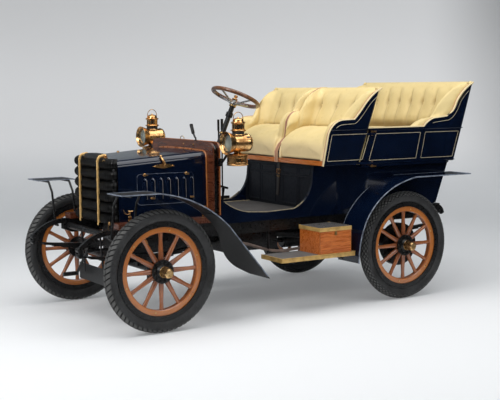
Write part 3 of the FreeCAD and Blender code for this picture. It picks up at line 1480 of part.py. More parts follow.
def build_seat(side_name, sign):
    """Tub, cushion and squab of one front seat. Worked out on the left, mirrored for the right."""
    foot = float(S.seat_bottom)
    top = float(S.seat_top)
    wall = float(S.seat_wall)
    between = float(S.seat_between)
    gap = float(S.soft_gap)
    high = top + 30
    over = seat_loft(foot - 30, high, 0, 0, 0, between, 0)
    inside_y = between + wall
    hollow = seat_loft(foot - 60, high + 10, wall, wall, wall, inside_y, 60)
    split_y = inside_y + 40
    outline = side_prism(seat_profile(), split_y, 900)
    divider = side_prism(divider_profile(), 0, split_y)
    trimmer = outline.fuse(divider)
    walls = over.cut(hollow).common(trimmer)
    board_top = foot + float(S.seat_floor)
    slab = Part.makeBox(900, 900, float(S.seat_floor), Vector(float(rear(100)), 0, foot))
    board = over.common(slab)
    rail_height = float(S.seat_rail)
    rail = Part.makeBox(24, 2000, rail_height,
                        Vector(float(rear(S.cushion_front)) - 16, 0, foot)).common(
                            seat_loft(foot - 30, high, 0, 0, 2, inside_y - 2, 0))
    tub = walls.fuse([board, rail]).removeSplitter()

    cushion_z = foot + rail_height + gap
    squab_low = board_top + gap
    outer_soft = seat_loft(squab_low, high, wall + gap, wall + gap, wall + gap,
                           inside_y + gap, 0)
    inner_soft = seat_loft(squab_low - 20, high + 10, wall + float(S.squab_foot),
                           wall + float(S.squab_head), wall + float(S.squab_side),
                           inside_y + float(S.squab_side) * 0.7, 60)
    squab = outer_soft.cut(inner_soft).common(trimmer).common(
        Part.makeBox(float(S.cushion_front) + 8, 900, 900,
                     Vector(float(rear(0)), 0, squab_low))).cut(rail)
    cushion_low = squab_low
    cushion_room = seat_loft(cushion_low, high, wall + float(S.squab_foot) + gap,
                             wall + float(S.squab_foot) + gap,
                             wall + float(S.squab_side) + gap,
                             inside_y + float(S.squab_side) * 0.7 + gap, 0)
    cushion_box = Part.makeBox(2000, 900, float(S.cushion_top) - cushion_z,
                               Vector(float(rear(S.cushion_front)) - 2000, 0, cushion_z))
    cushion = cushion_room.common(cushion_box)
    pieces = {"tub": tub, "squab": squab, "cushion": cushion}
    if sign < 0:
        for kind in pieces:
            pieces[kind] = pieces[kind].mirror(Vector(0, 0, 0), LEFT)
    return pieces


def build_seats():
    """Both front seats. The passenger's, on the left, swings out on two pins at its corner."""
    driver = build_seat("driver", -1)
    packers = []
    for x in (440, 620):
        packers.append(Part.makeBox(40, 400, float(S.seat_bottom - S.body_top),
                                    Vector(float(rear(x)), -430, float(S.body_top))))
    tub = driver["tub"].fuse(packers)
    node("driver_seat_tub", shaped("driver_seat_tub", tub))
    node("driver_squab", shaped("driver_squab", driver["squab"]))
    node("driver_cushion", shaped("driver_cushion", driver["cushion"]))

    passenger = build_seat("passenger", 1)
    pin_x = float(rear(S.seat_hinge_place))
    pin_y = float(S.seat_hinge_offset)
    bore = float(S.seat_pin_radius + S.running_gap)
    thick = float(S.seat_lug)
    lugs = []
    for z in (float(S.seat_hinge_low), float(S.seat_hinge_high)):
        reach_y = seat_outer_y(z) - float(S.seat_wall) * 0.5
        reach_x = seat_back_x(z) + 34
        lug = Part.makeCylinder(bore + 8, thick, Vector(pin_x, pin_y, z))
        arm = Part.Face(Part.makePolygon([
            Vector(pin_x - 4, pin_y + 13, z), Vector(pin_x + 14, pin_y - 2, z),
            Vector(reach_x + 10, reach_y, z), Vector(reach_x - 14, reach_y, z),
            Vector(pin_x - 4, pin_y - 12, z), Vector(pin_x - 4, pin_y + 13, z)]))
        lugs.append(lug.fuse(arm.extrude(Vector(0, 0, thick))).cut(
            Part.makeCylinder(bore, thick, Vector(pin_x, pin_y, z))))
    node("passenger_seat_tub", shaped("passenger_seat_tub", passenger["tub"].fuse(lugs)))
    node("passenger_squab", shaped("passenger_squab", passenger["squab"]))
    node("passenger_cushion", shaped("passenger_cushion", passenger["cushion"]))


def tonneau_loft(inset, z_low, z_high, ahead):
    """A solid that fills the tonneau, drawn in all round by an inset."""
    foot_z = float(S.body_top)
    run = float(S.tonneau_top) - foot_z
    slope = (float(S.seat_back_head) - float(S.seat_back_foot)) / SEAT_RUN

    def section(z):
        share = (z - foot_z) / run
        half = float(S.seat_outer_foot) - inset
        half += float(S.tonneau_outer_head - S.seat_outer_foot) * share
        back = float(rear(S.tonneau_rear_foot)) + inset
        back += (float(S.tonneau_rear_head) - float(S.tonneau_rear_foot)) * share
        face = float(rear(S.seat_back_foot)) - float(S.tonneau_gap) + ahead
        face += slope * (z - float(S.seat_bottom))
        corner = float(S.tonneau_corner) - inset
        soft = corner * 0.293
        left = [Vector(face, half, z), Vector(back + corner, half, z),
                Vector(back + soft, half - soft, z), Vector(back, half - corner, z)]
        right = [Vector(point.x, -point.y, z) for point in left]
        return Part.Wire([
            Part.makeLine(right[0], left[0]),
            Part.makeLine(left[0], left[1]),
            Part.Arc(left[1], left[2], left[3]).toShape(),
            Part.makeLine(left[3], right[3]),
            Part.Arc(right[3], right[2], right[1]).toShape(),
            Part.makeLine(right[1], right[0]),
        ])
    return Part.makeLoft([section(z_low), section(z_high)], True, True)


def tonneau_profile():
    """Scrolled upper edge of the tonneau."""
    low = S.tonneau_low
    arm = S.tonneau_arm
    top = S.tonneau_top
    back = S.tonneau_rear_head
    ahead = S.seat_back_foot + 47
    return lined([
        (ahead, S.body_top),
        (ahead, low),
        (back + 477, low),
        (back + 385, arm - 10, (back + 439, arm - 35)),
        (back + 231, arm + 6),
        (back + 153, top - 139, (back + 185, top - 211)),
        (back, top, (back + 87, top - 59)),
        (back - 60, top),
        (back - 60, S.body_top),
    ])


def build_tonneau():
    """Side and rear walls, joined at the rear corners, with the upholstery and rear cushion."""
    foot = float(S.body_top)
    top = float(S.tonneau_top)
    wall = float(S.tonneau_wall)
    gap = float(S.soft_gap)
    shell = tonneau_loft(0, foot, top + 20, 0).cut(tonneau_loft(wall, foot - 20, top + 40, 60))
    shell = shell.common(side_prism(tonneau_profile(), -900, 900))
    corner_x = float(rear(S.tonneau_rear_foot)) + float(S.tonneau_corner)
    ahead = Part.makeBox(1400, 2000, 900, Vector(corner_x, -1000, foot - 10))
    behind = Part.makeBox(400, 2000, 900, Vector(corner_x - 400, -1000, foot - 10))
    sides = shell.common(ahead)
    pin_x = float(rear(S.seat_hinge_place))
    pin_y = float(S.seat_hinge_offset)
    thick = float(S.hinge_bracket)
    low_z = float(S.body_top - S.ledge) + 2
    high_z = float(S.seat_hinge_high + S.seat_lug + S.hinge_gap)
    pin_low = float(S.seat_hinge_high) - 4
    pins = [(low_z, float(S.seat_hinge_low + S.seat_lug) + 3), (pin_low, high_z + thick)]
    left_side = sides.common(Part.makeBox(3000, 1000, 900, Vector(-2000, 0, foot - 10)))
    right_side = sides.common(Part.makeBox(3000, 1000, 900, Vector(-2000, -1000, foot - 10)))
    hinges = []
    for (begin, end), z, inner_y in zip(pins, (low_z, high_z), (S.seat_outer_foot, pin_y - 30)):
        reach = pin_y - float(inner_y)
        ear = Part.makeCylinder(12, thick, Vector(pin_x, pin_y, z))
        arm = Part.makeBox(24, reach, thick, Vector(pin_x - 34, float(inner_y), z))
        tongue = Part.makeBox(34, 16, thick, Vector(pin_x - 34, pin_y - 8, z))
        pin = Part.makeCylinder(float(S.seat_pin_radius), end - begin, Vector(pin_x, pin_y, begin))
        hinges.append(ear.fuse([arm, tongue, pin]).cut(left_side))
    seat_hinges = Part.makeCompound(hinges)
    node("tonneau_sides", shaped("tonneau_sides", Part.makeCompound([left_side, right_side])))
    node("tonneau_back", shaped("tonneau_back", shell.common(behind)))
    node("seat_hinges", shaped("seat_hinges", seat_hinges))

    soft_low = foot + gap
    lining = tonneau_loft(wall + gap, soft_low, top + 20, -4)
    side_depth = wall + float(S.rear_side_squab)
    room = tonneau_loft(side_depth, soft_low - 20, top + 40, 60)
    back_depth = float(S.rear_squab) - float(S.rear_side_squab)
    room = room.common(side_prism([
        (float(rear(S.tonneau_rear_foot)) + side_depth + back_depth + 30, soft_low - 30),
        (float(rear(900)), soft_low - 30), (float(rear(900)), top + 60),
        (float(rear(S.tonneau_rear_head)) + side_depth + back_depth, top + 60)], -900, 900))
    squab = lining.cut(room).common(side_prism(tonneau_profile(), -900, 900))
    node("rear_squab", shaped("rear_squab", squab))
    cushion_room = tonneau_loft(side_depth + gap, soft_low, top + 20, -20)
    slab = Part.makeBox(2000, 2000, float(S.rear_cushion_top) - soft_low,
                        Vector(float(rear(S.rear_seat_front)) - 2000, -1000, soft_low))
    cushion = cushion_room.common(slab).cut(squab)
    limit = float(rear(S.tonneau_rear_foot)) + side_depth + back_depth + 32
    cushion = cushion.common(Part.makeBox(1000, 2000, 900, Vector(limit, -1000, foot - 20)))
    node("rear_cushion", shaped("rear_cushion", cushion))


# ----------------------------------------------------------------------------------------------
# Wings, steps and tool box
# ----------------------------------------------------------------------------------------------
def blade(name, run, inner, outer):
    """A wing: its upper line, each point with the direction of its underside, carried across.
    A point is (x, z, normal x, normal z) or the same with the middle of the arc that ends
    there, itself such a point."""
    metal = S.sheet_metal

    def below(point):
        return (point[0] + metal * point[2], point[1] + metal * point[3])

    outline = [(run[0][0], run[0][1])]
    for point in run[1:]:
        corner = (point[0], point[1])
        if len(point) == 5:
            corner = corner + ((point[4][0], point[4][1]),)
        outline.append(corner)
    outline.append(below(run[-1]))
    for step in range(len(run) - 1, 0, -1):
        corner = below(run[step - 1])
        if len(run[step]) == 5:
            corner = corner + (below(run[step][4]),)
        outline.append(corner)
    body = padded(name, "XZ_Plane", outline, outer - inner)
    place(body, 0, (inner + outer) / 2, 0)
    return body


def build_wings():
    """Front and rear wings with their iron stays."""
    top = S.wing_top
    inner = WHEEL_Y - S.front_wing_inner
    outer = WHEEL_Y + S.front_wing_outer
    wheel = S.tyre_radius
    a = front(0)
    front_wing = blade("front_wing", [
        (a + wheel - 80, top, 0, -1),
        (a + 60, top, 0, -1),
        (a - wheel - 54, top - 248, 0.77, -0.64, (a - wheel * 0.558, top - 83, 0.42, -0.91)),
        (a - wheel - 371, top - 627, 0.77, -0.64),
    ], inner, outer)
    tip = padded("front_wing_tip", "XY_Plane", [
        (a - wheel - 138, inner - 4),
        (a - wheel - 376, outer + 4, (a - wheel - 229, inner + 92)),
        (a - wheel - 435, outer + 4),
        (a - wheel - 435, inner - 4)], 3000)
    node("front_wings", both_sides("front_wings", cut("front_wing_trimmed", front_wing, tip)))

    b = rear(0)
    rear_wing = blade("rear_wing", [
        (b - wheel - 173, top, 0, -1),
        (b - 24, top, 0, -1),
        (b + wheel + 35, top - 288, -0.84, -0.54, (b + wheel * 0.627, top - 98, -0.42, -0.91)),
        (b + wheel + 107, top - 599, -1, 0, (b + wheel + 90, top - 438, -0.97, -0.25)),
    ], S.body_rear_half, outer)
    node("rear_wings", both_sides("rear_wings", rear_wing))

    radius = S.stay_radius
    under = top - S.sheet_metal - radius
    rail_side = S.rail_offset + S.rail_width / 2
    pieces = []
    for number, x in enumerate((a + 250, a + 90)):
        pieces.append(bent_rod("front_stay_%d" % number, [
            (x, rail_side, S.rail_bottom + 50),
            (x, rail_side + 42, S.rail_bottom + 50),
            (x, inner - 60, under - 70),
            (x, inner, under),
            (x, outer - 20, under)], radius))
    step_rear = rear(S.tyre_radius + S.step_rear)
    step_length = rear(S.step_front) - step_rear
    step_under = S.step_top - S.step_board - 10
    for number, x in enumerate((rear(S.step_front - 120), step_rear + 96)):
        pieces.append(bent_rod("step_iron_%d" % number, [
            (x, S.rail_offset, S.rail_bottom),
            (x, S.rail_offset, step_under),
            (x, S.step_outer - 20, step_under)], 10))
    irons = gathered("left_irons", pieces)
    node("wing_and_step_irons", both_sides("wing_and_step_irons", irons))
    step = block("step", step_length, S.step_outer - S.step_inner, S.step_board,
                 step_rear, S.step_inner, S.step_top - S.step_board)
    node("steps", both_sides("steps", step))


def build_tool_box():
    """Open case on the left step with a hinged lid."""
    x = rear(S.tyre_radius + S.box_front) - S.box_length
    y = S.step_outer - 8 - S.box_width
    case_height = S.box_height - S.box_lid
    z = S.step_top
    outside = block("case_outside", S.box_length, S.box_width, case_height, x, y, z)
    inside = block("case_inside", S.box_length - S.box_wall * 2, S.box_width - S.box_wall * 2,
                   case_height, x + S.box_wall, y + S.box_wall, z + S.box_wall)
    case = cut("case", outside, inside)
    lid_z = z + case_height + 1
    hinge_y = y - 6
    knuckles = []
    lid_knuckles = []
    pin = rod("box_pin", (x + 30, hinge_y, lid_z), (x + 110, hinge_y, lid_z), 3)
    second_pin = rod("box_pin_rear", (x + 170, hinge_y, lid_z), (x + 250, hinge_y, lid_z), 3)
    for number, start in enumerate((30, 170)):
        for offset in (0, 60):
            knuckles.append(rod("case_knuckle_%d" % number, (x + start + offset, hinge_y, lid_z),
                                (x + start + offset + 20, hinge_y, lid_z), 5.5))
            knuckles.append(block("case_leaf_%d" % number, 20, 8, 14,
                                  x + start + offset, hinge_y - 1, lid_z - 16))
        outer = rod("lid_knuckle_%d" % number, (x + start + 21, hinge_y, lid_z),
                    (x + start + 59, hinge_y, lid_z), 5.5)
        leaf = block("lid_leaf_%d" % number, 38, 10, 5, x + start + 21, hinge_y - 1, lid_z + 2)
        bore = rod("lid_bore_%d" % number, (x + start + 20, hinge_y, lid_z),
                   (x + start + 60, hinge_y, lid_z), 3 + S.running_gap)
        lid_knuckles.append(cut("lid_hinge_%d" % number, fused("lid_joined_%d" % number,
                                                               [outer, leaf]), bore))
    node("tool_box", fused("tool_box", [case, pin, second_pin] + knuckles))
    lid = block("lid", S.box_length + 4, S.box_width + 4, S.box_lid - 1, x - 2, y, lid_z)
    node("tool_box_lid", fused("tool_box_lid", [lid] + lid_knuckles))


# ----------------------------------------------------------------------------------------------
# Lamps, controls, number plate and starting handle
# ----------------------------------------------------------------------------------------------
def build_lamps():
    """Brass oil side lamps on brackets from the dash, with round glasses."""
    x = front(S.lamp_front)
    y = S.lamp_offset
    z = S.lamp_axis_height
    r = S.lamp_radius
    ring_r = S.lamp_ring_radius
    length = S.lamp_length
    drum = turned("lamp_drum", "X", [
        (-32, 0), (-32, r - 2), (-22, r + 2), (0, ring_r - 3), (0, ring_r), (-10, ring_r - 3),
        (-24, r + 8), (-30, r), (46 - length, r), (40 - length, r + 5), (33 - length, r + 5),
        (26 - length, r - 3), (14 - length, r - 8), (5 - length, r - 18), (-length, r - 34),
        (-length, 0)])
    place(drum, x, y, z)
    chimney_x = x - 101
    top = S.lamp_chimney_top - z
    chimney = turned("lamp_chimney", "Z", [
        (0, 40), (46, 40), (46, 66), (40, 70), (40, 80), (63, 82), (63, 87), (44, 89),
        (44, 124), (50, 126), (50, 131), (43, 133), (43, 150), (52, 152), (52, 157),
        (22, top - 4), (0, top)])
    place(chimney, chimney_x, y, z)
    font_z = S.lamp_foot
    font = turned("lamp_font", "Z", [
        (0, 0), (68, 0), (74, 5), (74, 62), (69, 67), (30, 72), (20, 76), (20, 110), (0, 110)])
    place(font, x - 93, y, font_z)
    bail = bent_rod("lamp_bail", [
        (chimney_x - 58, y, z + 85), (chimney_x - 57, y, z + 150), (chimney_x - 36, y, z + 192),
        (chimney_x, y, z + 204), (chimney_x + 36, y, z + 192), (chimney_x + 57, y, z + 150),
        (chimney_x + 58, y, z + 85)], 3)
    mid = front(S.dash_front) - S.dash_thickness + S.dash_board / 2
    bracket = bent_rod("lamp_bracket", [
        (mid, DASH_HALF - 2, z - 150), (mid, DASH_HALF + 30, z - 144),
        (x - 62, y - 24, z - 50)], 9)
    clear = block("lamp_bracket_trim", 60, 30, 60, mid - 30, DASH_HALF - 30, z - 180)
    lamp = fused("side_lamp", [drum, chimney, font, bail, cut("lamp_arm", bracket, clear)])
    node("side_lamps", both_sides("side_lamps", lamp))
    glass = turned("lamp_glass", "X", [
        (-32, 0), (-32, r - 4), (-26, r - 4), (-20, r * 0.55), (-18, 0)])
    lens = place(glass, x + 0.5, y, z)
    node("lamp_glasses", both_sides("lamp_glasses", lens))


def build_steering_wheel():
    """Wooden rim on a metal spider, and the leaning column with its box on the frame."""
    x = front(S.steering_hub_place)
    y = COLUMN_Y
    z = S.steering_hub_height
    lean = -float(S.column_lean)

    def leaned(name, item):
        return place(gathered(name, [item]), x, y, z, LEFT, lean)

    rim = doc.addObject("Part::Torus", "rim_ring")
    bind(rim, "Radius1", S.steering_wheel_radius)
    bind(rim, "Radius2", S.steering_rim_radius)
    node("steering_rim", leaned("steering_rim", rim))

    shaft_radius = 9
    dish = S.steering_dish
    hub = turned("spider_hub", "Z", [
        (0, -dish - 75), (shaft_radius, -dish - 75), (shaft_radius, -dish - 35),
        (24, -dish - 35), (30, -dish - 26), (30, -dish - 12), (16, -dish - 6),
        (16, -dish + 6), (10, -dish + 11), (0, -dish + 12)])
    spokes = []
    for quarter in range(4):
        angle = math.radians(15 + 90 * quarter)
        reach = S.steering_wheel_radius - S.steering_rim_radius / 2
        spokes.append(rod("spider_spoke_%d" % quarter,
                          (18 * math.cos(angle), 18 * math.sin(angle), -dish - 20),
                          (reach * math.cos(angle), reach * math.sin(angle), 0), 7))
    spider = cut("spider_trimmed", fused("spider", [hub] + spokes), rim)
    node("steering_spider", leaned("steering_spider", spider))

    bore = shaft_radius + S.running_gap
    column = turned("column_tube", "Z", [
        (0, -S.column_length), (S.column_radius, -S.column_length),
        (S.column_radius, -dish - 132), (S.column_radius + 9, -dish - 128),
        (S.column_radius + 9, -dish - 96), (S.column_radius, -dish - 92),
        (S.column_radius, -dish - 40), (bore, -dish - 40), (bore, -dish - 80),
        (0, -dish - 80)])
    column_leaned = leaned("column_leaned", column)
    box_x = column_x(S.rail_bottom + 60)
    inside = -(S.rail_offset - S.rail_width / 2)
    box = block("steering_box", 120, y + 38 - inside, 90, box_x - 60, inside, S.rail_bottom)
    node("steering_column", fused("steering_column", [column_leaned, box]))


def build_controls():
    """Gear and brake levers outside the body, and two pedals."""
    side = -BODY_HALF
    base_x = rear(880)
    plate = block("lever_plate", 110, 26, 80, base_x - 40, side - 26, S.body_bottom + 10)
    levers = [plate]
    y = side - 34
    pivot_z = S.body_bottom + 60
    for number, (foot, grip, lean) in enumerate(((6, 11, 0), (33, 9, 0.55))):
        levers.append(rod("lever_boss_%d" % number, (base_x + foot, side - 20, pivot_z),
                          (base_x + foot, y - 10, pivot_z), 10))
        length = S.lever_top - number * 4 - pivot_z
        lever = turned("lever_%d" % number, "Z", [
            (0, -6), (6, -6), (6, length - 90), (grip, length - 86), (grip, length),
            (0, length)])
        levers.append(place(lever, base_x + foot, y, pivot_z, LEFT, lean))
    node("hand_levers", fused("hand_levers", levers))
    pedals = []
    floor_top = RAIL_TOP + S.floor_thickness
    for number, inset in enumerate((185, 10)):
        x = rear(1060)
        y = inset - S.rail_offset
        stem = rod("pedal_stem_%d" % number, (x, y, floor_top - 2),
                   (x - 22, y, S.pedal_top - 9), 9)
        pad = rod("pedal_pad_%d" % number, (x - 22, y, S.pedal_top - 11),
                  (x - 26, y, S.pedal_top + 1), 34)
        pedals.append(fused("pedal_%d" % number, [stem, pad]))
    clear = block("pedal_trim", 400, 400, 40, rear(900), -500, floor_top - 40)
    trimmed = [cut("pedal_trimmed_%d" % number, pedal, clear)
               for number, pedal in enumerate(pedals)]
    node("foot_pedals", gathered("foot_pedals", trimmed))


def build_front_fittings():
    """Blank number plate on two struts, and the starting handle."""
    x = front(S.plate_place)
    cross_x = front(S.rail_front) - 40
    tube_under = S.rail_bottom + S.rail_height / 2 - S.cross_tube_radius
    plate = block("plate", S.plate_thickness, S.plate_half * 2, S.plate_height,
                  x, -S.plate_half, S.plate_bottom)
    pieces = [plate]
    for y in (-150, 150):
        pieces.append(rod("plate_strut", (cross_x, y, tube_under),
                          (x + 2, y, S.plate_bottom + 60), 7))
    clear = block("plate_strut_trim", 200, 600, 60, cross_x - 100, -300, tube_under)
    node("number_plate", cut("number_plate", fused("plate_and_struts", pieces), clear))
    start = front(S.engine_middle) + S.engine_length / 2
    arm_x = front(215)
    z = S.crank_height
    grip_y = S.crank_throw_side
    grip_z = z - S.crank_throw_down
    shaft = rod("crank_shaft", (start, 0, z), (arm_x, 0, z), S.crank_radius)
    arm = bent_rod("crank_arm", [(arm_x - 4, 0, z), (arm_x, 0, z), (arm_x, grip_y, grip_z),
                                 (arm_x + 10, grip_y, grip_z)], 10)
    grip = rod("crank_grip", (arm_x - 6, grip_y, grip_z), (arm_x - 6 + S.crank_grip, grip_y,
                                                         grip_z), 15)
    node("starting_handle", fused("starting_handle", [shaft, arm, grip]))


# ----------------------------------------------------------------------------------------------
# Build, check and write
# ----------------------------------------------------------------------------------------------
BUILDERS = [
    build_wheels, build_frame, build_springs, build_front_axle, build_steering_linkage,
    build_rear_axle, build_machinery, build_bonnet, build_radiator, build_dash,
    build_lower_body, build_seats, build_tonneau, build_wings, build_tool_box, build_lamps,
    build_steering_wheel, build_controls, build_front_fittings,
]


def check_document():
    """Stop on a failed object or an empty or invalid shape."""
    faults = []
    for item in doc.Objects:
        if "Invalid" in item.State or "Error" in item.State:
            faults.append("%s: %s" % (item.Name, item.State))
    for name, item in NODES.items():
        if item.Shape.isNull() or not item.Shape.Solids:
            faults.append(name + ": no solid")
        elif not item.Shape.isValid():
            faults.append(name + ": invalid shape")
    if faults:
        raise RuntimeError("; ".join(faults))


for builder in BUILDERS:
    builder()
doc.recompute()
check_document()
for node_name, node_item in NODES.items():
    node_item.Shape.exportStep("parts/%s.step" % node_name)
    solids = node_item.Shape.Solids
    litres = sum(solid.Volume for solid in solids) / 1e6
    print("%-24s %2d solids %9.3f litres" % (node_name, len(solids), litres))
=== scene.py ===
"""The looks of a brass era tonneau car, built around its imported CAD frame.

Row frame, metres: +X forward, +Y to the car's left, +Z up, the ground at z = 0. Some places are
taken from the boxes of CAD nodes; the others are written in the row frame. A piece is one or more
surfaces, each a grid of points computed as whole arrays: a function of two parameters, a profile
carried along a path, or a profile turned about an axis.
"""
import json
import math
import bmesh
import bpy
import numpy as np
from mathutils import Matrix, Vector


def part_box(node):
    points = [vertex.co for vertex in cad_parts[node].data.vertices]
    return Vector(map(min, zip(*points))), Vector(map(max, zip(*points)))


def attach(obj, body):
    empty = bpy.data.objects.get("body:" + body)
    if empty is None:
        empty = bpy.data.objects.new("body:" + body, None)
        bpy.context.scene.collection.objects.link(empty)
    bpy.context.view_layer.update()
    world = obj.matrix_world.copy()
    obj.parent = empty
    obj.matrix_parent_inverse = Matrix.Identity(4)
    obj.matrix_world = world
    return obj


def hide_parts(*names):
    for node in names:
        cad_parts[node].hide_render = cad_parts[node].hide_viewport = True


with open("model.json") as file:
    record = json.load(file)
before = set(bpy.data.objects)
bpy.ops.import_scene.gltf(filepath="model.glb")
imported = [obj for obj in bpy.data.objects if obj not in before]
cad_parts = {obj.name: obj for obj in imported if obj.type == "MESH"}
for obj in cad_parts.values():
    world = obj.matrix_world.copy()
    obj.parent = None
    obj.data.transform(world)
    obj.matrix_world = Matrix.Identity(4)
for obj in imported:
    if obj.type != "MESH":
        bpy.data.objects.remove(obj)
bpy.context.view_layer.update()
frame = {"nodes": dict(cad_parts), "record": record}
NODES = frame["nodes"]
TAU = 2 * math.pi
X, Y, Z = np.eye(3)
CORNERS = ("front_left", "front_right", "rear_left", "rear_right")
SIDES = (("left", 1), ("right", -1))


def low(node):
    """Lowest corner of a CAD node."""
    return np.array(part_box(node)[0])


def high(node):
    """Highest corner of a CAD node."""
    return np.array(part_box(node)[1])


def middle(node):
    """Centre of a CAD node's box."""
    return (low(node) + high(node)) / 2


FRONT_AXLE, REAR_AXLE = middle("front_left_tyre")[0], middle("rear_left_tyre")[0]
TYRE_RADIUS = (high("front_left_tyre")[2] - low("front_left_tyre")[2]) / 2
HUB_CAP = high("front_left_wheel_iron")[1] - 0.072


# ------------------------------------------------------------------------------------------
# Surfaces: each is (points, quads)
# ------------------------------------------------------------------------------------------
def surface(grid, close_rows=False, close_columns=True):
    """A grid of points, rows by columns by 3, with a quad between neighbours; it may wrap."""
    rows, columns = grid.shape[:2]
    row, column = np.meshgrid(np.arange(rows - (not close_rows)),
                              np.arange(columns - (not close_columns)), indexing="ij")
    after_row, after_column = (row + 1) % rows, (column + 1) % columns
    quads = np.stack([row * columns + column, row * columns + after_column,
                      after_row * columns + after_column, after_row * columns + column], -1)
    return grid.reshape(-1, 3), quads.reshape(-1, 4)


def capped(grid):
    """The grid with its first and last rows drawn in to their centres, which closes the ends."""
    first, last = grid[:1].mean(1, keepdims=True), grid[-1:].mean(1, keepdims=True)
    columns = grid.shape[1]
    return np.concatenate([np.repeat(first, columns, 1), grid, np.repeat(last, columns, 1)])


def unit(vectors):
    """Vectors divided by their own length."""
    return vectors / np.linalg.norm(vectors, axis=-1, keepdims=True)


def circle(radius, sides, flat=1.0):
    """Points of a circle, or of an ellipse flat times as high as wide, as (across, up) pairs."""
    turn = np.arange(sides) / sides * TAU
    return radius * np.stack([np.cos(turn), flat * np.sin(turn)], 1)


def oblong(width, height, corner, steps=4):
    """Outline of a width by height rectangle whose corners are quarter circles."""
    turn = np.linspace(0, math.pi / 2, steps)
    quarter = corner * np.stack([np.cos(turn), np.sin(turn)], 1)
    inner = np.array([width / 2 - corner, height / 2 - corner])
    spins = [(1, 1, False), (-1, 1, True), (-1, -1, False), (1, -1, True)]
    return np.concatenate([(quarter[::-1] if back else quarter) * (sx, sy) + inner * (sx, sy)
                           for sx, sy, back in spins])


def curve(points, steps, closed=False):
    """A smooth line through points: between two of them, the Catmull-Rom cubic in steps parts."""
    points = np.asarray(points, float)
    if closed:
        around = np.concatenate([points[-1:], points, points[:2]])
    else:
        around = np.concatenate([2 * points[:1] - points[1:2], points, 2 * points[-1:] - points[-2:-1]])
    share = np.arange(steps)[:, None, None] / steps
    a, b, c, d = (around[k:len(around) - 3 + k] for k in range(4))
    run = 0.5 * (2 * b + (c - a) * share + (2 * a - 5 * b + 4 * c - d) * share ** 2
                 + (3 * b - 3 * c + d - a) * share ** 3)
    run = run.transpose(1, 0, 2).reshape(-1, points.shape[1])
    return run if closed else np.concatenate([run, points[-1:]])


def bent(points, radius, steps=6):
    """Straight runs between points with each inner corner cut by a parabola radius long."""
    points = np.asarray(points, float)
    before, corner, after = points[:-2], points[1:-1], points[2:]
    reach_in = np.minimum(radius, 0.49 * np.linalg.norm(before - corner, axis=1))[:, None]
    reach_out = np.minimum(radius, 0.49 * np.linalg.norm(after - corner, axis=1))[:, None]
    start = corner + reach_in * unit(before - corner)
    stop = corner + reach_out * unit(after - corner)
    share = np.linspace(0, 1, steps)[:, None, None]
    arcs = start * (1 - share) ** 2 + 2 * corner * share * (1 - share) + stop * share ** 2
    return np.concatenate([points[:1], arcs.transpose(1, 0, 2).reshape(-1, 3), points[-1:]])


def step_up(value, start, stop):
    """Zero before start, one after stop, and a smooth cubic between."""
    share = np.clip((value - start) / (stop - start), 0, 1)
    return share * share * (3 - 2 * share)


def evenly(line, count):
    """Places spread evenly along a line of points."""
    along = np.concatenate([[0], np.cumsum(np.linalg.norm(np.diff(line, axis=0), axis=1))])
    want = np.linspace(0, along[-1], count)
    return np.stack([np.interp(want, along, line[:, k]) for k in range(line.shape[1])], 1)


def carried(path, profile, up=Z, closed=False, scale=1.0):
    """A profile of (across, up) pairs carried square to a path; ends are capped unless closed.

    Across is the path's direction crossed with up, and up is across crossed with the direction.
    """
    path = np.asarray(path, float)
    if closed:
        along = unit(np.roll(path, -1, 0) - np.roll(path, 1, 0))
    else:
        along = unit(np.gradient(path, axis=0))
    across = unit(np.cross(along, up))
    over = np.cross(across, along)
    scale = np.broadcast_to(scale, len(path))[:, None, None]
    grid = (path[:, None] + scale * profile[None, :, :1] * across[:, None]
            + scale * profile[None, :, 1:] * over[:, None])
    return surface(grid if closed else capped(grid), closed)


def rod(path, radius, sides, up=Z, closed=False, scale=1.0):
    """A round bar along a path."""
    return carried(path, circle(radius, sides), up, closed, scale)


def turned(profile, centre, axis, sides):
    """A profile of (radius, along) pairs turned about an axis through centre."""
    profile = np.asarray(profile, float)
    axis = unit(np.asarray(axis, float))
    side = unit(np.cross(axis, X if abs(axis[0]) < 0.9 else Y))
    other = np.cross(axis, side)
    turn = np.arange(sides) / sides * TAU
    ring = np.cos(turn)[:, None] * side + np.sin(turn)[:, None] * other
    grid = np.asarray(centre) + profile[:, None, :1] * ring[None] + profile[:, None, 1:] * axis
    return surface(grid)


def slab(outline, depth, centre, across, up, edge):
    """A flat outline of (across, up) pairs with a thickness and a small chamfer all round."""
    across, up = unit(np.asarray(across, float)), unit(np.asarray(up, float))
    out = np.cross(across, up)
    inner = outline * (1 - edge / np.abs(outline).max())
    rings = [(inner, -depth / 2), (outline, -depth / 2 + edge), (outline, depth / 2 - edge),
             (inner, depth / 2)]
    grid = np.stack([np.asarray(centre) + ring[:, :1] * across + ring[:, 1:] * up + height * out
                     for ring, height in rings])
    return surface(capped(grid))


def brick(lowest, highest, corner, edge=0.0012):
    """A block between two corners, with rounded upright edges and chamfered rims."""
    lowest, highest = np.asarray(lowest, float), np.asarray(highest, float)
    size = highest - lowest
    return slab(oblong(size[0], size[1], min(corner, 0.45 * size[:2].min())), size[2],
                (lowest + highest) / 2, X, Y, min(edge, 0.4 * size[2]))


def placed(part, centres, turns):
    """Copies of a part, one moved to each centre; turns is one rotation matrix, or one per copy."""
    points, quads = part
    centres = np.asarray(centres, float).reshape(-1, 3)
    turns = np.broadcast_to(turns, (len(centres), 3, 3))
    moved = np.einsum("nij,pj->npi", turns, points) + centres[:, None]
    shift = np.arange(len(centres))[:, None, None] * len(points)
    return moved.reshape(-1, 3), (quads[None] + shift).reshape(-1, 4)


def flipped(part):
    """The part mirrored from the car's left side to its right."""
    points, quads = part
    return points * (1, -1, 1), quads[:, ::-1]


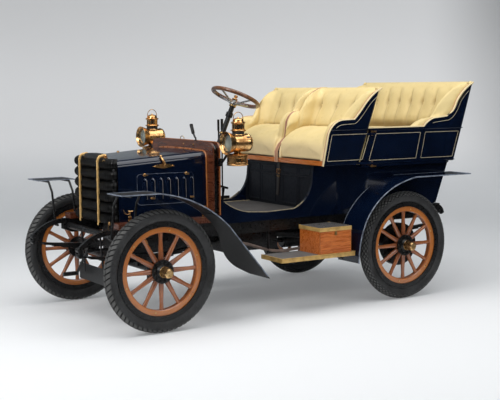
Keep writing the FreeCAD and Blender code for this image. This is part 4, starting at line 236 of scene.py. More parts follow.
def piece(name, parts, slot, body="car", finish=None, crease=35, merge=True):
    """One Blender object of several surfaces, smooth up to the crease angle, riding on a body.

    Its finish is the one of its slot unless another is given.
    """
    points = np.concatenate([part[0] for part in parts])
    starts = np.cumsum([0] + [len(part[0]) for part in parts[:-1]])
    quads = np.concatenate([part[1] + start for part, start in zip(parts, starts)])
    mesh = bpy.data.meshes.new(name)
    mesh.vertices.add(len(points))
    mesh.vertices.foreach_set("co", points.astype(np.float32).ravel())
    mesh.loops.add(quads.size)
    mesh.loops.foreach_set("vertex_index", quads.astype(np.int32).ravel())
    mesh.polygons.add(len(quads))
    mesh.polygons.foreach_set("loop_start", np.arange(0, quads.size, 4, dtype=np.int32))
    mesh.update(calc_edges=True)
    if merge:
        work = bmesh.new()
        work.from_mesh(mesh)
        bmesh.ops.remove_doubles(work, verts=work.verts, dist=2e-6)
        bmesh.ops.dissolve_degenerate(work, edges=work.edges, dist=1e-7)
        bmesh.ops.recalc_face_normals(work, faces=work.faces)
        work.to_mesh(mesh)
        work.free()
    mesh.polygons.foreach_set("use_smooth", np.ones(len(mesh.polygons), bool))
    mesh.set_sharp_from_angle(angle=math.radians(crease))
    mesh.materials.append(finish or FINISHES[slot])
    thing = bpy.data.objects.new(name, mesh)
    bpy.context.scene.collection.objects.link(thing)
    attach(thing, body)
    return thing


def marked(thing, word, values):
    """Give each vertex of a piece a value that its finish reads."""
    mark = thing.data.attributes.new(word, "FLOAT", "POINT")
    mark.data.foreach_set("value", values.ravel().astype(np.float32))


# ------------------------------------------------------------------------------------------
# Finishes
# ------------------------------------------------------------------------------------------
class Finish:
    """A material's node tree, with short calls for the nodes that the finishes share."""

    def __init__(self, name, colour, roughness, **sockets):
        self.material = bpy.data.materials.new(name)
        self.material.use_nodes = True
        self.tree = self.material.node_tree
        self.shader = self.tree.nodes["Principled BSDF"]
        self.place = self.tree.nodes.new("ShaderNodeTexCoord").outputs["Object"]
        self.set("Base Color", (*colour, 1))
        self.set("Roughness", roughness)
        for socket, value in sockets.items():
            self.set(socket.replace("_", " "), value)

    def set(self, socket, value):
        """Set a shader socket to a number, or feed it from another node's output."""
        if isinstance(value, bpy.types.NodeSocket):
            self.tree.links.new(value, self.shader.inputs[socket])
        else:
            self.shader.inputs[socket].default_value = value

    def node(self, kind, inputs=(), **settings):
        """A new node; inputs maps a socket's name or number to a value or another output."""
        made = self.tree.nodes.new("ShaderNode" + kind)
        for name, value in settings.items():
            setattr(made, name, value)
        for socket, value in dict(inputs).items():
            if isinstance(value, bpy.types.NodeSocket):
                self.tree.links.new(value, made.inputs[socket])
            else:
                made.inputs[socket].default_value = value
        return made

    def maths(self, operation, first, second=0.0):
        """One arithmetic step."""
        return self.node("Math", {0: first, 1: second}, operation=operation).outputs[0]

    def axis(self, letter, place=None):
        """One coordinate of the place."""
        return self.node("SeparateXYZ", {0: place or self.place}).outputs[letter]

    def stretched(self, scale, shift=(0, 0, 0), turn=(0, 0, 0)):
        """Object coordinates moved, turned and stretched."""
        return self.node("Mapping", {"Vector": self.place, "Scale": scale, "Location": shift,
                                     "Rotation": turn}).outputs[0]

    def noise(self, scale, place=None, detail=4.0, roughness=0.55, distortion=0.0):
        """Fractal noise from 0 to 1."""
        return self.node("TexNoise", {"Vector": place or self.place, "Scale": scale, "Detail": detail,
                                      "Roughness": roughness, "Distortion": distortion}).outputs[0]

    def levels(self, value, start, stop, low_end=0.0, high_end=1.0):
        """A value's run from start to stop spread smoothly over another range."""
        made = self.node("MapRange", {"Value": value, "From Min": start, "From Max": stop,
                                      "To Min": low_end, "To Max": high_end},
                         interpolation_type="SMOOTHSTEP")
        return made.outputs[0]

    def blend(self, share, first, second, kind="MIX"):
        """Two colours mixed."""
        made = self.node("Mix", data_type="RGBA", blend_type=kind)
        for socket, value in ((0, share), (6, first), (7, second)):
            if isinstance(value, bpy.types.NodeSocket):
                self.tree.links.new(value, made.inputs[socket])
            else:
                made.inputs[socket].default_value = value if socket == 0 else (*value, 1)
        return made.outputs[2]

    def bump(self, height, depth, strength=1.0, under=None):
        """Surface relief of a depth in metres, laid over an earlier relief."""
        inputs = {"Height": height, "Distance": depth, "Strength": strength}
        if under is not None:
            inputs["Normal"] = under
        made = self.node("Bump", inputs)
        self.set("Normal", made.outputs[0])
        return made.outputs[0]


def within(stuff, axis, first, last):
    """One between two places along an axis of the object, zero outside them."""
    place = stuff.axis(axis)
    return stuff.maths("MULTIPLY", stuff.maths("GREATER_THAN", place, first),
                       stuff.maths("LESS_THAN", place, last))


def coach_paint():
    """Deep navy gloss under clear varnish; the front wings and the heel board are greyer and duller."""
    paint = Finish("navy_paint", (0.002, 0.006, 0.020), 0.14, Coat_Roughness=0.03, Specular_IOR_Level=0.3)
    cloud = paint.noise(6)
    paint.tone = paint.blend(paint.levels(cloud, 0.3, 0.7), (0.0012, 0.0040, 0.0135),
                             (0.0021, 0.0062, 0.0200))
    away = paint.maths("ABSOLUTE", paint.axis(1))
    wing = paint.maths("MULTIPLY", paint.maths("GREATER_THAN", away, 0.572), within(paint, 0, 0.30, 1.60))
    heel = paint.maths("MULTIPLY", paint.maths("LESS_THAN", away, 0.445), within(paint, 0, -0.26, -0.20))
    heel = paint.maths("MULTIPLY", heel, paint.maths("LESS_THAN", paint.axis(2), 1.02))
    tone = paint.blend(wing, paint.tone, (0.0135, 0.0135, 0.0140))
    paint.set("Base Color", paint.blend(heel, tone, (0.0060, 0.0080, 0.0130)))
    dull = paint.maths("MAXIMUM", heel, paint.maths("MULTIPLY", wing, 0.8))
    paint.set("Coat Weight", paint.maths("MULTIPLY", paint.maths("SUBTRACT", 1.0, dull), 0.6))
    paint.set("Roughness", paint.maths("ADD", paint.levels(paint.noise(45), 0.35, 0.75, 0.12, 0.24),
                                       paint.maths("MULTIPLY", dull, 0.45)))
    paint.bump(paint.noise(9, detail=1), 0.0010, 0.2)
    return paint.material


def wheel_place(stuff):
    """Distance from the nearer axle, turn about it, and distance from the car's centre line.

    Half way between the axles, where x is 0.125, the nearer one changes.
    """
    split = stuff.node("SeparateXYZ", {0: stuff.place})
    front = stuff.maths("GREATER_THAN", split.outputs[0], 0.125)
    axle = stuff.maths("SUBTRACT", stuff.maths("MULTIPLY", front, FRONT_AXLE - REAR_AXLE), -REAR_AXLE)
    across = stuff.maths("SUBTRACT", split.outputs[0], axle)
    up = stuff.maths("SUBTRACT", split.outputs[2], TYRE_RADIUS)
    far = stuff.node("Math", {0: stuff.maths("ADD", stuff.maths("POWER", across, 2.0),
                                             stuff.maths("POWER", up, 2.0)), 1: 0.5}, operation="POWER")
    turn = stuff.maths("ARCTAN2", up, across)
    out = stuff.maths("ABSOLUTE", split.outputs[1])
    return far.outputs[0], turn, out


def rubber():
    """Grey-black tyre rubber, dusty and worn lighter on its tread, with painted shade darkening its
    grooves, and fine rings moulded in its walls.
    """
    stuff = Finish("tyre_rubber", (0.020, 0.020, 0.021), 0.62, Specular_IOR_Level=0.45)
    far = wheel_place(stuff)[0]
    cloud = stuff.noise(9, detail=6)
    shade = stuff.blend(stuff.levels(cloud, 0.3, 0.72), (0.013, 0.013, 0.0135), (0.030, 0.030, 0.031))
    crown_wear_and_groove_shade = stuff.node("Attribute", attribute_name="crown_wear_and_groove_shade").outputs["Fac"]
    # The tread mark is above zero on the worn crown, which is lightened, and below zero in the grooves.
    shade = stuff.blend(stuff.levels(crown_wear_and_groove_shade, 0.1, 0.9, 0.0, 0.9), shade, (0.088, 0.087, 0.084))
    # Painted shade: the grooves are darkened nearly to black.
    stuff.set("Base Color", stuff.blend(stuff.levels(crown_wear_and_groove_shade, -0.1, -0.6), shade, (0.004, 0.004, 0.004)))
    stuff.set("Roughness", stuff.levels(stuff.noise(60), 0.3, 0.7, 0.50, 0.72))
    rings = stuff.maths("SINE", stuff.maths("MULTIPLY", far, 900.0))
    zone = stuff.maths("MULTIPLY", stuff.levels(far, 0.350, 0.353), stuff.levels(far, 0.3705, 0.3675))
    relief = stuff.bump(stuff.maths("MULTIPLY", rings, zone), 0.0004, 0.6)
    stuff.bump(stuff.noise(420, detail=3), 0.0004, 0.35, relief)
    return stuff.material


def spoke_wood():
    """Varnished ash and hickory: grain along each spoke and round the felloe, darker and redder close to
    the hub.
    """
    stuff = Finish("varnished_spokes", (0.42, 0.15, 0.045), 0.3, Coat_Weight=0.7, Coat_Roughness=0.10)
    far, turn, out = wheel_place(stuff)
    spoke = stuff.node("CombineXYZ", {0: stuff.maths("MULTIPLY", turn, 34.0),
                                      1: stuff.maths("MULTIPLY", far, 9.0),
                                      2: stuff.maths("MULTIPLY", out, 300.0)}).outputs[0]
    felloe = stuff.node("CombineXYZ", {0: stuff.maths("MULTIPLY", turn, 3.5),
                                       1: stuff.maths("MULTIPLY", far, 420.0),
                                       2: stuff.maths("MULTIPLY", out, 300.0)}).outputs[0]
    ring = stuff.levels(far, 0.2560, 0.2562)
    along = stuff.node("Mix", {"Factor": ring}, data_type="VECTOR")
    stuff.tree.links.new(spoke, along.inputs[4])
    stuff.tree.links.new(felloe, along.inputs[5])
    grain = stuff.noise(1.0, along.outputs[1], detail=5, roughness=0.65)
    cloud = stuff.noise(7, detail=3)
    wood = stuff.blend(stuff.levels(grain, 0.32, 0.68), (0.20, 0.058, 0.020), (0.40, 0.130, 0.036))
    rim = stuff.blend(stuff.levels(grain, 0.35, 0.65), (0.34, 0.098, 0.017), (0.56, 0.185, 0.034))
    wood = stuff.blend(ring, wood, rim)
    # The spokes darken and redden close to the hub.
    darker_near_hub = stuff.levels(far, 0.165, 0.075, 0.0, 0.62)
    wood = stuff.blend(darker_near_hub, wood, (0.135, 0.040, 0.020))
    pores = stuff.levels(stuff.noise(3.0, along.outputs[1], detail=2), 0.66, 0.78, 0.0, 0.5)
    wood = stuff.blend(pores, wood, (0.09, 0.028, 0.010))
    stuff.set("Base Color", stuff.blend(stuff.levels(cloud, 0.35, 0.8, 0.0, 0.25), wood,
                                        (0.30, 0.10, 0.04)))
    stuff.set("Roughness", stuff.levels(grain, 0.3, 0.7, 0.34, 0.22))
    stuff.bump(grain, 0.0005, 0.35)
    return stuff.material


def iron():
    """Black stove enamel with orange-peel; the six-sided hub caps are brass."""
    stuff = Finish("black_iron", (0.010, 0.010, 0.011), 0.32, Specular_IOR_Level=0.35)
    far, out = wheel_place(stuff)[::2]
    cloud = stuff.noise(25, detail=4)
    coat = stuff.blend(stuff.levels(cloud, 0.35, 0.75), (0.004, 0.004, 0.0045), (0.012, 0.0117, 0.0115))
    cap = stuff.maths("MULTIPLY", stuff.maths("LESS_THAN", far, 0.0365),
                      stuff.maths("GREATER_THAN", out, HUB_CAP))
    brass_tone = stuff.blend(stuff.levels(stuff.noise(60), 0.3, 0.7), (0.52, 0.30, 0.12),
                             (0.80, 0.55, 0.26))
    stuff.set("Base Color", stuff.blend(cap, coat, brass_tone))
    stuff.set("Metallic", cap)
    stuff.set("Roughness", stuff.levels(stuff.noise(70), 0.3, 0.7, 0.24, 0.42))
    stuff.bump(stuff.noise(160, detail=2), 0.0003, 0.3)
    return stuff.material


def polished_brass(name="brass", light=(0.82, 0.50, 0.21), dark=(0.44, 0.21, 0.075), rough=(0.20, 0.42)):
    """Brass rubbed bright, browner and duller in clouds, with fine polishing scratches."""
    stuff = Finish(name, light, 0.2, Metallic=1.0)
    cloud = stuff.noise(14, detail=6, roughness=0.62)
    spots = stuff.noise(85, detail=3)
    tone = stuff.blend(stuff.levels(cloud, 0.38, 0.72), light, dark)
    tone = stuff.blend(stuff.levels(spots, 0.62, 0.74, 0.0, 0.45), tone, (0.30, 0.17, 0.07))
    stuff.set("Base Color", tone)
    stuff.tone = tone
    stuff.set("Roughness", stuff.levels(cloud, 0.35, 0.75, *rough))
    fine = stuff.noise(1.0, stuff.stretched((900, 900, 60)), detail=2)
    stuff.bump(fine, 0.00012, 0.35, stuff.bump(stuff.noise(28, detail=2), 0.0006, 0.18))
    return stuff


def timber(name, dark, light, stretch, coat=0.5):
    """Varnished timber: growth rings drawn out along the grain, with pores between them."""
    stuff = Finish(name, light, 0.3, Coat_Weight=coat, Coat_Roughness=0.12)
    place = stuff.stretched(stretch)
    rings = stuff.noise(1.0, place, detail=5, roughness=0.6, distortion=1.2)
    pores = stuff.noise(4.0, place, detail=2)
    tone = stuff.blend(stuff.levels(rings, 0.3, 0.7), dark, light)
    tone = stuff.blend(stuff.levels(pores, 0.58, 0.74, 0.0, 0.55), tone,
                       tuple(0.35 * part for part in dark))
    tone = stuff.blend(stuff.levels(stuff.noise(5), 0.4, 0.8, 0.0, 0.35), tone, dark)
    stuff.set("Base Color", tone)
    stuff.set("Roughness", stuff.levels(rings, 0.3, 0.7, 0.24, 0.36))
    stuff.bump(rings, 0.0004, 0.35)
    stuff.tone = tone
    return stuff


def dash_wood():
    """Mahogany; the core between the dash's two boards is black."""
    stuff = timber("mahogany", (0.060, 0.015, 0.007), (0.150, 0.042, 0.016), (60, 5, 60))
    core = within(stuff, 0, low("dash")[0] + 0.0145, high("dash")[0] - 0.0145)
    stuff.set("Base Color", stuff.blend(core, stuff.tone, (0.004, 0.004, 0.004)))
    return stuff.material


def box_wood():
    """Orange-stained wood; the lid of the tool box is covered with grey ribbed rubber."""
    stuff = timber("box_wood", (0.36, 0.080, 0.014), (0.60, 0.165, 0.026), (7, 70, 70), coat=0.30)
    top = stuff.maths("MULTIPLY", within(stuff, 2, high("tool_box_lid")[2] - 0.0015, 0.62),
                      within(stuff, 0, low("tool_box_lid")[0] - 0.01, high("tool_box_lid")[0] + 0.01))
    stuff.set("Base Color", stuff.blend(top, stuff.tone, (0.105, 0.100, 0.098)))
    return stuff.material


def leather(name="cream_leather", light=(0.735, 0.572, 0.262), dark=(0.520, 0.360, 0.130)):
    """Soft hide: pebbled grain, browned in its folds by painted shade; the cream one has painted light low
    on the cushions' fronts.
    """
    stuff = Finish(name, light, 0.5, Sheen_Weight=0.12, Sheen_Roughness=0.4, Specular_IOR_Level=0.4)
    cloud = stuff.noise(5, detail=5)
    tone = stuff.blend(stuff.levels(cloud, 0.38, 0.78, 0.0, 0.55), light,
                       tuple(0.84 * part for part in light))
    tone = stuff.blend(stuff.levels(stuff.noise(38, detail=5), 0.56, 0.80, 0.0, 0.35), tone, dark)
    # Painted light: the cream leather is lightened and warmed low on the front seats, near the cushions'
    # fronts.
    cushion_front_light = stuff.maths("MULTIPLY", stuff.levels(stuff.axis(2), 1.235, 1.12),
                         within(stuff, 0, -0.33, -0.19))
    if name == "cream_leather":
        tone = stuff.blend(stuff.maths("MULTIPLY", cushion_front_light, 0.6), tone, (0.90, 0.70, 0.40))
    # Painted shade: the fold mark browns the button dimples, the channels and the leather under the crease.
    fold_shade = stuff.node("Attribute", attribute_name="fold_shade").outputs["Fac"]
    stuff.set("Base Color", stuff.blend(fold_shade, tone, (0.27, 0.165, 0.045)))
    cells = stuff.node("TexVoronoi", {"Vector": stuff.place, "Scale": 620.0}, feature="DISTANCE_TO_EDGE")
    stuff.set("Roughness", stuff.levels(cloud, 0.3, 0.7, 0.42, 0.56))
    relief = stuff.bump(stuff.noise(16, detail=4, distortion=0.8), 0.0030, 0.35)
    stuff.bump(cells.outputs[0], 0.0004, 0.35, relief)
    return stuff


def gills():
    """Black japanned gills, dusty in clouds."""
    stuff = Finish("gilled_black", (0.010, 0.010, 0.011), 0.36)
    dust = stuff.levels(stuff.noise(18, detail=5), 0.4, 0.75)
    stuff.set("Base Color", stuff.blend(dust, (0.006, 0.006, 0.0065), (0.022, 0.021, 0.020)))
    stuff.set("Roughness", stuff.levels(stuff.noise(60), 0.3, 0.7, 0.28, 0.5))
    return stuff.material


def ribbed_rubber(name, pitch, light, dark):
    """Grey mat with close moulded ribs along the car, clouded, with painted shade in the troughs between
    the ribs.
    """
    stuff = Finish(name, light, 0.75)
    ribs = stuff.maths("SINE", stuff.maths("MULTIPLY", stuff.axis(1), TAU / pitch))
    cloud = stuff.noise(11, detail=6)
    tone = stuff.blend(stuff.levels(cloud, 0.3, 0.7), dark, light)
    # Painted shade: the troughs between the ribs are darkened.
    tone = stuff.blend(stuff.levels(ribs, -0.9, 0.1, 0.5, 0.0), tone, tuple(0.45 * part for part in dark))
    stuff.set("Base Color", tone)
    stuff.set("Roughness", stuff.levels(cloud, 0.3, 0.7, 0.65, 0.85))
    stuff.bump(ribs, 0.0010, 0.7, stuff.bump(stuff.noise(350, detail=2), 0.0003, 0.3))
    return stuff.material


def lamp_pane():
    """Thick glass in front of a dull reflector: grey-green, darker in broad clouds."""
    stuff = Finish("lamp_glass", (0.22, 0.24, 0.20), 0.04, Specular_IOR_Level=0.8, Coat_Weight=1.0,
                   Coat_Roughness=0.02)
    tone = stuff.blend(stuff.levels(stuff.noise(9, detail=1), 0.35, 0.65), (0.30, 0.31, 0.24),
                       (0.10, 0.11, 0.10))
    stuff.set("Base Color", tone)
    return stuff.material


def metal(name, light, dark, rough, metallic=1.0):
    """Bare or plated metal with clouds of tarnish."""
    stuff = Finish(name, light, rough, Metallic=metallic)
    cloud = stuff.noise(20, detail=5)
    stuff.set("Base Color", stuff.blend(stuff.levels(cloud, 0.35, 0.72), light, dark))
    stuff.set("Roughness", stuff.levels(stuff.noise(55), 0.3, 0.7, 0.75 * rough, 1.35 * rough))
    stuff.bump(stuff.noise(200, detail=2), 0.0002, 0.3)
    return stuff


def line_paint(name, light, dark, rough=0.4):
    """Thin hand-drawn lining colour, a little uneven."""
    stuff = Finish(name, light, rough)
    stuff.set("Base Color", stuff.blend(stuff.levels(stuff.noise(40, detail=4), 0.35, 0.7), light, dark))
    return stuff.material


FINISHES = {"navy_paint": coach_paint(), "tyre_rubber": rubber(), "varnished_spokes": spoke_wood(),
            "black_iron": iron(), "gilled_black": gills(), "brass": polished_brass().material,
            "mahogany": dash_wood(), "floor_mat": ribbed_rubber("floor_mat", 0.012, (0.075, 0.071, 0.068),
                                                                (0.045, 0.042, 0.041)),
            "cream_leather": leather().material, "step_top": ribbed_rubber("step_top", 0.009,
                                                                           (0.155, 0.148, 0.140),
                                                                           (0.095, 0.090, 0.088)),
            "box_wood": box_wood(), "lamp_glass": lamp_pane(),
            "rim_wood": timber("rim_wood", (0.085, 0.030, 0.012), (0.215, 0.085, 0.032), (30, 30, 40),
                               coat=0.6).material, "grey_steel": metal("grey_steel", (0.66, 0.66, 0.64),
                                                                       (0.38, 0.38, 0.37), 0.30).material,
            "plate_black": line_paint("plate_black", (0.004, 0.004, 0.005), (0.009, 0.009, 0.010), 0.5), }
CREAM_LINE = line_paint("cream_line", (0.62, 0.52, 0.33), (0.38, 0.31, 0.19))
# Pale grey-blue for painted highlights along edges.
PAINTED_EDGE_HIGHLIGHT = line_paint("painted_edge_highlight", (0.20, 0.23, 0.28), (0.05, 0.06, 0.09), 0.3)
# Near-black for real dark joints and seals, and for painted shade in openings.
DARK_JOINTS_AND_OPENING_SHADE = line_paint("dark_joints_and_opening_shade", (0.010, 0.010, 0.010), (0.022, 0.020, 0.018), 0.6)
EDGE_WOOD = timber("edge_wood", (0.26, 0.075, 0.016), (0.46, 0.155, 0.035), (30, 30, 6)).material
OLD_BRASS = polished_brass("old_brass", (0.62, 0.40, 0.16), (0.34, 0.20, 0.08), (0.25, 0.5)).material
BAND_BRASS = metal("band_brass", (0.80, 0.52, 0.20), (0.58, 0.35, 0.12), 0.5, 0.35).material
RUSTY_IRON = metal("rusty_iron", (0.22, 0.16, 0.13), (0.11, 0.08, 0.07), 0.55, 0.3).material
STRAP = leather("black_strap", (0.022, 0.017, 0.015), (0.012, 0.010, 0.009)).material
DULL_BLACK = line_paint("dull_black", (0.0125, 0.0125, 0.0130), (0.0190, 0.0190, 0.0195), 0.5)
PINK_PIPE = leather("rose_piping", (0.48, 0.235, 0.150), (0.30, 0.130, 0.085)).material
PALE_PIPE = leather("cream_piping", (0.74, 0.60, 0.34), (0.52, 0.38, 0.18)).material
ROSE_BAND = leather("rose_band", (0.56, 0.33, 0.20), (0.40, 0.22, 0.13)).material
EDGING = metal("tan_brass_edging", (0.66, 0.42, 0.14), (0.42, 0.25, 0.075), 0.42, 0.35).material
RAIL_WOOD = timber("rail_wood", (0.38, 0.105, 0.020), (0.56, 0.170, 0.030), (60, 5, 60)).material
# Pale metals for the painted highlights on the louvres' lips and tops.
PAINTED_LIP_HIGHLIGHT = metal("painted_lip_highlight", (0.34, 0.31, 0.27), (0.16, 0.14, 0.13), 0.4, 0.3).material
PAINTED_TIP_HIGHLIGHT = metal("painted_tip_highlight", (0.78, 0.82, 0.90), (0.45, 0.48, 0.55), 0.3, 0.2).material
BEIGE = line_paint("beige_strip", (0.34, 0.28, 0.17), (0.20, 0.16, 0.10), 0.6)
for row in frame["record"]["subparts"]:
    NODES[row["node"]].data.materials.clear()
    NODES[row["node"]].data.materials.append(FINISHES[row["material_slot"]])


# ------------------------------------------------------------------------------------------
# Wheels
# ------------------------------------------------------------------------------------------
def tyre(corner, diamonds):
    """A beaded-edge tyre: its section turned about the axle, with grooves sunk in the tread.

    The section is a half circle outside the belly and two parabolas down to the rim. A groove
    is sunk where the turn, in pitches, plus a slant that grows with the distance from the crown,
    falls in one quarter of a pitch; a diamond tread has a second, opposite slant, and the other
    tread has three rings.
    """
    half, pitches, steps = 0.045, (62 if diamonds else 66), 8
    depth, reach, fade, rub = (0.0060, 0.0572, 0.002, 0.004) if diamonds else (0.0055, 0.0540, 0.004, 0.016)
    seat, shoulder, base = 0.027, 0.325, 0.316
    lead, slow_lead = 0.028, 0.060
    belly = TYRE_RADIUS - half
    tread = np.arange(-33, 34) * (lead / (2 * steps))
    around = np.concatenate([np.linspace(-math.pi / 2 * half, tread[0], 10)[:-1], tread,
                             np.linspace(tread[-1], math.pi / 2 * half, 10)[1:]])
    angle = around / half
    share = np.linspace(0, 1, 8)[:-1, None]
    foot, belly_edge = np.array([[shoulder, -seat]]), np.array([[belly, -half]])
    bulge = 2 * np.array([[belly - half * 0.52, -half * 0.86]]) - (foot + belly_edge) / 2
    inner = foot * (1 - share) ** 2 + 2 * bulge * share * (1 - share) + belly_edge * share ** 2
    section = np.concatenate([[[base, -seat]], inner,
                              np.stack([belly + half * np.cos(angle), half * np.sin(angle)], 1),
                              (inner * (1, -1))[::-1], [[base, seat]]])
    place = np.concatenate([np.full(8, -1.0), around, np.full(8, 1.0)])
    tick = np.arange(pitches * steps)[:, None] / steps
    across = np.clip(place[None], around[0], around[-1])
    slant = across / lead if diamonds else np.abs(across) / slow_lead
    turn = (tick + slant) / pitches * TAU
    from_crown = np.abs(place[None])
    outside = from_crown < 0.9
    groove = np.isclose(tick * steps % steps, 1) | np.isclose(tick * steps % steps, 2)
    if diamonds:
        other = np.round((tick + 2 * slant) * steps).astype(int) % steps
        groove = groove | (other == 1) | (other == 2)
    else:
        groove = groove | (np.abs(from_crown - 0.0150) < 0.0016) | (from_crown < 0.0010)
    sunk = depth * groove * np.clip((reach - from_crown) / fade, 0, 1) * outside
    sunk = sunk - 0.0018 * (np.abs(from_crown - 0.0605) < 0.0012) * 0.4
    normal = np.stack([np.cos(angle), np.sin(angle)], 1)
    normal = np.concatenate([np.zeros((8, 2)), normal, np.zeros((8, 2))])
    radius = section[:, 0] - sunk * normal[:, 0]
    side = section[:, 1] - sunk * normal[:, 1]
    centre = middle(corner + "_tyre")
    grid = centre + np.stack([radius * np.cos(turn), side, radius * np.sin(turn)], 2)
    thing = piece(corner + "_treaded_tyre", [surface(grid, True)], "tyre_rubber", corner + "_wheel",
                  crease=40, merge=False)
    # Marked for the finish: the crown is lightened as wear, and the grooves go below zero for painted
    # shade.
    crown = np.clip((reach + 0.001 - from_crown) / rub, 0, 1) * outside
    marked(thing, "crown_wear_and_groove_shade", np.clip(crown * (1 - groove * 1.6), -1, 1))
    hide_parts(corner + "_tyre")


def hexagon(across, height):
    """A six-sided nut standing on its middle, its top edge chamfered."""
    flat = circle(across / 2, 6)
    rings = [(1.0, 0.0), (1.0, 0.8), (0.86, 1.0)]
    grid = np.stack([np.column_stack([flat * scale, np.full(6, height * rise)]) for scale, rise in rings])
    return surface(capped(grid))


def dome(radius, height, sides):
    """A round head: half an ellipse turned about its middle."""
    rise = np.linspace(0, math.pi / 2, 5)
    profile = np.stack([radius * np.cos(rise), height * np.sin(rise)], 1)
    profile[-1, 0] = 0
    return turned(np.concatenate([[[0, -0.0005]], profile]), (0, 0, 0), Z, sides)


def facing(direction):
    """The turn that takes +Z to a direction."""
    direction = unit(np.asarray(direction, float))
    side = unit(np.cross(Y if abs(direction[1]) < 0.9 else X, direction))
    return np.stack([side, np.cross(direction, side), direction], 1)


def wheel_trim(corner):
    """Flange nuts, hub collar, felloe bolts, valve and felloe seams of one wheel, on its outer face."""
    out = 1 if corner.endswith("left") else -1
    centre = middle(corner + "_tyre")
    face = centre + out * 0.0305 * Y
    turn = (np.arange(12) + 0.5) / 12 * TAU
    spread = np.stack([np.cos(turn), np.zeros(12), np.sin(turn)], 1)
    stand = facing(out * Y)
    nuts = placed(hexagon(0.016, 0.008), face + 0.063 * spread, stand)
    studs = placed(dome(0.0042, 0.0045, 8), face + 0.063 * spread + out * 0.0078 * Y, stand)
    collar = turned([(0.036, 0), (0.050, 0), (0.050, 0.004), (0.045, 0.010), (0.036, 0.022),
                     (0.034, 0.022)], face, out * Y, 36)
    piece(corner + "_flange_nuts", [nuts, studs, collar], "black_iron", corner + "_wheel")
    eighth = (np.arange(6) + 0.5) / 6 * TAU + 0.2
    rim = np.stack([np.cos(eighth), np.zeros(6), np.sin(eighth)], 1)
    bolts = placed(dome(0.0065, 0.003, 10), centre + 0.272 * rim + out * 0.0228 * Y, stand)
    valve_way = np.array([math.cos(1.1), 0, math.sin(1.1)])
    valve = rod(centre + np.stack([0.2535 * valve_way, 0.236 * valve_way, 0.2355 * valve_way,
                                   0.212 * valve_way]), 0.005, 10, Y, scale=[1, 1, 1.5, 1.5])
    piece(corner + "_felloe_bolts", [bolts, valve], "brass", corner + "_wheel", finish=OLD_BRASS)
    joint = np.array([0.62, 0.62 + math.pi])
    seams = [carried(centre + np.stack([radius * np.array([math.cos(a), 0, math.sin(a)]) + out * 0.0229 * Y
                                        for radius in (0.254, 0.290)]), circle(0.0007, 4), Y)
             for a in joint]
    piece(corner + "_felloe_joints", seams, "black_iron", corner + "_wheel", finish=DARK_JOINTS_AND_OPENING_SHADE)


for corner in CORNERS:
    tyre(corner, corner.startswith("rear"))
    wheel_trim(corner)


# ------------------------------------------------------------------------------------------
# Radiator and bonnet
# ------------------------------------------------------------------------------------------
ROW_STEP, ROW_FOOT, ROW_X = 0.074, low("radiator_tubes")[2] + 0.036, 1.309
BAND_Y = 0.147


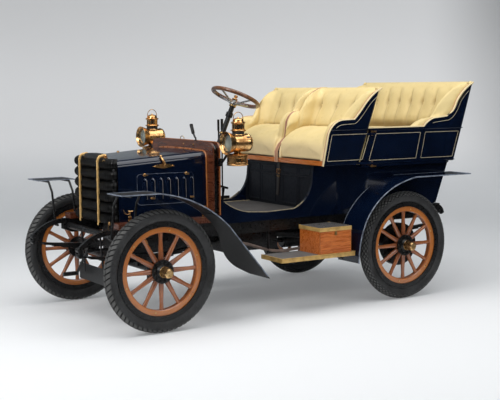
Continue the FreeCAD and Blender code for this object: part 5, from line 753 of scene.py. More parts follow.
def radiator():
    """Six gilled tubes, one above another, with a smooth header tank over them.

    Every gill is three rings about the tube: up to the rim, along it and down again; the radius
    follows a repeating step of 36, 36, 24 and 24 mm. The tubes turn back at both sides of the car.
    """
    bend, gill_count = 0.084, 118
    straight = 0.304 - bend
    turn = np.linspace(0, math.radians(58), 12)
    arc = np.column_stack([ROW_X - bend * (1 - np.cos(turn)), straight + bend * np.sin(turn)])
    half = np.concatenate([[[ROW_X, 0.0]], arc])
    line = evenly(np.concatenate([half[:0:-1] * (1, -1), half]), 4 * gill_count)
    gill = np.array([1.0, 1.0, 0.66, 0.66])
    scale = np.tile(gill, gill_count)
    scale[[0, -1]] = 0.66
    rows = []
    for k in range(6):
        path = np.column_stack([line, np.full(len(line), ROW_FOOT + ROW_STEP * k)])
        rows.append(carried(path, circle(0.0358, 18), Z, scale=scale))
    thing = piece("gilled_radiator_rows", rows, "gilled_black", merge=False, crease=30)
    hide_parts("radiator_tubes")
    crown = curve([(1.284, -0.128, 1.100), (1.284, -0.120, 1.132), (1.284, -0.070, 1.1435),
                   (1.284, 0.0, 1.1445), (1.284, 0.070, 1.1435), (1.284, 0.120, 1.132),
                   (1.284, 0.128, 1.100)], 5)
    shell = np.stack([np.column_stack([crown[:, 0] - 0.02, crown[:, 1] * 0.98, crown[:, 2] - 0.001]),
                      crown, np.column_stack([crown[:, 0] + 0.036, crown[:, 1], crown[:, 2]]),
                      np.column_stack([crown[:, 0] + 0.043, crown[:, 1] * 0.97, crown[:, 2] - 0.006]),
                      np.column_stack([crown[:, 0] + 0.045, crown[:, 1] * 0.90, crown[:, 2] * 0.985])])
    back = np.column_stack([crown[:, 0] - 0.02, crown[:, 1] * 0.0, np.full(len(crown), 1.06)])
    front = np.column_stack([crown[:, 0] + 0.045, crown[:, 1] * 0.0, np.full(len(crown), 1.06)])
    grid = np.concatenate([back[None], shell, front[None]])
    ends = surface(grid.transpose(1, 0, 2))
    walls = [brick((1.270, side * 0.150 - 0.145, 0.678), (1.300, side * 0.150 + 0.145, 1.085), 0.004)
             for side in (1, -1)]
    piece("radiator_header_tank", [ends] + walls, "gilled_black", crease=50)
    studs, bands = [], []
    for side in (1, -1):
        y = side * BAND_Y
        line = bent([(1.3455, y, 0.682), (1.3455, y, 1.120), (1.318, y, 1.1330), (1.286, y, 1.1345)], 0.038,
                    8)
        bands.append(carried(line, circle(0.0095, 14, 0.62), Y))
        studs += [(1.3512, y, z) for z in np.append(ROW_FOOT + ROW_STEP * (np.arange(6) - 0.5), 1.096)]
    bands.append(placed(dome(0.0100, 0.0040, 14), studs, facing(X)))
    straps = piece("radiator_brass_bands", bands, "brass", finish=BAND_BRASS)
    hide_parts("radiator_bands")
    cap = turned([(0.0001, 0.030), (0.008, 0.0295), (0.011, 0.026), (0.0115, 0.020), (0.0085, 0.018),
                  (0.0085, 0.014), (0.015, 0.013), (0.0155, 0.008), (0.014, 0.0005), (0.0001, 0.0)],
                 (1.292, 0.156, 1.110), Z, 20)
    tap = turned([(0.0001, 0.028), (0.006, 0.027), (0.0075, 0.020), (0.0060, 0.014), (0.0105, 0.012),
                  (0.0105, 0.004), (0.0080, 0.0), (0.0001, 0.0)], (1.320, 0.205, 1.084), (0.55, 0.25, 0.8),
                 16)
    lever = rod(bent([(1.330, 0.212, 1.105), (1.336, 0.222, 1.112), (1.338, 0.246, 1.106)], 0.006), 0.0030,
                8)
    piece("radiator_filler_cap", [cap], "brass")
    piece("radiator_tap", [tap, lever], "brass", finish=OLD_BRASS)
    pipe = rod(bent([(1.315, 0.208, 1.092), (1.300, 0.236, 1.094), (1.262, 0.262, 1.088),
                     (1.230, 0.268, 1.084)], 0.018), 0.0062, 12)
    union = turned([(0.0001, -0.008), (0.0092, -0.008), (0.0100, -0.005), (0.0100, 0.005), (0.0092, 0.008),
                    (0.0001, 0.008)], (1.252, 0.2645, 1.0862), (-0.9, 0.14, -0.1), 6)
    piece("steam_pipe", [pipe, union], "grey_steel")
    cock = turned([(0.0001, 0.030), (0.006, 0.029), (0.007, 0.018), (0.010, 0.016), (0.010, 0.006),
                   (0.007, 0.004), (0.007, 0.0), (0.0001, 0.0)], (1.318, 0.262, 0.700), (0.4, 0.5, -0.8),
                  16)
    handle = rod(bent([(1.324, 0.268, 0.690), (1.338, 0.282, 0.684), (1.340, 0.284, 0.650)], 0.008), 0.0028,
                 8)
    piece("drain_cock", [cock, handle], "brass")


def bonnet_wall(x, z):
    """Distance of the bonnet's leaning side from the centre line; the bonnet widens to the dash."""
    nose, dash, foot = 1.280, 0.619, 0.698
    share = (nose - x) / (nose - dash)
    return 0.332 + 0.040 * share - 0.012 * (z - foot) / 0.36


def bonnet_fittings():
    """Turn-buttons, the lifting handle, and the catches with their chain."""
    for word, side in SIDES:
        brass = []
        for x, z in ((1.090, 1.005), (0.779, 1.003), (1.040, 0.846), (0.745, 0.842)):
            y = bonnet_wall(x, z) + 0.0025
            knob = turned([(0.0001, 0.011), (0.006, 0.0105), (0.008, 0.008), (0.008, 0.003), (0.011, 0.001),
                           (0.011, -0.001), (0.0001, -0.001)], (x, y, z), Y, 18)
            wing = slab(oblong(0.034, 0.013, 0.0062, 5), 0.0055, (x, y + 0.010, z), (1, 0, 0.08),
                        (-0.08, 0, 1), 0.0016)
            brass += [knob, wing]
        x0, x1, z0 = 0.864, 1.027, 1.060
        plate_y = bonnet_wall(0.945, z0) + 0.003
        run = np.linspace(0, TAU, 41)[:-1]
        lens = np.stack([0.082 * np.cos(run), 0.0150 * np.sin(run) * (1 - 0.25 * np.cos(run) ** 2)], 1)
        brass.append(slab(lens, 0.0075, ((x0 + x1) / 2, plate_y, z0), X, Z, 0.0030))
        arm = [(0.945, plate_y + 0.002, z0 + 0.004), (0.950, plate_y + 0.012, z0 + 0.022),
               (0.958, plate_y + 0.006, z0 + 0.042), (0.962, plate_y - 0.012, z0 + 0.062)]
        brass.append(rod(curve(arm, 5), 0.0085, 12, Y, scale=np.linspace(1.35, 0.72, 16)))
        brass.append(turned([(0.0001, 0.009), (0.007, 0.008), (0.0105, 0.003), (0.0105, -0.003),
                             (0.007, -0.008), (0.0001, -0.009)], (0.962, plate_y - 0.013, z0 + 0.064),
                            (0.2, -0.4, 0.9), 16))
        for x in (x0 + 0.014, x1 - 0.014):
            brass.append(turned([(0.0001, 0.0035), (0.004, 0.003), (0.006, 0.0), (0.006, -0.002),
                                 (0.0001, -0.002)], (x, plate_y + 0.0038, z0), Y, 12))
        for x in (1.205, 0.655):
            y = bonnet_wall(x, 0.715) + 0.004
            brass.append(rod([(x, y, 0.706), (x, y, 0.765)], 0.0045, 10, X))
            brass.append(rod([(x - 0.016, y + 0.003, 0.768), (x + 0.016, y + 0.003, 0.768)], 0.0042, 10))
            brass.append(slab(oblong(0.026, 0.034, 0.006), 0.004, (x, y - 0.003, 0.716), X, Z, 0.0012))
        sag = np.linspace(0, 1, 15)
        chain = np.column_stack([1.205 + 0.055 * sag, 0.352 - 0.004 * sag,
                                 0.768 + 0.012 * sag - 0.10 * sag * (1 - sag)])
        links = []
        for k in range(14):
            mid, along = (chain[k] + chain[k + 1]) / 2, unit(chain[k + 1] - chain[k])
            other = unit(np.cross(along, (0, 1, 0) if k % 2 else (0.2, 0.1, 1)))
            loop = np.array([mid + 0.0042 * math.cos(t) * along + 0.0021 * math.sin(t) * other
                             for t in np.arange(8) / 8 * TAU])
            links.append(rod(loop, 0.0007, 5, np.cross(along, other), True))
        brass += links
        piece("bonnet_%s_brass" % word, brass if side > 0 else [flipped(part) for part in brass], "brass")


radiator()
bonnet_fittings()


# ------------------------------------------------------------------------------------------
# Seats
# ------------------------------------------------------------------------------------------
SEAT_FOOT, SEAT_TOP = low("passenger_seat_tub")[2], high("passenger_seat_tub")[2]
SEAT_FRONT = high("passenger_seat_tub")[0]
SEAT_HEAD, SEAT_WALL, SEAT_ARM = low("passenger_seat_tub")[0], 0.020, SEAT_FOOT + 0.341
BACK_LEAN, SIDE_LEAN = -0.131 / 0.555, 0.082 / 0.555
TUB_FOOT, TUB_TOP = low("tonneau_back")[2], high("tonneau_back")[2]
TUB_HEAD, TUB_WALL = low("tonneau_back")[0], 0.022
TUB_FRONT = high("rear_squab")[0]


def scroll(points, steps=9):
    """An edge of straight lines and parabolas; a third pair is the place half way along a bend."""
    run = [points[0][:2]]
    for point in points[1:]:
        begin, end = np.array(run[-1]), np.array(point[:2])
        if len(point) == 2:
            run.append(tuple(end))
            continue
        pull = 2 * np.array(point[2]) - (begin + end) / 2
        for share in np.linspace(0, 1, steps)[1:]:
            run.append(tuple(begin * (1 - share) ** 2 + 2 * pull * share * (1 - share) + end * share ** 2))
    return np.array(run)


SEAT_EDGE = scroll([
    (SEAT_FRONT, SEAT_FOOT), (SEAT_FRONT - 0.020, SEAT_ARM - 0.130),
    (SEAT_FRONT - 0.135, SEAT_ARM - 0.014, (SEAT_FRONT - 0.058, SEAT_ARM - 0.048)),
    (SEAT_HEAD + 0.225, SEAT_ARM - 0.010),
    (SEAT_HEAD + 0.144, SEAT_TOP - 0.124, (SEAT_HEAD + 0.184, SEAT_TOP - 0.178)),
    (SEAT_HEAD, SEAT_TOP, (SEAT_HEAD + 0.078, SEAT_TOP - 0.052))])
DIVIDER_EDGE = scroll([
    (SEAT_FRONT, SEAT_FOOT), (SEAT_FRONT, SEAT_FOOT + 0.079),
    (SEAT_FRONT - 0.082, SEAT_FOOT + 0.182, (SEAT_FRONT - 0.034, SEAT_FOOT + 0.139)),
    (SEAT_FRONT - 0.096, SEAT_ARM - 0.037),
    (SEAT_HEAD + 0.298, SEAT_ARM + 0.034, (SEAT_HEAD + 0.340, SEAT_ARM + 0.012)),
    (SEAT_HEAD + 0.228, SEAT_ARM + 0.041),
    (SEAT_HEAD + 0.156, SEAT_TOP - 0.064, (SEAT_HEAD + 0.184, SEAT_TOP - 0.124)),
    (SEAT_HEAD, SEAT_TOP, (SEAT_HEAD + 0.078, SEAT_TOP - 0.010))])
TUB_LOW, TUB_ARM = TUB_FOOT + 0.269, TUB_FOOT + 0.340
TUB_EDGE = scroll([
    (TUB_FRONT, TUB_LOW), (TUB_HEAD + 0.477, TUB_LOW),
    (TUB_HEAD + 0.385, TUB_ARM - 0.010, (TUB_HEAD + 0.439, TUB_ARM - 0.035)),
    (TUB_HEAD + 0.231, TUB_ARM + 0.006),
    (TUB_HEAD + 0.153, TUB_TOP - 0.139, (TUB_HEAD + 0.185, TUB_TOP - 0.211)),
    (TUB_HEAD, TUB_TOP, (TUB_HEAD + 0.087, TUB_TOP - 0.059))])


def seat_out(height):
    """Outer face of a front seat's side at a height."""
    return 0.600 + SIDE_LEAN * (height - SEAT_FOOT)


def seat_back(height):
    """Rear face of a front seat's back at a height."""
    return SEAT_HEAD + BACK_LEAN * (height - SEAT_TOP)


def tub_out(height):
    """Outer face of the tonneau's side at a height."""
    return 0.600 + 0.065 / 0.602 * (height - TUB_FOOT)


def tub_back(height):
    """Rear face of the tonneau's back at a height."""
    return TUB_HEAD - 0.128 / 0.602 * (height - TUB_TOP)


def lining(name, body, node, left, right, back, depth, corners, low_z, button, crease_z, count_back):
    """The buttoned leather inside a seat's two sides and back, as one closed padded wall.

    Seen from above it runs along the left side, round a corner, along the back, round the other
    corner and along the right side. At each place its section goes up the wood, over a rounded
    lip and down the leather. The leather swells between the upright channels that pass through
    the buttons, and each button draws in a round dimple.
    """
    (left_y, left_edge), (right_y, right_edge) = left, right
    back_x, top_z, back_depth = back
    side_depth, other_depth = depth
    hard, soft = corners
    pitch, first, button_z, swell = button
    front_x = left_edge[0, 0]
    wood_end = back_x(top_z) + hard[0]
    other_end = back_x(top_z) + hard[1]

    def side_samples(edge, end):
        keep = edge[edge[:, 0] > end]
        cut = np.array([[end, np.interp(-end, -edge[:, 0], edge[:, 1])]])
        return evenly(np.concatenate([keep, cut]), 34)

    near, far = side_samples(left_edge, wood_end), side_samples(right_edge, other_end)
    turn = np.linspace(0, math.pi / 2, 9)[1:-1]
    corner_top = np.interp(-(wood_end - hard[0] * np.sin(turn)), -left_edge[:, 0], left_edge[:, 1])
    other_top = np.interp(-(other_end - hard[1] * np.sin(turn)), -right_edge[:, 0], right_edge[:, 1])
    across = np.linspace(0, 1, count_back)
    tops = np.concatenate([near[:, 1], corner_top, np.full(count_back, top_z), other_top[::-1],
                           far[::-1, 1]])
    top = tops[:, None]
    lip = np.minimum(0.050, 0.5 * (top - low_z))
    bend = np.linspace(0, math.pi / 2, 10)[None]
    wood = low_z + (top - low_z) * np.linspace(0, 1, 5)[None, :-1]
    rounded = top - lip + (lip + 0.004) * np.cos(bend)
    face = low_z + (top - lip - low_z) * np.linspace(1, 0, 26)[None, 1:]
    height = np.concatenate([wood, rounded, face], 1)
    fill = np.concatenate([np.zeros(wood.shape[1]), np.sin(bend[0]) ** 0.85, np.ones(face.shape[1])])
    share = (height - low_z) / (top_z - low_z)
    thick = back_depth[0] + (back_depth[1] - back_depth[0]) * share
    wood_x, left_wood, right_wood = back_x(height), left_y(height), right_y(height)
    leather_x = wood_x + thick
    n = (len(near), len(turn), count_back, len(turn), len(far))
    rows = np.split(np.arange(sum(n)), np.cumsum(n)[:-1])
    hard_x, hard_y = np.zeros_like(height), np.zeros_like(height)
    soft_x, soft_y = np.zeros_like(height), np.zeros_like(height)
    out = np.zeros((len(height), 2))
    ends, walls, depths = (wood_end, other_end), (left_wood, right_wood), (side_depth, other_depth)
    for k, (samples, angle, sign) in enumerate(((near, turn, 1), (far[::-1], turn[::-1], -1))):
        part = rows[4 * k]
        reach = ((front_x - samples[:, 0]) / (front_x - ends[k]))[:, None]
        hard_x[part] = front_x - reach * (front_x - wood_x[part] - hard[k])
        soft_x[part] = front_x - reach * (front_x - leather_x[part] - soft[k])
        hard_y[part] = walls[k][part]
        soft_y[part] = walls[k][part] - sign * depths[k]
        out[part] = (0, -sign)
        part = rows[1 + 2 * k]
        sine, cosine = np.sin(angle)[:, None], np.cos(angle)[:, None]
        hard_x[part] = wood_x[part] + hard[k] * (1 - sine)
        hard_y[part] = walls[k][part] - sign * hard[k] * (1 - cosine)
        soft_x[part] = leather_x[part] + soft[k] * (1 - sine)
        soft_y[part] = walls[k][part] - sign * depths[k] - sign * soft[k] * (1 - cosine)
        out[part] = np.column_stack([np.sin(angle), -sign * np.cos(angle)])
    part, mix = rows[2], across[:, None]
    hard_x[part], soft_x[part] = wood_x[part], leather_x[part]
    hard_y[part] = (left_wood[part] - hard[0]) * (1 - mix) + (right_wood[part] + hard[1]) * mix
    soft_y[part] = (left_wood[part] - side_depth - soft[0]) * (1 - mix) + (
        right_wood[part] + other_depth + soft[1]) * mix
    out[part] = (1, 0)
    level = np.abs(height[:, 14:] - button_z).argmin(1) + 14
    track = np.stack([soft_x[np.arange(len(level)), level], soft_y[np.arange(len(level)), level]], 1)
    girth = np.concatenate([[0], np.cumsum(np.linalg.norm(np.diff(track, axis=0), axis=1))])
    middle_row = rows[2][count_back // 2]
    girth = (girth[middle_row] + track[middle_row, 1] - girth)[:, None]
    phase = (girth - first) / pitch
    beside = (phase - np.round(phase)) * pitch
    above = height - button_z
    room = step_up(top - lip * 0.6 - height, 0.0, 0.05) * step_up(height, crease_z - 0.03, crease_z + 0.03)
    button_room = step_up(top - button_z, 0.035, 0.075)
    puff = swell * np.abs(np.sin(math.pi * phase)) ** 0.7 * room
    fan = 0.0045 + 0.05 * np.abs(above)
    channel = np.exp(-(beside / np.minimum(fan, 0.012)) ** 2) * room * button_room
    dimple = np.exp(-(beside ** 2 + 0.6 * above ** 2) / 0.021 ** 2) * button_room
    belly = 0.010 * np.exp(-((height - crease_z - 0.055) / 0.045) ** 2)
    wave = 0.0016 * np.sin(girth * 47 + 3 * np.sin(height * 31)) * np.sin(height * 53 + girth * 11)
    relief = (puff - 0.004 * channel - 0.017 * dimple + belly + wave) * fill
    x = hard_x + (soft_x - hard_x) * fill + out[:, :1] * relief
    y = hard_y + (soft_y - hard_y) * fill + out[:, 1:] * relief
    grid = np.stack([x, y, height], 2)
    # Painted shade for the finish: the button dimples, the channels, and the back's leather below the
    # cushion's crease.
    fold_shade = np.clip(0.62 * np.exp(-(beside ** 2 + 0.5 * above ** 2) / 0.017 ** 2) * button_room
                   + 0.25 * channel + 0.85 * (1 - step_up(height, crease_z - 0.002, crease_z + 0.026))
                   * (out[:, :1] > 0.5), 0, 1) * fill
    thing = piece(name, [surface(capped(grid))], "cream_leather", body, merge=False,
                  crease=180)
    ends = np.zeros((1, grid.shape[1]))
    marked(thing, "fold_shade", np.concatenate([ends, fold_shade, ends]))
    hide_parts(node)
    spots, ways = [], []
    for count in np.arange(-12, 13):
        place = first + count * pitch
        if not girth[-1, 0] < place < girth[0, 0]:
            continue
        row = int(np.abs(girth[:, 0] - place).argmin())
        if tops[row] - button_z < 0.07:
            continue
        column = int(level[row])
        spots.append(grid[row, column] + 0.001 * np.array([*out[row], 0]))
        ways.append(facing((*out[row], -0.1)))
    piece(name + "_buttons", [placed(dome(0.0085, 0.0055, 12), spots, np.array(ways))], "cream_leather",
          body)
    return thing


def bolster(name, body, node, sides, outline, sag, crown):
    """A stuffed seat cushion: its closed side outline carried across the car.

    Close to each end the outline shrinks a little towards its middle as a steep superellipse, and
    the top rises by the crown times the cosine of the way across.
    """
    near, far = sides
    across = np.concatenate([np.linspace(-1, -0.90, 9)[:-1], np.linspace(-0.90, 0.90, 36),
                             np.linspace(0.90, 1, 9)[1:]])
    keep = (1 - np.abs(across) ** 30) ** 0.5
    keep[0] = keep[-1] = 0.02
    heart = (outline.max(0) + outline.min(0)) / 2
    base = outline[:, 1].min()
    rise = (outline[:, 1] - base) / np.ptp(outline[:, 1])
    shape = outline[None] - heart
    shrink = 1 - 0.02 * (1 - keep[:, None, None]) - 0.12 * (1 - keep[:, None, None]) ** 6
    shape = heart + shape * shrink
    arch = crown * np.cos(across * math.pi / 2)[:, None] * rise[None]
    wave = 0.0018 * np.sin(across[:, None] * 9 + outline[None, :, 0] * 23) * rise[None]
    y = (near + far) / 2 + (far - near) / 2 * np.sign(across) * np.abs(across) ** 0.98
    y = y[:, None] + np.zeros(len(outline))
    y = y + sag * np.sin(rise * math.pi)[None] * np.sign(across[:, None]) * np.abs(across[:, None]) ** 6
    grid = np.stack([shape[:, :, 0], y, shape[:, :, 1] + arch + wave], 2)
    thing = piece(name, [surface(capped(grid))], "cream_leather", body, crease=180)
    swelled(thing, 0.0065, 0.006)
    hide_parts(node)
    return thing


def swelled(thing, voxel, most):
    """Blow a closed cushion up like a stuffed cloth bag, no point moving further than most.
    """
    scene = bpy.context.scene
    shell = thing.modifiers.new("shell", "REMESH")
    shell.mode, shell.voxel_size, shell.use_smooth_shade = "VOXEL", voxel, True
    fresh = bpy.data.meshes.new_from_object(thing.evaluated_get(bpy.context.evaluated_depsgraph_get()))
    thing.modifiers.clear()
    thing.data = fresh
    rest = np.empty(len(fresh.vertices) * 3, np.float32)
    fresh.vertices.foreach_get("co", rest)
    rest = rest.reshape(-1, 3)
    cloth = thing.modifiers.new("stuffing", "CLOTH")
    cloth.settings.use_pressure = True
    cloth.settings.uniform_pressure_force = 4.0
    cloth.settings.quality = 4
    cloth.settings.effector_weights.gravity = 0
    for moment in range(1, 21):
        scene.frame_set(moment)
    blown = thing.evaluated_get(bpy.context.evaluated_depsgraph_get()).to_mesh()
    full = np.empty(len(blown.vertices) * 3, np.float32)
    blown.vertices.foreach_get("co", full)
    move = full.reshape(-1, 3) - rest
    length = np.linalg.norm(move, axis=1, keepdims=True)
    move = move * np.minimum(1, most / np.maximum(length, 1e-9))
    thing.modifiers.clear()
    scene.frame_set(1)
    fresh.vertices.foreach_set("co", (rest + move).astype(np.float32).ravel())
    fresh.polygons.foreach_set("use_smooth", np.ones(len(fresh.polygons), bool))
    fresh.materials.clear()
    fresh.materials.append(FINISHES["cream_leather"])
    fresh.update()


def welt(name, body, path, side, radius, finish, up=Y):
    """A round piping sewn along an edge; the path is the left side's."""
    piece(name, [rod(path * (1, side, 1), radius, 10, up)], "cream_leather", body, finish=finish)


def edge_path(edge, outer, inset, lift=0.002):
    """The upper edge of a leaning side as places in the car, inset from its outer face."""
    normal = np.gradient(edge, axis=0)
    normal = unit(np.stack([-normal[:, 1], normal[:, 0]], 1))
    normal = np.where(normal[:, :1] < 0, -normal, normal)
    line = edge + lift * np.abs(normal)
    return np.column_stack([line[:, 0], outer(edge[:, 1]) - inset, line[:, 1]])


def corner_pad(place, radius):
    """A ball of leather over a top corner: a half circle turned about its upright."""
    rise = np.linspace(-math.pi / 2, math.pi / 2, 13)
    profile = radius * np.stack([np.cos(rise), np.sin(rise)], 1)
    profile[[0, -1], 0] = 0
    return turned(profile, place, Z, 20)


def front_seat(name, side, body):
    """Squab, cushion, pipings and wooden rail of one front seat; side is 1 on the left."""
    gap = 0.001

    def outer(height):
        return side * (seat_out(height) - SEAT_WALL - gap)

    def inner(height):
        return side * (0.023 + gap) + 0 * height

    low_z = SEAT_FOOT + 0.018
    button = (0.195, side * 0.090, 1.447, 0.017)
    back = (lambda height: seat_back(height) + SEAT_WALL + gap, SEAT_TOP, (0.118, 0.046))
    edge, divide = SEAT_EDGE[SEAT_EDGE[:, 0] < SEAT_FRONT - 0.001], DIVIDER_EDGE
    edge = np.concatenate([[[SEAT_FRONT - 0.004, SEAT_FOOT + 0.045]], edge[edge[:, 1] > SEAT_FOOT + 0.05]])
    divide = np.concatenate([[[SEAT_FRONT - 0.004, SEAT_FOOT + 0.045]],
                             divide[divide[:, 1] > SEAT_FOOT + 0.05] - (0.004, 0)])
    left, right = (outer, edge), (inner, divide)
    corners, soft, depth = (0.024, 0.003), (0.070, 0.050), (0.036, 0.024)
    if side < 0:
        left, right, corners, soft, depth = right, left, corners[::-1], soft[::-1], depth[::-1]
    lining(name + "_buttoned_squab", body, name + "_squab", left, right, back, depth, (corners, soft),
           low_z, button, 1.287, 56)
    outline = curve([(-0.226, 1.0585), (-0.2175, 1.085), (-0.2150, 1.125), (-0.2175, 1.158),
                     (-0.229, 1.187), (-0.250, 1.211), (-0.285, 1.239), (-0.330, 1.263), (-0.380, 1.278),
                     (-0.440, 1.285), (-0.505, 1.287), (-0.523, 1.278), (-0.512, 1.200), (-0.470, 1.064),
                     (-0.455, 1.0585), (-0.380, 1.0585), (-0.300, 1.0585)], 4, closed=True)
    ends = sorted((side * 0.0485, side * 0.565))
    bolster(name + "_stuffed_cushion", body, name + "_cushion", ends, outline, 0.006, 0.005)
    top = edge_path(SEAT_EDGE, seat_out, 0.0070)
    inset = edge_path(SEAT_EDGE, seat_out, 0.0165, 0.0035)
    welt(name + "_edge_piping", body, top, side, 0.0068, PALE_PIPE)
    welt(name + "_inner_piping", body, inset, side, 0.0050, PINK_PIPE)
    ridge = edge_path(DIVIDER_EDGE, lambda height: 0.0075 + 0 * height, 0.0, 0.0042)
    welt(name + "_divider_piping", body, ridge, side, 0.0042, PINK_PIPE)
    band = edge_path(DIVIDER_EDGE, lambda height: 0.0235 + 0 * height, 0.0, 0.0010)
    band_up = band[band[:, 2] < 1.165]
    piece(name + "_divider_band", [carried((band_up - (0, 0.0105, 0) + (0.0015, 0, 0)) * (1, side, 1),
                                           circle(0.0098, 12, 0.30), Y)], "cream_leather", body,
          finish=ROSE_BAND)
    over = edge_path(DIVIDER_EDGE, lambda height: 0.0175 + 0 * height, 0.0, 0.0005)
    piece(name + "_divider_roll", [carried(over[over[:, 2] > 1.150] * (1, side, 1),
                                           circle(0.0088, 12, 0.55), Y)], "cream_leather", body)
    head_y = np.linspace(0.006, seat_out(SEAT_TOP) - 0.010, 12)
    head = np.column_stack([np.full(12, SEAT_HEAD + 0.0135), head_y, np.full(12, SEAT_TOP - 0.0005)])
    piece(name + "_head_roll", [carried(head * (1, side, 1), circle(0.0130, 14, 0.60)),
                                corner_pad((SEAT_HEAD + 0.017, side * (seat_out(SEAT_TOP) - 0.0215),
                                            SEAT_TOP - 0.0075), 0.0170)], "cream_leather", body)
    rear = head - (0.0075, 0, 0.0015)
    welt(name + "_head_piping", body, rear, side, 0.0036, PINK_PIPE, Z)
    ends = sorted((side * 0.0245, side * 0.5795))
    piece(name + "_wooden_rail", [brick((-0.2185, ends[0], SEAT_FOOT + 0.001),
                                        (-0.2128, ends[1], SEAT_FOOT + 0.0355), 0.0012, 0.0015)],
          "box_wood", body, finish=RAIL_WOOD)


front_seat("passenger", 1, "passenger_seat")
front_seat("driver", -1, "car")


def rear_seat():
    """The tonneau's lining, cushion and pipings."""
    gap = 0.001
    back = (lambda height: tub_back(height) + TUB_WALL + gap, TUB_TOP, (0.100, 0.060))
    lining("tonneau_buttoned_squab", "car", "rear_squab",
           (lambda height: tub_out(height) - TUB_WALL - gap, TUB_EDGE),
           (lambda height: -tub_out(height) + TUB_WALL + gap, TUB_EDGE), back, (0.038, 0.038),
           ((0.016, 0.016), (0.085, 0.085)), TUB_FOOT + 0.002, (0.142, 0.071, 1.462, 0.017), 1.292, 120)
    front, back_x = high("rear_cushion")[0], low("rear_cushion")[0]
    base, top = TUB_FOOT + 0.001, high("rear_cushion")[2]
    outline = curve([(front - 0.008, base), (front - 0.0005, base + 0.05), (front, base + 0.12),
                     (front - 0.012, top - 0.045), (front - 0.045, top - 0.015), (front - 0.12, top),
                     (front - 0.22, top + 0.012), (front - 0.30, top + 0.018), (back_x + 0.02, top + 0.010),
                     (back_x, top - 0.03), (back_x, base + 0.04), (back_x + 0.01, base),
                     (front - 0.20, base)], 5, closed=True)
    half = high("rear_cushion")[1] - 0.006
    bolster("tonneau_stuffed_cushion", "car", "rear_cushion", (-half, half), outline, 0.006, 0.012)
    top_edge = edge_path(TUB_EDGE, tub_out, 0.0075)
    inset = edge_path(TUB_EDGE, tub_out, 0.0180, 0.0035)
    for word, side in SIDES:
        welt("tonneau_%s_piping" % word, "car", top_edge, side, 0.0074, PALE_PIPE)
        welt("tonneau_%s_inner_piping" % word, "car", inset, side, 0.0038, PINK_PIPE)
    half = tub_out(TUB_TOP) - 0.010
    head_y = np.linspace(-half, half, 25)
    head = np.column_stack([np.full(25, TUB_HEAD + 0.0145), head_y, np.full(25, TUB_TOP - 0.0005)])
    pads = [corner_pad((TUB_HEAD + 0.018, side * (half - 0.0115), TUB_TOP - 0.0075), 0.0175)
            for side in (1, -1)]
    piece("tonneau_head_roll", [carried(head, circle(0.0140, 14, 0.6))] + pads, "cream_leather")
    welt("tonneau_head_piping", "car", head - (0.0090, 0, 0.0015), 1, 0.0036, PINK_PIPE, Z)


def tonneau_shell():
    """The panelled back of the tonneau with its two close-bent corners, as one closed wall.

    The wall starts on each side a little ahead of the corner. Its top follows the side edge, and
    both faces lean outwards with height.
    """
    turn = np.linspace(0, math.pi / 2, 8)
    levels = np.linspace(0, 1, 12)[:, None]
    front_x = high("tonneau_back")[0] + 0.004
    start = np.array([front_x, front_x - 0.06])
    inner_r, outer_r = 0.010, 0.030

    def face(height, inset, radius):
        back_x, side_y = tub_back(height) + inset, tub_out(height) - inset
        flat = np.stack([np.column_stack([np.full(len(height), place), side_y[:, 0]]) for place in start],
                        1)
        arc = np.stack([back_x + radius * (1 - np.sin(turn)), side_y - radius * (1 - np.cos(turn))], -1)
        half_run = np.concatenate([flat, arc], 1)
        return np.concatenate([half_run, half_run[:, ::-1] * (1, -1)], 1)

    tops = np.interp(-face(np.array([[TUB_TOP]]), 0, outer_r)[0, :, 0], -TUB_EDGE[:, 0], TUB_EDGE[:, 1])
    sheets = []
    for inset, radius in ((0.0, outer_r), (TUB_WALL, inner_r)):
        rows = []
        for share in levels[:, 0]:
            height = TUB_FOOT + share * (tops - TUB_FOOT)
            run = np.array([face(np.array([[z]]), inset, radius)[0, k] for k, z in enumerate(height)])
            rows.append(np.column_stack([run, height]))
        sheets.append(np.array(rows))
    ring = np.concatenate([sheets[0], sheets[1][::-1]]).transpose(1, 0, 2)
    thing = piece("tonneau_panelled_back", [surface(capped(ring))], "navy_paint", crease=25)
    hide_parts("tonneau_back")


tonneau_shell()
rear_seat()


# ------------------------------------------------------------------------------------------
# Coach lines and mouldings on the body
# ------------------------------------------------------------------------------------------
def ruled(points, outer, side, radius=0.0021, closed=True):
    """A painted line through (x, z) points on a leaning side, standing a hair proud of it."""
    line = np.column_stack([points[:, 0], np.zeros(len(points)), points[:, 1]])
    if closed:
        start = (line[:1] + line[-1:]) / 2
        line = bent(np.concatenate([start, line, start]), 0.006, 4)[:-1]
    line[:, 1] = outer(line[:, 2]) - 0.0006
    return carried(line * (1, side, 1), circle(radius, 8), Y, closed)


def inside_edge(edge, inset, first, last):
    """A line parallel to an edge and below it, between two places along the car."""
    normal = unit(np.stack([-np.gradient(edge[:, 1]), np.gradient(edge[:, 0])], 1))
    normal = np.where(normal[:, 1:] > 0, -normal, normal)
    line = evenly(edge + inset * normal, 90)
    return line[(line[:, 0] > first) & (line[:, 0] < last)]


def half_round(points, outer, side, width, proud):
    """A bead with a rounded face along (x, z) points on a leaning side."""
    line = np.column_stack([points[:, 0], outer(points[:, 1]) - 0.0005, points[:, 1]])
    return carried(line * (1, side, 1), circle(width / 2, 14, 2 * proud / width), Z)


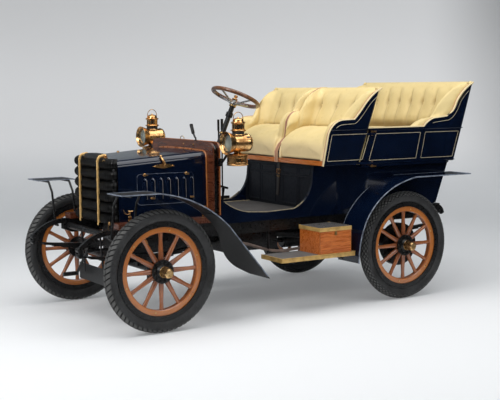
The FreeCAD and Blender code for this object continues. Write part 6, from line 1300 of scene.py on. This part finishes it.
def body_lines():
    """Cream lining, the belt bead, and the framed panels of the seat and tonneau sides."""
    for word, side, body in (("left", 1, "passenger_seat"), ("right", -1, "car")):
        frame_line = np.array([(-0.262, 1.246), (-0.606, 1.246), (-0.561, 1.056), (-0.240, 1.056)])
        sweep = inside_edge(SEAT_EDGE, 0.030, SEAT_HEAD + 0.034, SEAT_FRONT - 0.075)
        piece("seat_%s_lining" % word, [ruled(frame_line, seat_out, side),
                                        ruled(sweep, seat_out, side, 0.0018, False)], "cream_leather", body,
              finish=CREAM_LINE)
        belt = np.array([(-0.247, 1.2780), (-0.400, 1.2790), (-0.6095, 1.2800)])
        sill = np.array([(-0.219, 1.0265), (-0.400, 1.0265), (-0.5495, 1.0265)])
        piece("seat_%s_belt" % word, [half_round(belt, seat_out, side, 0.022, 0.0045),
                                      half_round(sill, seat_out, side, 0.009, 0.0025)], "navy_paint", body)
    for word, side in SIDES:
        door = np.array([(-0.676, 1.243), (-1.110, 1.243), (-1.083, 1.047), (-0.626, 1.047)])
        rear = np.array([(-1.158, 1.243), (-1.500, 1.243), (-1.457, 1.047), (-1.133, 1.047)])
        sweep = inside_edge(TUB_EDGE, 0.030, TUB_HEAD + 0.034, -1.215)
        piece("tonneau_%s_lining" % word, [ruled(door, tub_out, side), ruled(rear, tub_out, side),
                                           ruled(sweep, tub_out, side, 0.0018, False)], "cream_leather",
              finish=CREAM_LINE)
        belt = np.array([(-0.6260, 1.2690), (-1.150, 1.2690), (-1.5340, 1.2690)])
        foot = np.array([(-0.5640, 1.0235), (-1.150, 1.0235), (-1.4820, 1.0235)])
        post = np.array([(-1.1340, 1.262), (-1.1080, 1.030)])
        piece("tonneau_%s_belt" % word, [half_round(belt, tub_out, side, 0.018, 0.0040),
                                         half_round(foot, tub_out, side, 0.012, 0.0035)], "navy_paint")
        line = np.column_stack([post[:, 0], tub_out(post[:, 1]) - 0.0004, post[:, 1]]) * (1, side, 1)
        piece("tonneau_%s_post" % word, [carried(line, circle(0.011, 12, 0.25), X)], "navy_paint")


REAR_WING = scroll([(-1.483, 0.9225), (-0.929, 0.9225), (-0.465, 0.634, (-0.651, 0.824)),
                    (-0.393, 0.323, (-0.410, 0.484))], 14)
FRONT_WING = scroll([(1.480, 0.9225), (1.215, 0.9225), (0.696, 0.674, (0.929, 0.839)), (0.379, 0.295)], 14)


def wing_beads():
    """The wired edges of the four wings, painted lighter as a highlight.

    A front wing's edge ends where its tail plate takes over, further forward on the inside.
    """
    wings = (("rear_wing", REAR_WING, (high("rear_wings")[1] - 0.001, 0.0042), (0.5425, 0.0026)),
             ("front_wing", FRONT_WING, (high("front_wings")[1] - 0.001, 0.0040), (0.5760, 0.0030)))
    for name, run, outer, inner in wings:
        for word, side in SIDES:
            beads = []
            for (reach, radius), limit in ((outer, 0.394), (inner, 0.66)):
                line = run
                if name == "front_wing":
                    share = np.clip((run[-2, 0] - limit) / (run[-2, 0] - run[-1, 0]), 0, 1)
                    line = np.concatenate([run[:-1], [run[-2] + (run[-1] - run[-2]) * share]])
                line = np.column_stack([line[:, 0], np.full(len(line), reach * side), line[:, 1] - 0.0015])
                beads.append(rod(line, radius, 8, Y))
            across = np.array([(run[0, 0], side * reach, run[0, 1] - 0.0015)
                               for reach in (outer[0], inner[0])])
            beads.append(rod(across, outer[1], 8, Z))
            # Painted highlight: the beads are pale grey-blue for the light along the wings' edges.
            piece("%s_%s_wired_edge" % (word, name), beads, "navy_paint", finish=PAINTED_EDGE_HIGHLIGHT)


def wing_tails():
    """The broad dull plate behind each front wheel, from the wing's outer edge in to the frame.

    It lies just under the wing's slope; its inner reach follows a table of places along the car.
    """
    x = np.concatenate([np.linspace(0.800, 0.480, 17), np.linspace(0.470, 0.3810, 14)])
    z = np.interp(-x, -FRONT_WING[:, 0], FRONT_WING[:, 1])
    reach = curve([(0.3800, 0.560), (0.394, 0.468), (0.411, 0.396), (0.441, 0.362), (0.485, 0.372),
                   (0.537, 0.419), (0.603, 0.500), (0.666, 0.556), (0.800, 0.578)], 8)
    inner = np.interp(x, reach[:, 0], reach[:, 1])
    slope = unit(np.gradient(np.column_stack([x, z]), axis=0))
    under = np.stack([-slope[:, 1], slope[:, 0]], 1)
    for word, side in SIDES:
        rows = []
        for share, depth in ((0, 0.0030), (0.5, 0.0030), (1, 0.0030), (1, 0.0056), (0.5, 0.0056),
                             (0, 0.0056)):
            y = (0.7815 + (inner - 0.7815) * share) * side
            rows.append(np.column_stack([x + under[:, 0] * depth, y, z + under[:, 1] * depth]))
        grid = np.stack(rows, 1)[:, ::side]
        piece(word + "_front_wing_tail", [surface(capped(grid))], "navy_paint",
              finish=DULL_BLACK)
        edge = np.column_stack([x + under[:, 0] * 0.0043, inner * side, z + under[:, 1] * 0.0043])
        piece(word + "_wing_tail_wire", [rod(edge, 0.0026, 8, Y)], "navy_paint", finish=DULL_BLACK)


body_lines()
wing_beads()
wing_tails()


# ------------------------------------------------------------------------------------------
# Dash, bonnet panel, lamps, steps, box and footwell
# ------------------------------------------------------------------------------------------
STEP_LOW, STEP_HIGH = low("steps"), high("steps")
BOX_LOW, LID_LOW, LID_HIGH = low("tool_box"), low("tool_box_lid"), high("tool_box_lid")


def bonnet_arch(x):
    """The bonnet's outline near its dash end, as the convex upper hull of the CAD points there."""
    points = np.array([vertex.co[:] for vertex in NODES["bonnet"].data.vertices])
    ring = points[(np.abs(points[:, 0] - low("bonnet")[0]) < 0.004) & (points[:, 2] > 0.690)][:, 1:]
    hull = []
    for point in ring[np.lexsort((ring[:, 1], ring[:, 0]))]:
        while len(hull) > 1:
            (y0, z0), (y1, z1) = hull[-2:]
            if (y1 - y0) * (point[1] - z0) - (z1 - z0) * (point[0] - y0) < 0:
                break
            hull.pop()
        hull.append(tuple(point))
    hull = np.array(hull)
    return np.column_stack([np.full(len(hull), x), hull])


def dash_trim():
    """Orange beading round the bonnet's opening, the boards' edges, screws, lever and wire handle."""
    face = high("dash")[0]
    arch = evenly(bonnet_arch(face + 0.0035), 90)
    piece("bonnet_opening_bead", [rod(arch, 0.0065, 10, X)], "box_wood", finish=EDGE_WOOD)
    z0, z1, half = low("dash")[2], high("dash")[2], high("dash")[1]
    rim = bent([(0.0, half, z0 + 0.004), (0.0, half, z1), (0.0, -half, z1), (0.0, -half, z0 + 0.004)],
               0.062, 10)
    for name, x in (("rear", low("dash")[0] + 0.007), ("front", face - 0.007)):
        line = rim + (x, 0, 0)
        inset = 0.0015
        line[:, 1] *= (half - inset) / half
        line[:, 2] -= inset * (line[:, 2] > z1 - 0.01)
        piece("dash_%s_edge" % name, [carried(line, oblong(0.0128, 0.0060, 0.0025), X)],
              "box_wood" if name == "rear" else "mahogany", finish=EDGE_WOOD if name == "rear"
              else FINISHES["mahogany"])
    heads = []
    for y in (0.035, 0.176):
        heads.append(turned([(0.0001, 0.0050), (0.004, 0.0045), (0.0075, 0.0020), (0.0080, -0.001),
                             (0.0001, -0.001)], (face + 0.0002, y, 1.187), X, 16))
    piece("dash_screws", heads, "brass")
    stem = curve([(0.588, 0.150, 1.205), (0.588, 0.158, 1.228), (0.588, 0.140, 1.245),
                  (0.588, 0.118, 1.276)], 5)
    grip = np.array([(0.588, 0.124, 1.262), (0.588, 0.112, 1.288), (0.588, 0.098, 1.316),
                     (0.588, 0.094, 1.330)])
    piece("dash_lever_stem", [rod(stem, 0.0065, 10), turned([(0.0001, 0.012), (0.012, 0.010),
                                                             (0.016, 0.004), (0.016, -0.004),
                                                             (0.0001, -0.004)], (0.588, 0.150, 1.207), Z,
                                                            18)], "black_iron")
    piece("dash_lever_grip", [rod(curve(grip, 5), 0.0125, 14, X,
                                  scale=np.concatenate([[0.72], np.linspace(0.95, 1.0, 14), [0.80]]))],
          "black_iron")
    ring = bent([(0.588, -0.012, 1.205), (0.588, -0.012, 1.240), (0.588, -0.064, 1.240),
                 (0.588, -0.064, 1.205)], 0.024, 8)
    piece("dash_wire_handle", [rod(ring, 0.0024, 8, X)], "brass", finish=OLD_BRASS)


def bonnet_panel():
    """Lines of painted highlight round the louvred panels, along the louvres' lips and on their tops."""
    for word, side in SIDES:
        frame_line = [(1.147, 1.011), (0.727, 1.011), (0.727, 0.804), (1.147, 0.804)]
        start = [(1.147, 0.9075)]
        line = np.array([(x, 0, z) for x, z in start + frame_line + start], float)
        line = bent(line, 0.028, 6)[:-1]
        line[:, 1] = bonnet_wall(line[:, 0], line[:, 2]) + 0.0028
        # Painted highlight along the panel's edge.
        piece("bonnet_%s_panel_line" % word, [carried(line * (1, side, 1), circle(0.0012, 8), Y, True)],
              "navy_paint", finish=PAINTED_EDGE_HIGHLIGHT)
        lips, tips = [], []
        for k in range(7):
            x = 1.090 - 0.058 * k
            path = [(x - 0.0115, bonnet_wall(x, z) + rise, z) for z, rise in
                    ((0.838, 0.0065), (0.850, 0.0105), (0.905, 0.0115), (0.960, 0.0105), (0.970, 0.0065))]
            lips.append(carried(curve(path, 3) * (1, side, 1), circle(0.0014, 8), X))
            tips.append(turned([(0.0001, 0.0030), (0.0050, 0.0024), (0.0085, 0.0), (0.0085, -0.002),
                                (0.0001, -0.002)], (x, side * (bonnet_wall(x, 0.978) + 0.0042), 0.9760),
                               (0.0, side * 0.75, 0.66), 14))
        # Painted highlights: the lips and tops are pale for the light that the louvres catch.
        piece("bonnet_%s_louvre_lip_highlights" % word, lips, "navy_paint", finish=PAINTED_LIP_HIGHLIGHT)
        piece("bonnet_%s_louvre_top_highlights" % word, tips, "navy_paint", finish=PAINTED_TIP_HIGHLIGHT)


# Profiles of the lamps' round parts: radius against the place along the car, or against height.
LAMP_Y, LAMP_Z, CHIMNEY_X, FONT_X = 0.622, 1.215, 0.525, 0.533
LAMP_DRUM = [
    (0.0001, 0.434), (0.030, 0.4350), (0.048, 0.4380), (0.0575, 0.4440), (0.0608, 0.4530),
    (0.0612, 0.4560), (0.0630, 0.4590), (0.0612, 0.4620), (0.0608, 0.4650), (0.0608, 0.5150),
    (0.0626, 0.5170), (0.0626, 0.5210), (0.0608, 0.5230), (0.0608, 0.5750), (0.0630, 0.5775),
    (0.0650, 0.5800), (0.0670, 0.5900), (0.0735, 0.6080), (0.0775, 0.6200), (0.0795, 0.6245),
    (0.0785, 0.6262), (0.0765, 0.6250), (0.0735, 0.6210), (0.0670, 0.6130), (0.0615, 0.6095),
    (0.0590, 0.6090), (0.0570, 0.6070), (0.0570, 0.5930), (0.0001, 0.5930)]
LAMP_CHIMNEY = [
    (0.0001, 1.2600), (0.0440, 1.2600), (0.0450, 1.2690), (0.0420, 1.2720), (0.0400, 1.2860),
    (0.0430, 1.2940), (0.0515, 1.2975), (0.0530, 1.3000), (0.0515, 1.3030), (0.0425, 1.3060),
    (0.0395, 1.3090), (0.0395, 1.3420), (0.0420, 1.3445), (0.0490, 1.3465), (0.0505, 1.3500),
    (0.0495, 1.3540), (0.0430, 1.3570), (0.0385, 1.3590), (0.0370, 1.3640), (0.0360, 1.3700),
    (0.0300, 1.3770), (0.0180, 1.3815), (0.0100, 1.3830), (0.0075, 1.3860), (0.0060, 1.3890),
    (0.0001, 1.3895)]
LAMP_FONT = [
    (0.0001, 1.0620), (0.0660, 1.0620), (0.0725, 1.0635), (0.0738, 1.0670), (0.0710, 1.0695),
    (0.0700, 1.0720), (0.0700, 1.0790), (0.0720, 1.0810), (0.0720, 1.0830), (0.0700, 1.0850),
    (0.0700, 1.1120), (0.0720, 1.1140), (0.0720, 1.1160), (0.0700, 1.1180), (0.0700, 1.1280),
    (0.0738, 1.1310), (0.0738, 1.1340), (0.0700, 1.1370), (0.0520, 1.1410), (0.0300, 1.1440),
    (0.0240, 1.1480), (0.0230, 1.1640), (0.0001, 1.1640)]


def eight_ways(start):
    """Eight level directions round a chimney, the first turned by a share of the step between."""
    angles = [TAU * (k + start) / 8 for k in range(8)]
    return [np.array([math.cos(angle), math.sin(angle), 0.0]) for angle in angles]


def lamp_brass(y, side):
    """Drum, chimney, font, bail, its two eyes, rivets, wick winder and chimney posts of one lamp."""
    arch = np.linspace(0, math.pi, 19)
    bow = np.column_stack([CHIMNEY_X + 0.0385 * np.cos(arch), np.full(19, y),
                           1.3800 + 0.0420 * np.sin(arch)])
    bail = np.concatenate([[(0.5650, y, 1.3490), (0.5645, y, 1.3650)], bow,
                           [(0.4855, y, 1.3650), (0.4850, y, 1.3490)]])
    parts = [turned(LAMP_DRUM, (0, y, LAMP_Z), X, 56), turned(LAMP_CHIMNEY, (CHIMNEY_X, y, 0), Z, 48),
             turned(LAMP_FONT, (FONT_X, y, 0), Z, 52), rod(bail, 0.0026, 8, Y)]
    parts += [turned([(0.0001, 0.003), (0.0050, 0.0022), (0.0055, -0.0022), (0.0001, -0.003)],
                     (x, y, 1.3495), Y, 12) for x in (0.5715, 0.4785)]
    turn = np.arange(18) / 18 * TAU
    spots = np.column_stack([np.full(18, 0.4385), y + 0.0500 * np.cos(turn),
                             LAMP_Z + 0.0500 * np.sin(turn)])
    parts.append(placed(dome(0.0026, 0.0018, 8), spots, facing(-X)))
    for x, angle in ((0.490, 42), (0.490, 96), (0.550, 20), (0.550, -24), (0.490, -30)):
        out = np.array([0.0, math.cos(math.radians(angle)) * side, math.sin(math.radians(angle))])
        parts.append(placed(dome(0.0050, 0.0046, 10), np.array([x, y, LAMP_Z]) + 0.0602 * out, facing(out)))
    knob = (FONT_X, y + 0.0790 * side, 1.1000)
    parts.append(rod([(FONT_X, y + 0.060 * side, 1.1000), knob], 0.0032, 10))
    parts.append(turned([(0.0001, 0.003), (0.0085, 0.0026), (0.0095, 0.0), (0.0085, -0.0026),
                         (0.0001, -0.003)], knob, Y, 14))
    for out in eight_ways(0):
        foot = np.array([CHIMNEY_X, y, 0.0]) + 0.0400 * out
        parts.append(rod([foot + 1.3070 * Z, foot + 1.3440 * Z], 0.0034, 8, Y))
    return parts


def lamp_dark(y, side):
    """The chimney's eight openings and the drum's vent as slabs of painted shade, the chimney's dark neck
    and the seal of its glass.
    """
    # Painted shade: near-black slabs stand for the chimney's openings and the drum's vent.
    parts = [slab(oblong(0.0190, 0.0250, 0.003, 3), 0.0018, np.array([CHIMNEY_X, y, 1.3255]) + 0.0382 * out,
                  np.cross(out, Z), Z, 0.0004) for out in eight_ways(0.5)]
    parts.append(turned([(0.0404, 1.2740), (0.0422, 1.2745), (0.0410, 1.2800), (0.0418, 1.2880),
                         (0.0440, 1.2930), (0.0420, 1.2935), (0.0400, 1.2860), (0.0404, 1.2740)],
                        (CHIMNEY_X, y, 0), Z, 40))
    parts.append(slab(oblong(0.034, 0.014, 0.006), 0.0016, (0.470, y + side * 0.0475, LAMP_Z + 0.0385), X,
                      (0, -side * 0.63, 0.78), 0.0004))
    parts.append(turned([(0.0570, 0.6095), (0.0600, 0.6110), (0.0632, 0.6115), (0.0640, 0.6095),
                         (0.0600, 0.6070), (0.0570, 0.6095)], (0, y, LAMP_Z), X, 48))
    return parts


def side_lamps():
    """The two oil side lamps: brass body, dark parts with openings of painted shade, and iron bracket."""
    for word, side in SIDES:
        y = LAMP_Y * side
        piece("lamp_%s_body" % word, lamp_brass(y, side), "brass", crease=40)
        piece("lamp_%s_dark_parts" % word, lamp_dark(y, side), "lamp_glass", finish=DARK_JOINTS_AND_OPENING_SHADE)
        hook = curve([(0.562, 0.436, 1.070), (0.562, 0.462, 1.074), (0.563, 0.500, 1.098),
                      (0.564, 0.548, 1.142), (0.564, 0.590, 1.163)], 6) * (1, side, 1)
        foot = slab(oblong(0.030, 0.056, 0.008), 0.006, (0.562, side * 0.4425, 1.074), X, Z, 0.0015)
        piece("lamp_%s_bracket" % word, [rod(hook, 0.0085, 12, X), foot], "black_iron")
    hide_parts("side_lamps")


def step_edging():
    """Brass strips round the running boards and the tool box's lid, and the box's hardware."""
    for word, side in SIDES:
        x0, x1, y0, y1 = STEP_LOW[0], STEP_HIGH[0], 0.490, STEP_HIGH[1]
        mid = (STEP_LOW[2] + STEP_HIGH[2]) / 2
        path = bent([(x1 + 0.0012, y0 + 0.004, mid), (x1 + 0.0012, y1 + 0.0012, mid),
                     (x0 - 0.0012, y1 + 0.0012, mid), (x0 - 0.0012, y0 + 0.004, mid)],
                    0.006, 4) * (1, side, 1)
        strip = carried(path, oblong(0.0042, STEP_HIGH[2] - STEP_LOW[2] + 0.002, 0.0014), Z)
        lip = carried(path * (1, 1, 0) + (0, 0, STEP_HIGH[2] + 0.0012), oblong(0.0120, 0.0022, 0.0009), Z)
        nails = [(x, side * (y1 + 0.0032), mid) for x in np.arange(x0 + 0.03, x1, 0.088)]
        studs = placed(dome(0.0032, 0.0016, 8), nails, facing(side * Y))
        piece("step_%s_edging" % word, [strip, lip, studs], "step_top", finish=EDGING)
    lid_mid = (LID_LOW[2] + LID_HIGH[2]) / 2
    x0, x1, y0, y1 = LID_LOW[0], LID_HIGH[0], LID_LOW[1], LID_HIGH[1]
    path = bent([(x0 + 0.02, y0 + 0.001, lid_mid), (x0, y0 + 0.001, lid_mid), (x0, y1, lid_mid),
                 (x1, y1, lid_mid), (x1, y0 + 0.001, lid_mid), (x1 - 0.02, y0 + 0.001, lid_mid)], 0.004, 4)
    band = carried(path, oblong(0.0034, LID_HIGH[2] - LID_LOW[2], 0.0012), Z)
    piece("tool_box_lid_band", [band], "step_top", "box_lid", finish=EDGING)
    bx1, by1 = high("tool_box")[0], high("tool_box")[1]
    corners = [rod([(x, by1 - 0.0004, BOX_LOW[2] + 0.001), (x, by1 - 0.0004, LID_LOW[2] - 0.002)], 0.0022,
                   8, X) for x in (bx1 - 0.0004, BOX_LOW[0] + 0.0004)]
    piece("tool_box_corner_beads", corners, "box_wood", finish=EDGE_WOOD)
    mid_x = (BOX_LOW[0] + bx1) / 2
    catch = [slab(oblong(0.022, 0.030, 0.005), 0.0026, (mid_x, by1 + 0.0012, LID_LOW[2] - 0.018), X, Z,
                  0.0008), turned([(0.0001, 0.006), (0.004, 0.0055), (0.0055, 0.002), (0.0055, -0.001),
                                   (0.0001, -0.001)], (mid_x, by1 + 0.0025, LID_LOW[2] - 0.020), Y, 14)]
    piece("tool_box_catch", catch, "brass", finish=OLD_BRASS)


def footwell():
    """Strap and buckle, heel-board mouldings, the pale strips of the floor edge and mat welts."""
    x = -0.2362
    strap_path = curve([(x + 0.003, 0.004, 1.020), (x + 0.004, 0.003, 0.985), (x + 0.004, 0.000, 0.930),
                        (x + 0.006, -0.004, 0.870), (x + 0.003, -0.012, 0.812), (x + 0.003, -0.022, 0.765)],
                       5)
    strap = carried(strap_path, oblong(0.034, 0.0036, 0.0014), X)
    piece("seat_strap", [strap], "cream_leather", finish=STRAP)
    loop = bent([(x + 0.0075, 0.002, 0.966), (x + 0.0075, 0.023, 0.966), (x + 0.0075, 0.023, 0.934),
                 (x + 0.0075, -0.021, 0.934), (x + 0.0075, -0.021, 0.966), (x + 0.0075, 0.002, 0.966)],
                0.006, 4)
    tongue = np.array([(x + 0.0080, 0.001, 0.966), (x + 0.0110, 0.001, 0.950), (x + 0.0092, 0.001, 0.933)])
    keeper = bent([(x + 0.0072, 0.001, 0.917), (x + 0.0072, 0.020, 0.917), (x + 0.0072, 0.020, 0.907),
                   (x + 0.0072, -0.018, 0.907), (x + 0.0072, -0.018, 0.917), (x + 0.0072, 0.001, 0.917)],
                  0.003, 3)
    piece("strap_buckle", [rod(loop[:-1], 0.0026, 8, X, True), rod(tongue, 0.0020, 8, Y),
                           rod(keeper[:-1], 0.0018, 8, X, True)], "brass")
    beads = []
    for y0, y1 in ((0.050, 0.235), (0.262, 0.400), (-0.400, -0.262), (-0.235, -0.050)):
        for z0, z1 in ((0.716, 0.925), (0.945, 0.990)):
            line = bent([(x, (y0 + y1) / 2, z1), (x, y1, z1), (x, y1, z0), (x, y0, z0), (x, y0, z1),
                         (x, (y0 + y1) / 2, z1)], 0.008, 4)[:-1]
            beads.append(carried(line, circle(0.0045, 10), X, True))
    piece("heel_board_mouldings", beads, "navy_paint")
    edge = scroll([(0.5535, 0.8150), (0.330, 0.712, (0.443, 0.744)), (0.175, 0.702), (-0.062, 0.710),
                   (-0.227, 0.915, (-0.189, 0.802)), (-0.237, 1.013)], 14)
    for word, side in SIDES:
        line = np.column_stack([edge[:, 0], np.full(len(edge), 0.4400 * side), edge[:, 1] + 0.0006])
        line = line[(line[:, 0] > -0.165) & (line[:, 0] < 0.52)]
        piece("footwell_%s_strip" % word, [carried(line, circle(0.0048, 12, 0.30), Y)], "floor_mat",
              finish=BEIGE)
    pull = curve([(0.420, 0.395, 0.500), (0.312, 0.395, 0.478), (0.093, 0.395, 0.412),
                  (-0.090, 0.395, 0.408), (-0.300, 0.395, 0.425)], 6)
    piece("brake_rod", [rod(pull, 0.0110, 12, Y)], "black_iron", finish=RUSTY_IRON)
    welts = [carried([(x, side * 0.405, 0.6915) for x in (-0.225, 0.10, 0.545)], circle(0.0075, 10, 0.4), Z)
             for side in (1, -1)]
    piece("floor_mat_edges", welts, "floor_mat", finish=BEIGE)


def controls():
    """Bright knob of the steering wheel and the two collars of its column."""
    centre = np.array([-0.036, -0.300, 1.511])
    axis = unit(np.array([-math.sin(math.radians(23.9)), 0.0, math.cos(math.radians(23.9))]))
    hub = centre - 0.033 * axis
    knob = turned([(0.0001, 0.052), (0.010, 0.050), (0.0155, 0.043), (0.0155, 0.036), (0.009, 0.031),
                   (0.009, 0.026), (0.021, 0.022), (0.0225, 0.017), (0.0205, 0.012), (0.0001, 0.012)], hub,
                  axis, 28)
    piece("steering_knob", [knob], "brass", "steering")
    collars = [turned([(0.0245, -0.006), (0.0275, -0.004), (0.0275, 0.004), (0.0245, 0.006), (0.0235, 0.0),
                       (0.0245, -0.006)], centre - place * axis, axis, 32) for place in (0.072, 0.300)]
    piece("column_collars", collars, "brass", finish=OLD_BRASS)


dash_trim()
bonnet_panel()
side_lamps()
step_edging()
footwell()
controls()


# ------------------------------------------------------------------------------------------
# Floor, light and camera
# ------------------------------------------------------------------------------------------
def studio_paper():
    """Pale paper for floor and wall, lit a little by itself where it is seen straight.

    Seen straight the wall is pale grey; seen in a polished surface it is dark, as the unlit
    part of a studio is, so that dark paint stays dark. From outside or below it is clear.
    """
    paper = Finish("studio_paper", (0.8, 0.8, 0.8), 0.7, Specular_IOR_Level=0.1)

    def along(direction):
        return paper.node("VectorMath", {0: paper.place, 1: direction},
                          operation="DOT_PRODUCT").outputs["Value"]

    split = paper.node("SeparateXYZ", {0: paper.place})
    flat = paper.node("CombineXYZ", {0: split.outputs[0], 1: split.outputs[1], 2: 0.0}).outputs[0]
    reach = paper.node("VectorMath", {0: flat}, operation="LENGTH").outputs["Value"]
    height = split.outputs[2]
    wall = paper.levels(height, 0.0, 0.9)
    sideways = along((-0.84, 0.543, 0.0))
    seen = paper.node("LightPath").outputs["Is Camera Ray"]
    tone = paper.blend(wall, (0.84, 0.845, 0.85), (0.74, 0.77, 0.79))
    # Painted light: for the camera the paper's own tone is lowered and a glow added, evenly on the floor,
    # which lifts the car's shadow, and on the wall fading along one side and higher up.
    tone = paper.blend(paper.maths("MULTIPLY", wall, seen), tone, (0.20, 0.205, 0.21))
    tone = paper.blend(paper.maths("MULTIPLY", seen, 0.17), tone, (0.0, 0.0, 0.0))
    glow = paper.maths("ADD", 0.51, paper.levels(sideways, -4.0, 1.5, 0.03, 0.09))
    glow = paper.maths("SUBTRACT", glow, paper.levels(sideways, 2.6, 4.2, 0.0, 0.30))
    glow = paper.maths("SUBTRACT", glow, paper.levels(height, 1.4, 3.2, 0.0, 0.10))
    glow = paper.maths("ADD", paper.maths("MULTIPLY", wall, paper.maths("SUBTRACT", glow, 0.14)), 0.14)
    paper.set("Emission Color", (0.975, 0.985, 1.0, 1))
    paper.set("Emission Strength", paper.maths("MULTIPLY", glow, seen))
    path = paper.node("LightPath")
    away = paper.levels(reach, 1.6, 4.0)
    beside = along((0.30, 0.95, 0.0))
    ahead = along((0.80, -0.60, 0.0))
    veil = paper.maths("MAXIMUM", paper.levels(beside, -0.8, 1.2),
                       paper.levels(ahead, 3.2, 0.8, 0.30, 0.86))
    unseen = paper.maths("MULTIPLY", path.outputs["Is Glossy Ray"], paper.maths("MULTIPLY", away, veil))
    paper.set("Base Color", paper.blend(unseen, tone, (0.012, 0.013, 0.015)))
    outside = paper.node("NewGeometry").outputs["Backfacing"]
    clear = paper.node("MixShader", {0: outside, 1: paper.shader.outputs[0],
                                     2: paper.node("BsdfTransparent").outputs[0]})
    paper.tree.links.new(clear.outputs[0], paper.tree.nodes["Material Output"].inputs[0])
    return paper.material


def studio_floor():
    """A round floor that curves up into a wall; its faces look inwards."""
    flat, bend = 5.5, 3.8
    profile = [(0.0001, 0), (2, 0), (4, 0), (flat, 0)]
    profile += [(flat + bend * math.sin(turn), bend - bend * math.cos(turn))
                for turn in np.linspace(0, math.pi / 2, 14)[1:]]
    points, quads = turned(profile + [(flat + bend, 7), (flat + bend, 11)], (0, 0, 0), Z, 96)
    mesh = bpy.data.meshes.new("studio_floor")
    mesh.from_pydata(points.tolist(), [], quads[:, ::-1].tolist())
    mesh.polygons.foreach_set("use_smooth", np.ones(len(mesh.polygons), bool))
    mesh.materials.append(studio_paper())
    floor = bpy.data.objects.new("studio_floor", mesh)
    bpy.context.scene.collection.objects.link(floor)


def studio_light():
    """A dim world, dimmer in reflections, and three soft boxes: overhead, ahead and at the left."""
    world = bpy.data.worlds.new("studio_world")
    bpy.context.scene.world = world
    world.use_nodes = True
    sky = world.node_tree.nodes["Background"]
    sky.inputs[0].default_value = (0.88, 0.92, 0.96, 1)
    path = world.node_tree.nodes.new("ShaderNodeLightPath")
    dim = world.node_tree.nodes.new("ShaderNodeMapRange")
    dim.inputs["To Min"].default_value, dim.inputs["To Max"].default_value = 0.36, 0.02
    world.node_tree.links.new(path.outputs["Is Glossy Ray"], dim.inputs["Value"])
    world.node_tree.links.new(dim.outputs[0], sky.inputs[1])
    boxes = [("overhead", (0.4, 0.9, 4.6), (0.2, 0.2, 0.6), 6.5, 4.0, 212),
             ("front_box", (5.2, 1.4, 3.4), (0.6, 0, 0.9), 2.4, 2.0, 105),
             ("left_box", (-1.5, 5.8, 3.6), (-0.6, 0, 0.9), 3.6, 1.6, 60)]
    for name, place, aim, width, depth, power in boxes:
        light = bpy.data.lights.new(name, "AREA")
        light.shape = "RECTANGLE"
        light.size, light.size_y, light.energy = width, depth, power
        lamp = bpy.data.objects.new(name, light)
        lamp.location = place
        lamp.rotation_euler = (Vector(aim) - Vector(place)).to_track_quat("-Z", "Y").to_euler()
        bpy.context.scene.collection.objects.link(lamp)
    bpy.context.scene.view_settings.view_transform = "Standard"


def camera():
    """A long lens ahead of the car's left side, a little above the lamps."""
    yaw, pitch, roll = (math.radians(angle) for angle in (-122.905, -5.995, -0.30))
    ahead = Vector((math.cos(pitch) * math.cos(yaw), math.cos(pitch) * math.sin(yaw), math.sin(pitch)))
    right = ahead.cross(Vector(Z)).normalized()
    up = right.cross(ahead)
    side = math.cos(roll) * right + math.sin(roll) * up
    top = -math.sin(roll) * right + math.cos(roll) * up
    lens = bpy.data.cameras.new("camera")
    lens.sensor_width, lens.lens = 36, 76.76
    lens.clip_end = 100
    eye = bpy.data.objects.new("camera", lens)
    eye.matrix_world = Matrix.Translation((4.3773, 6.7179, 1.583)) @ Matrix(
        (side, top, -ahead)).transposed().to_4x4()
    bpy.context.scene.collection.objects.link(eye)
    bpy.context.scene.camera = eye


studio_floor()
studio_light()
camera()
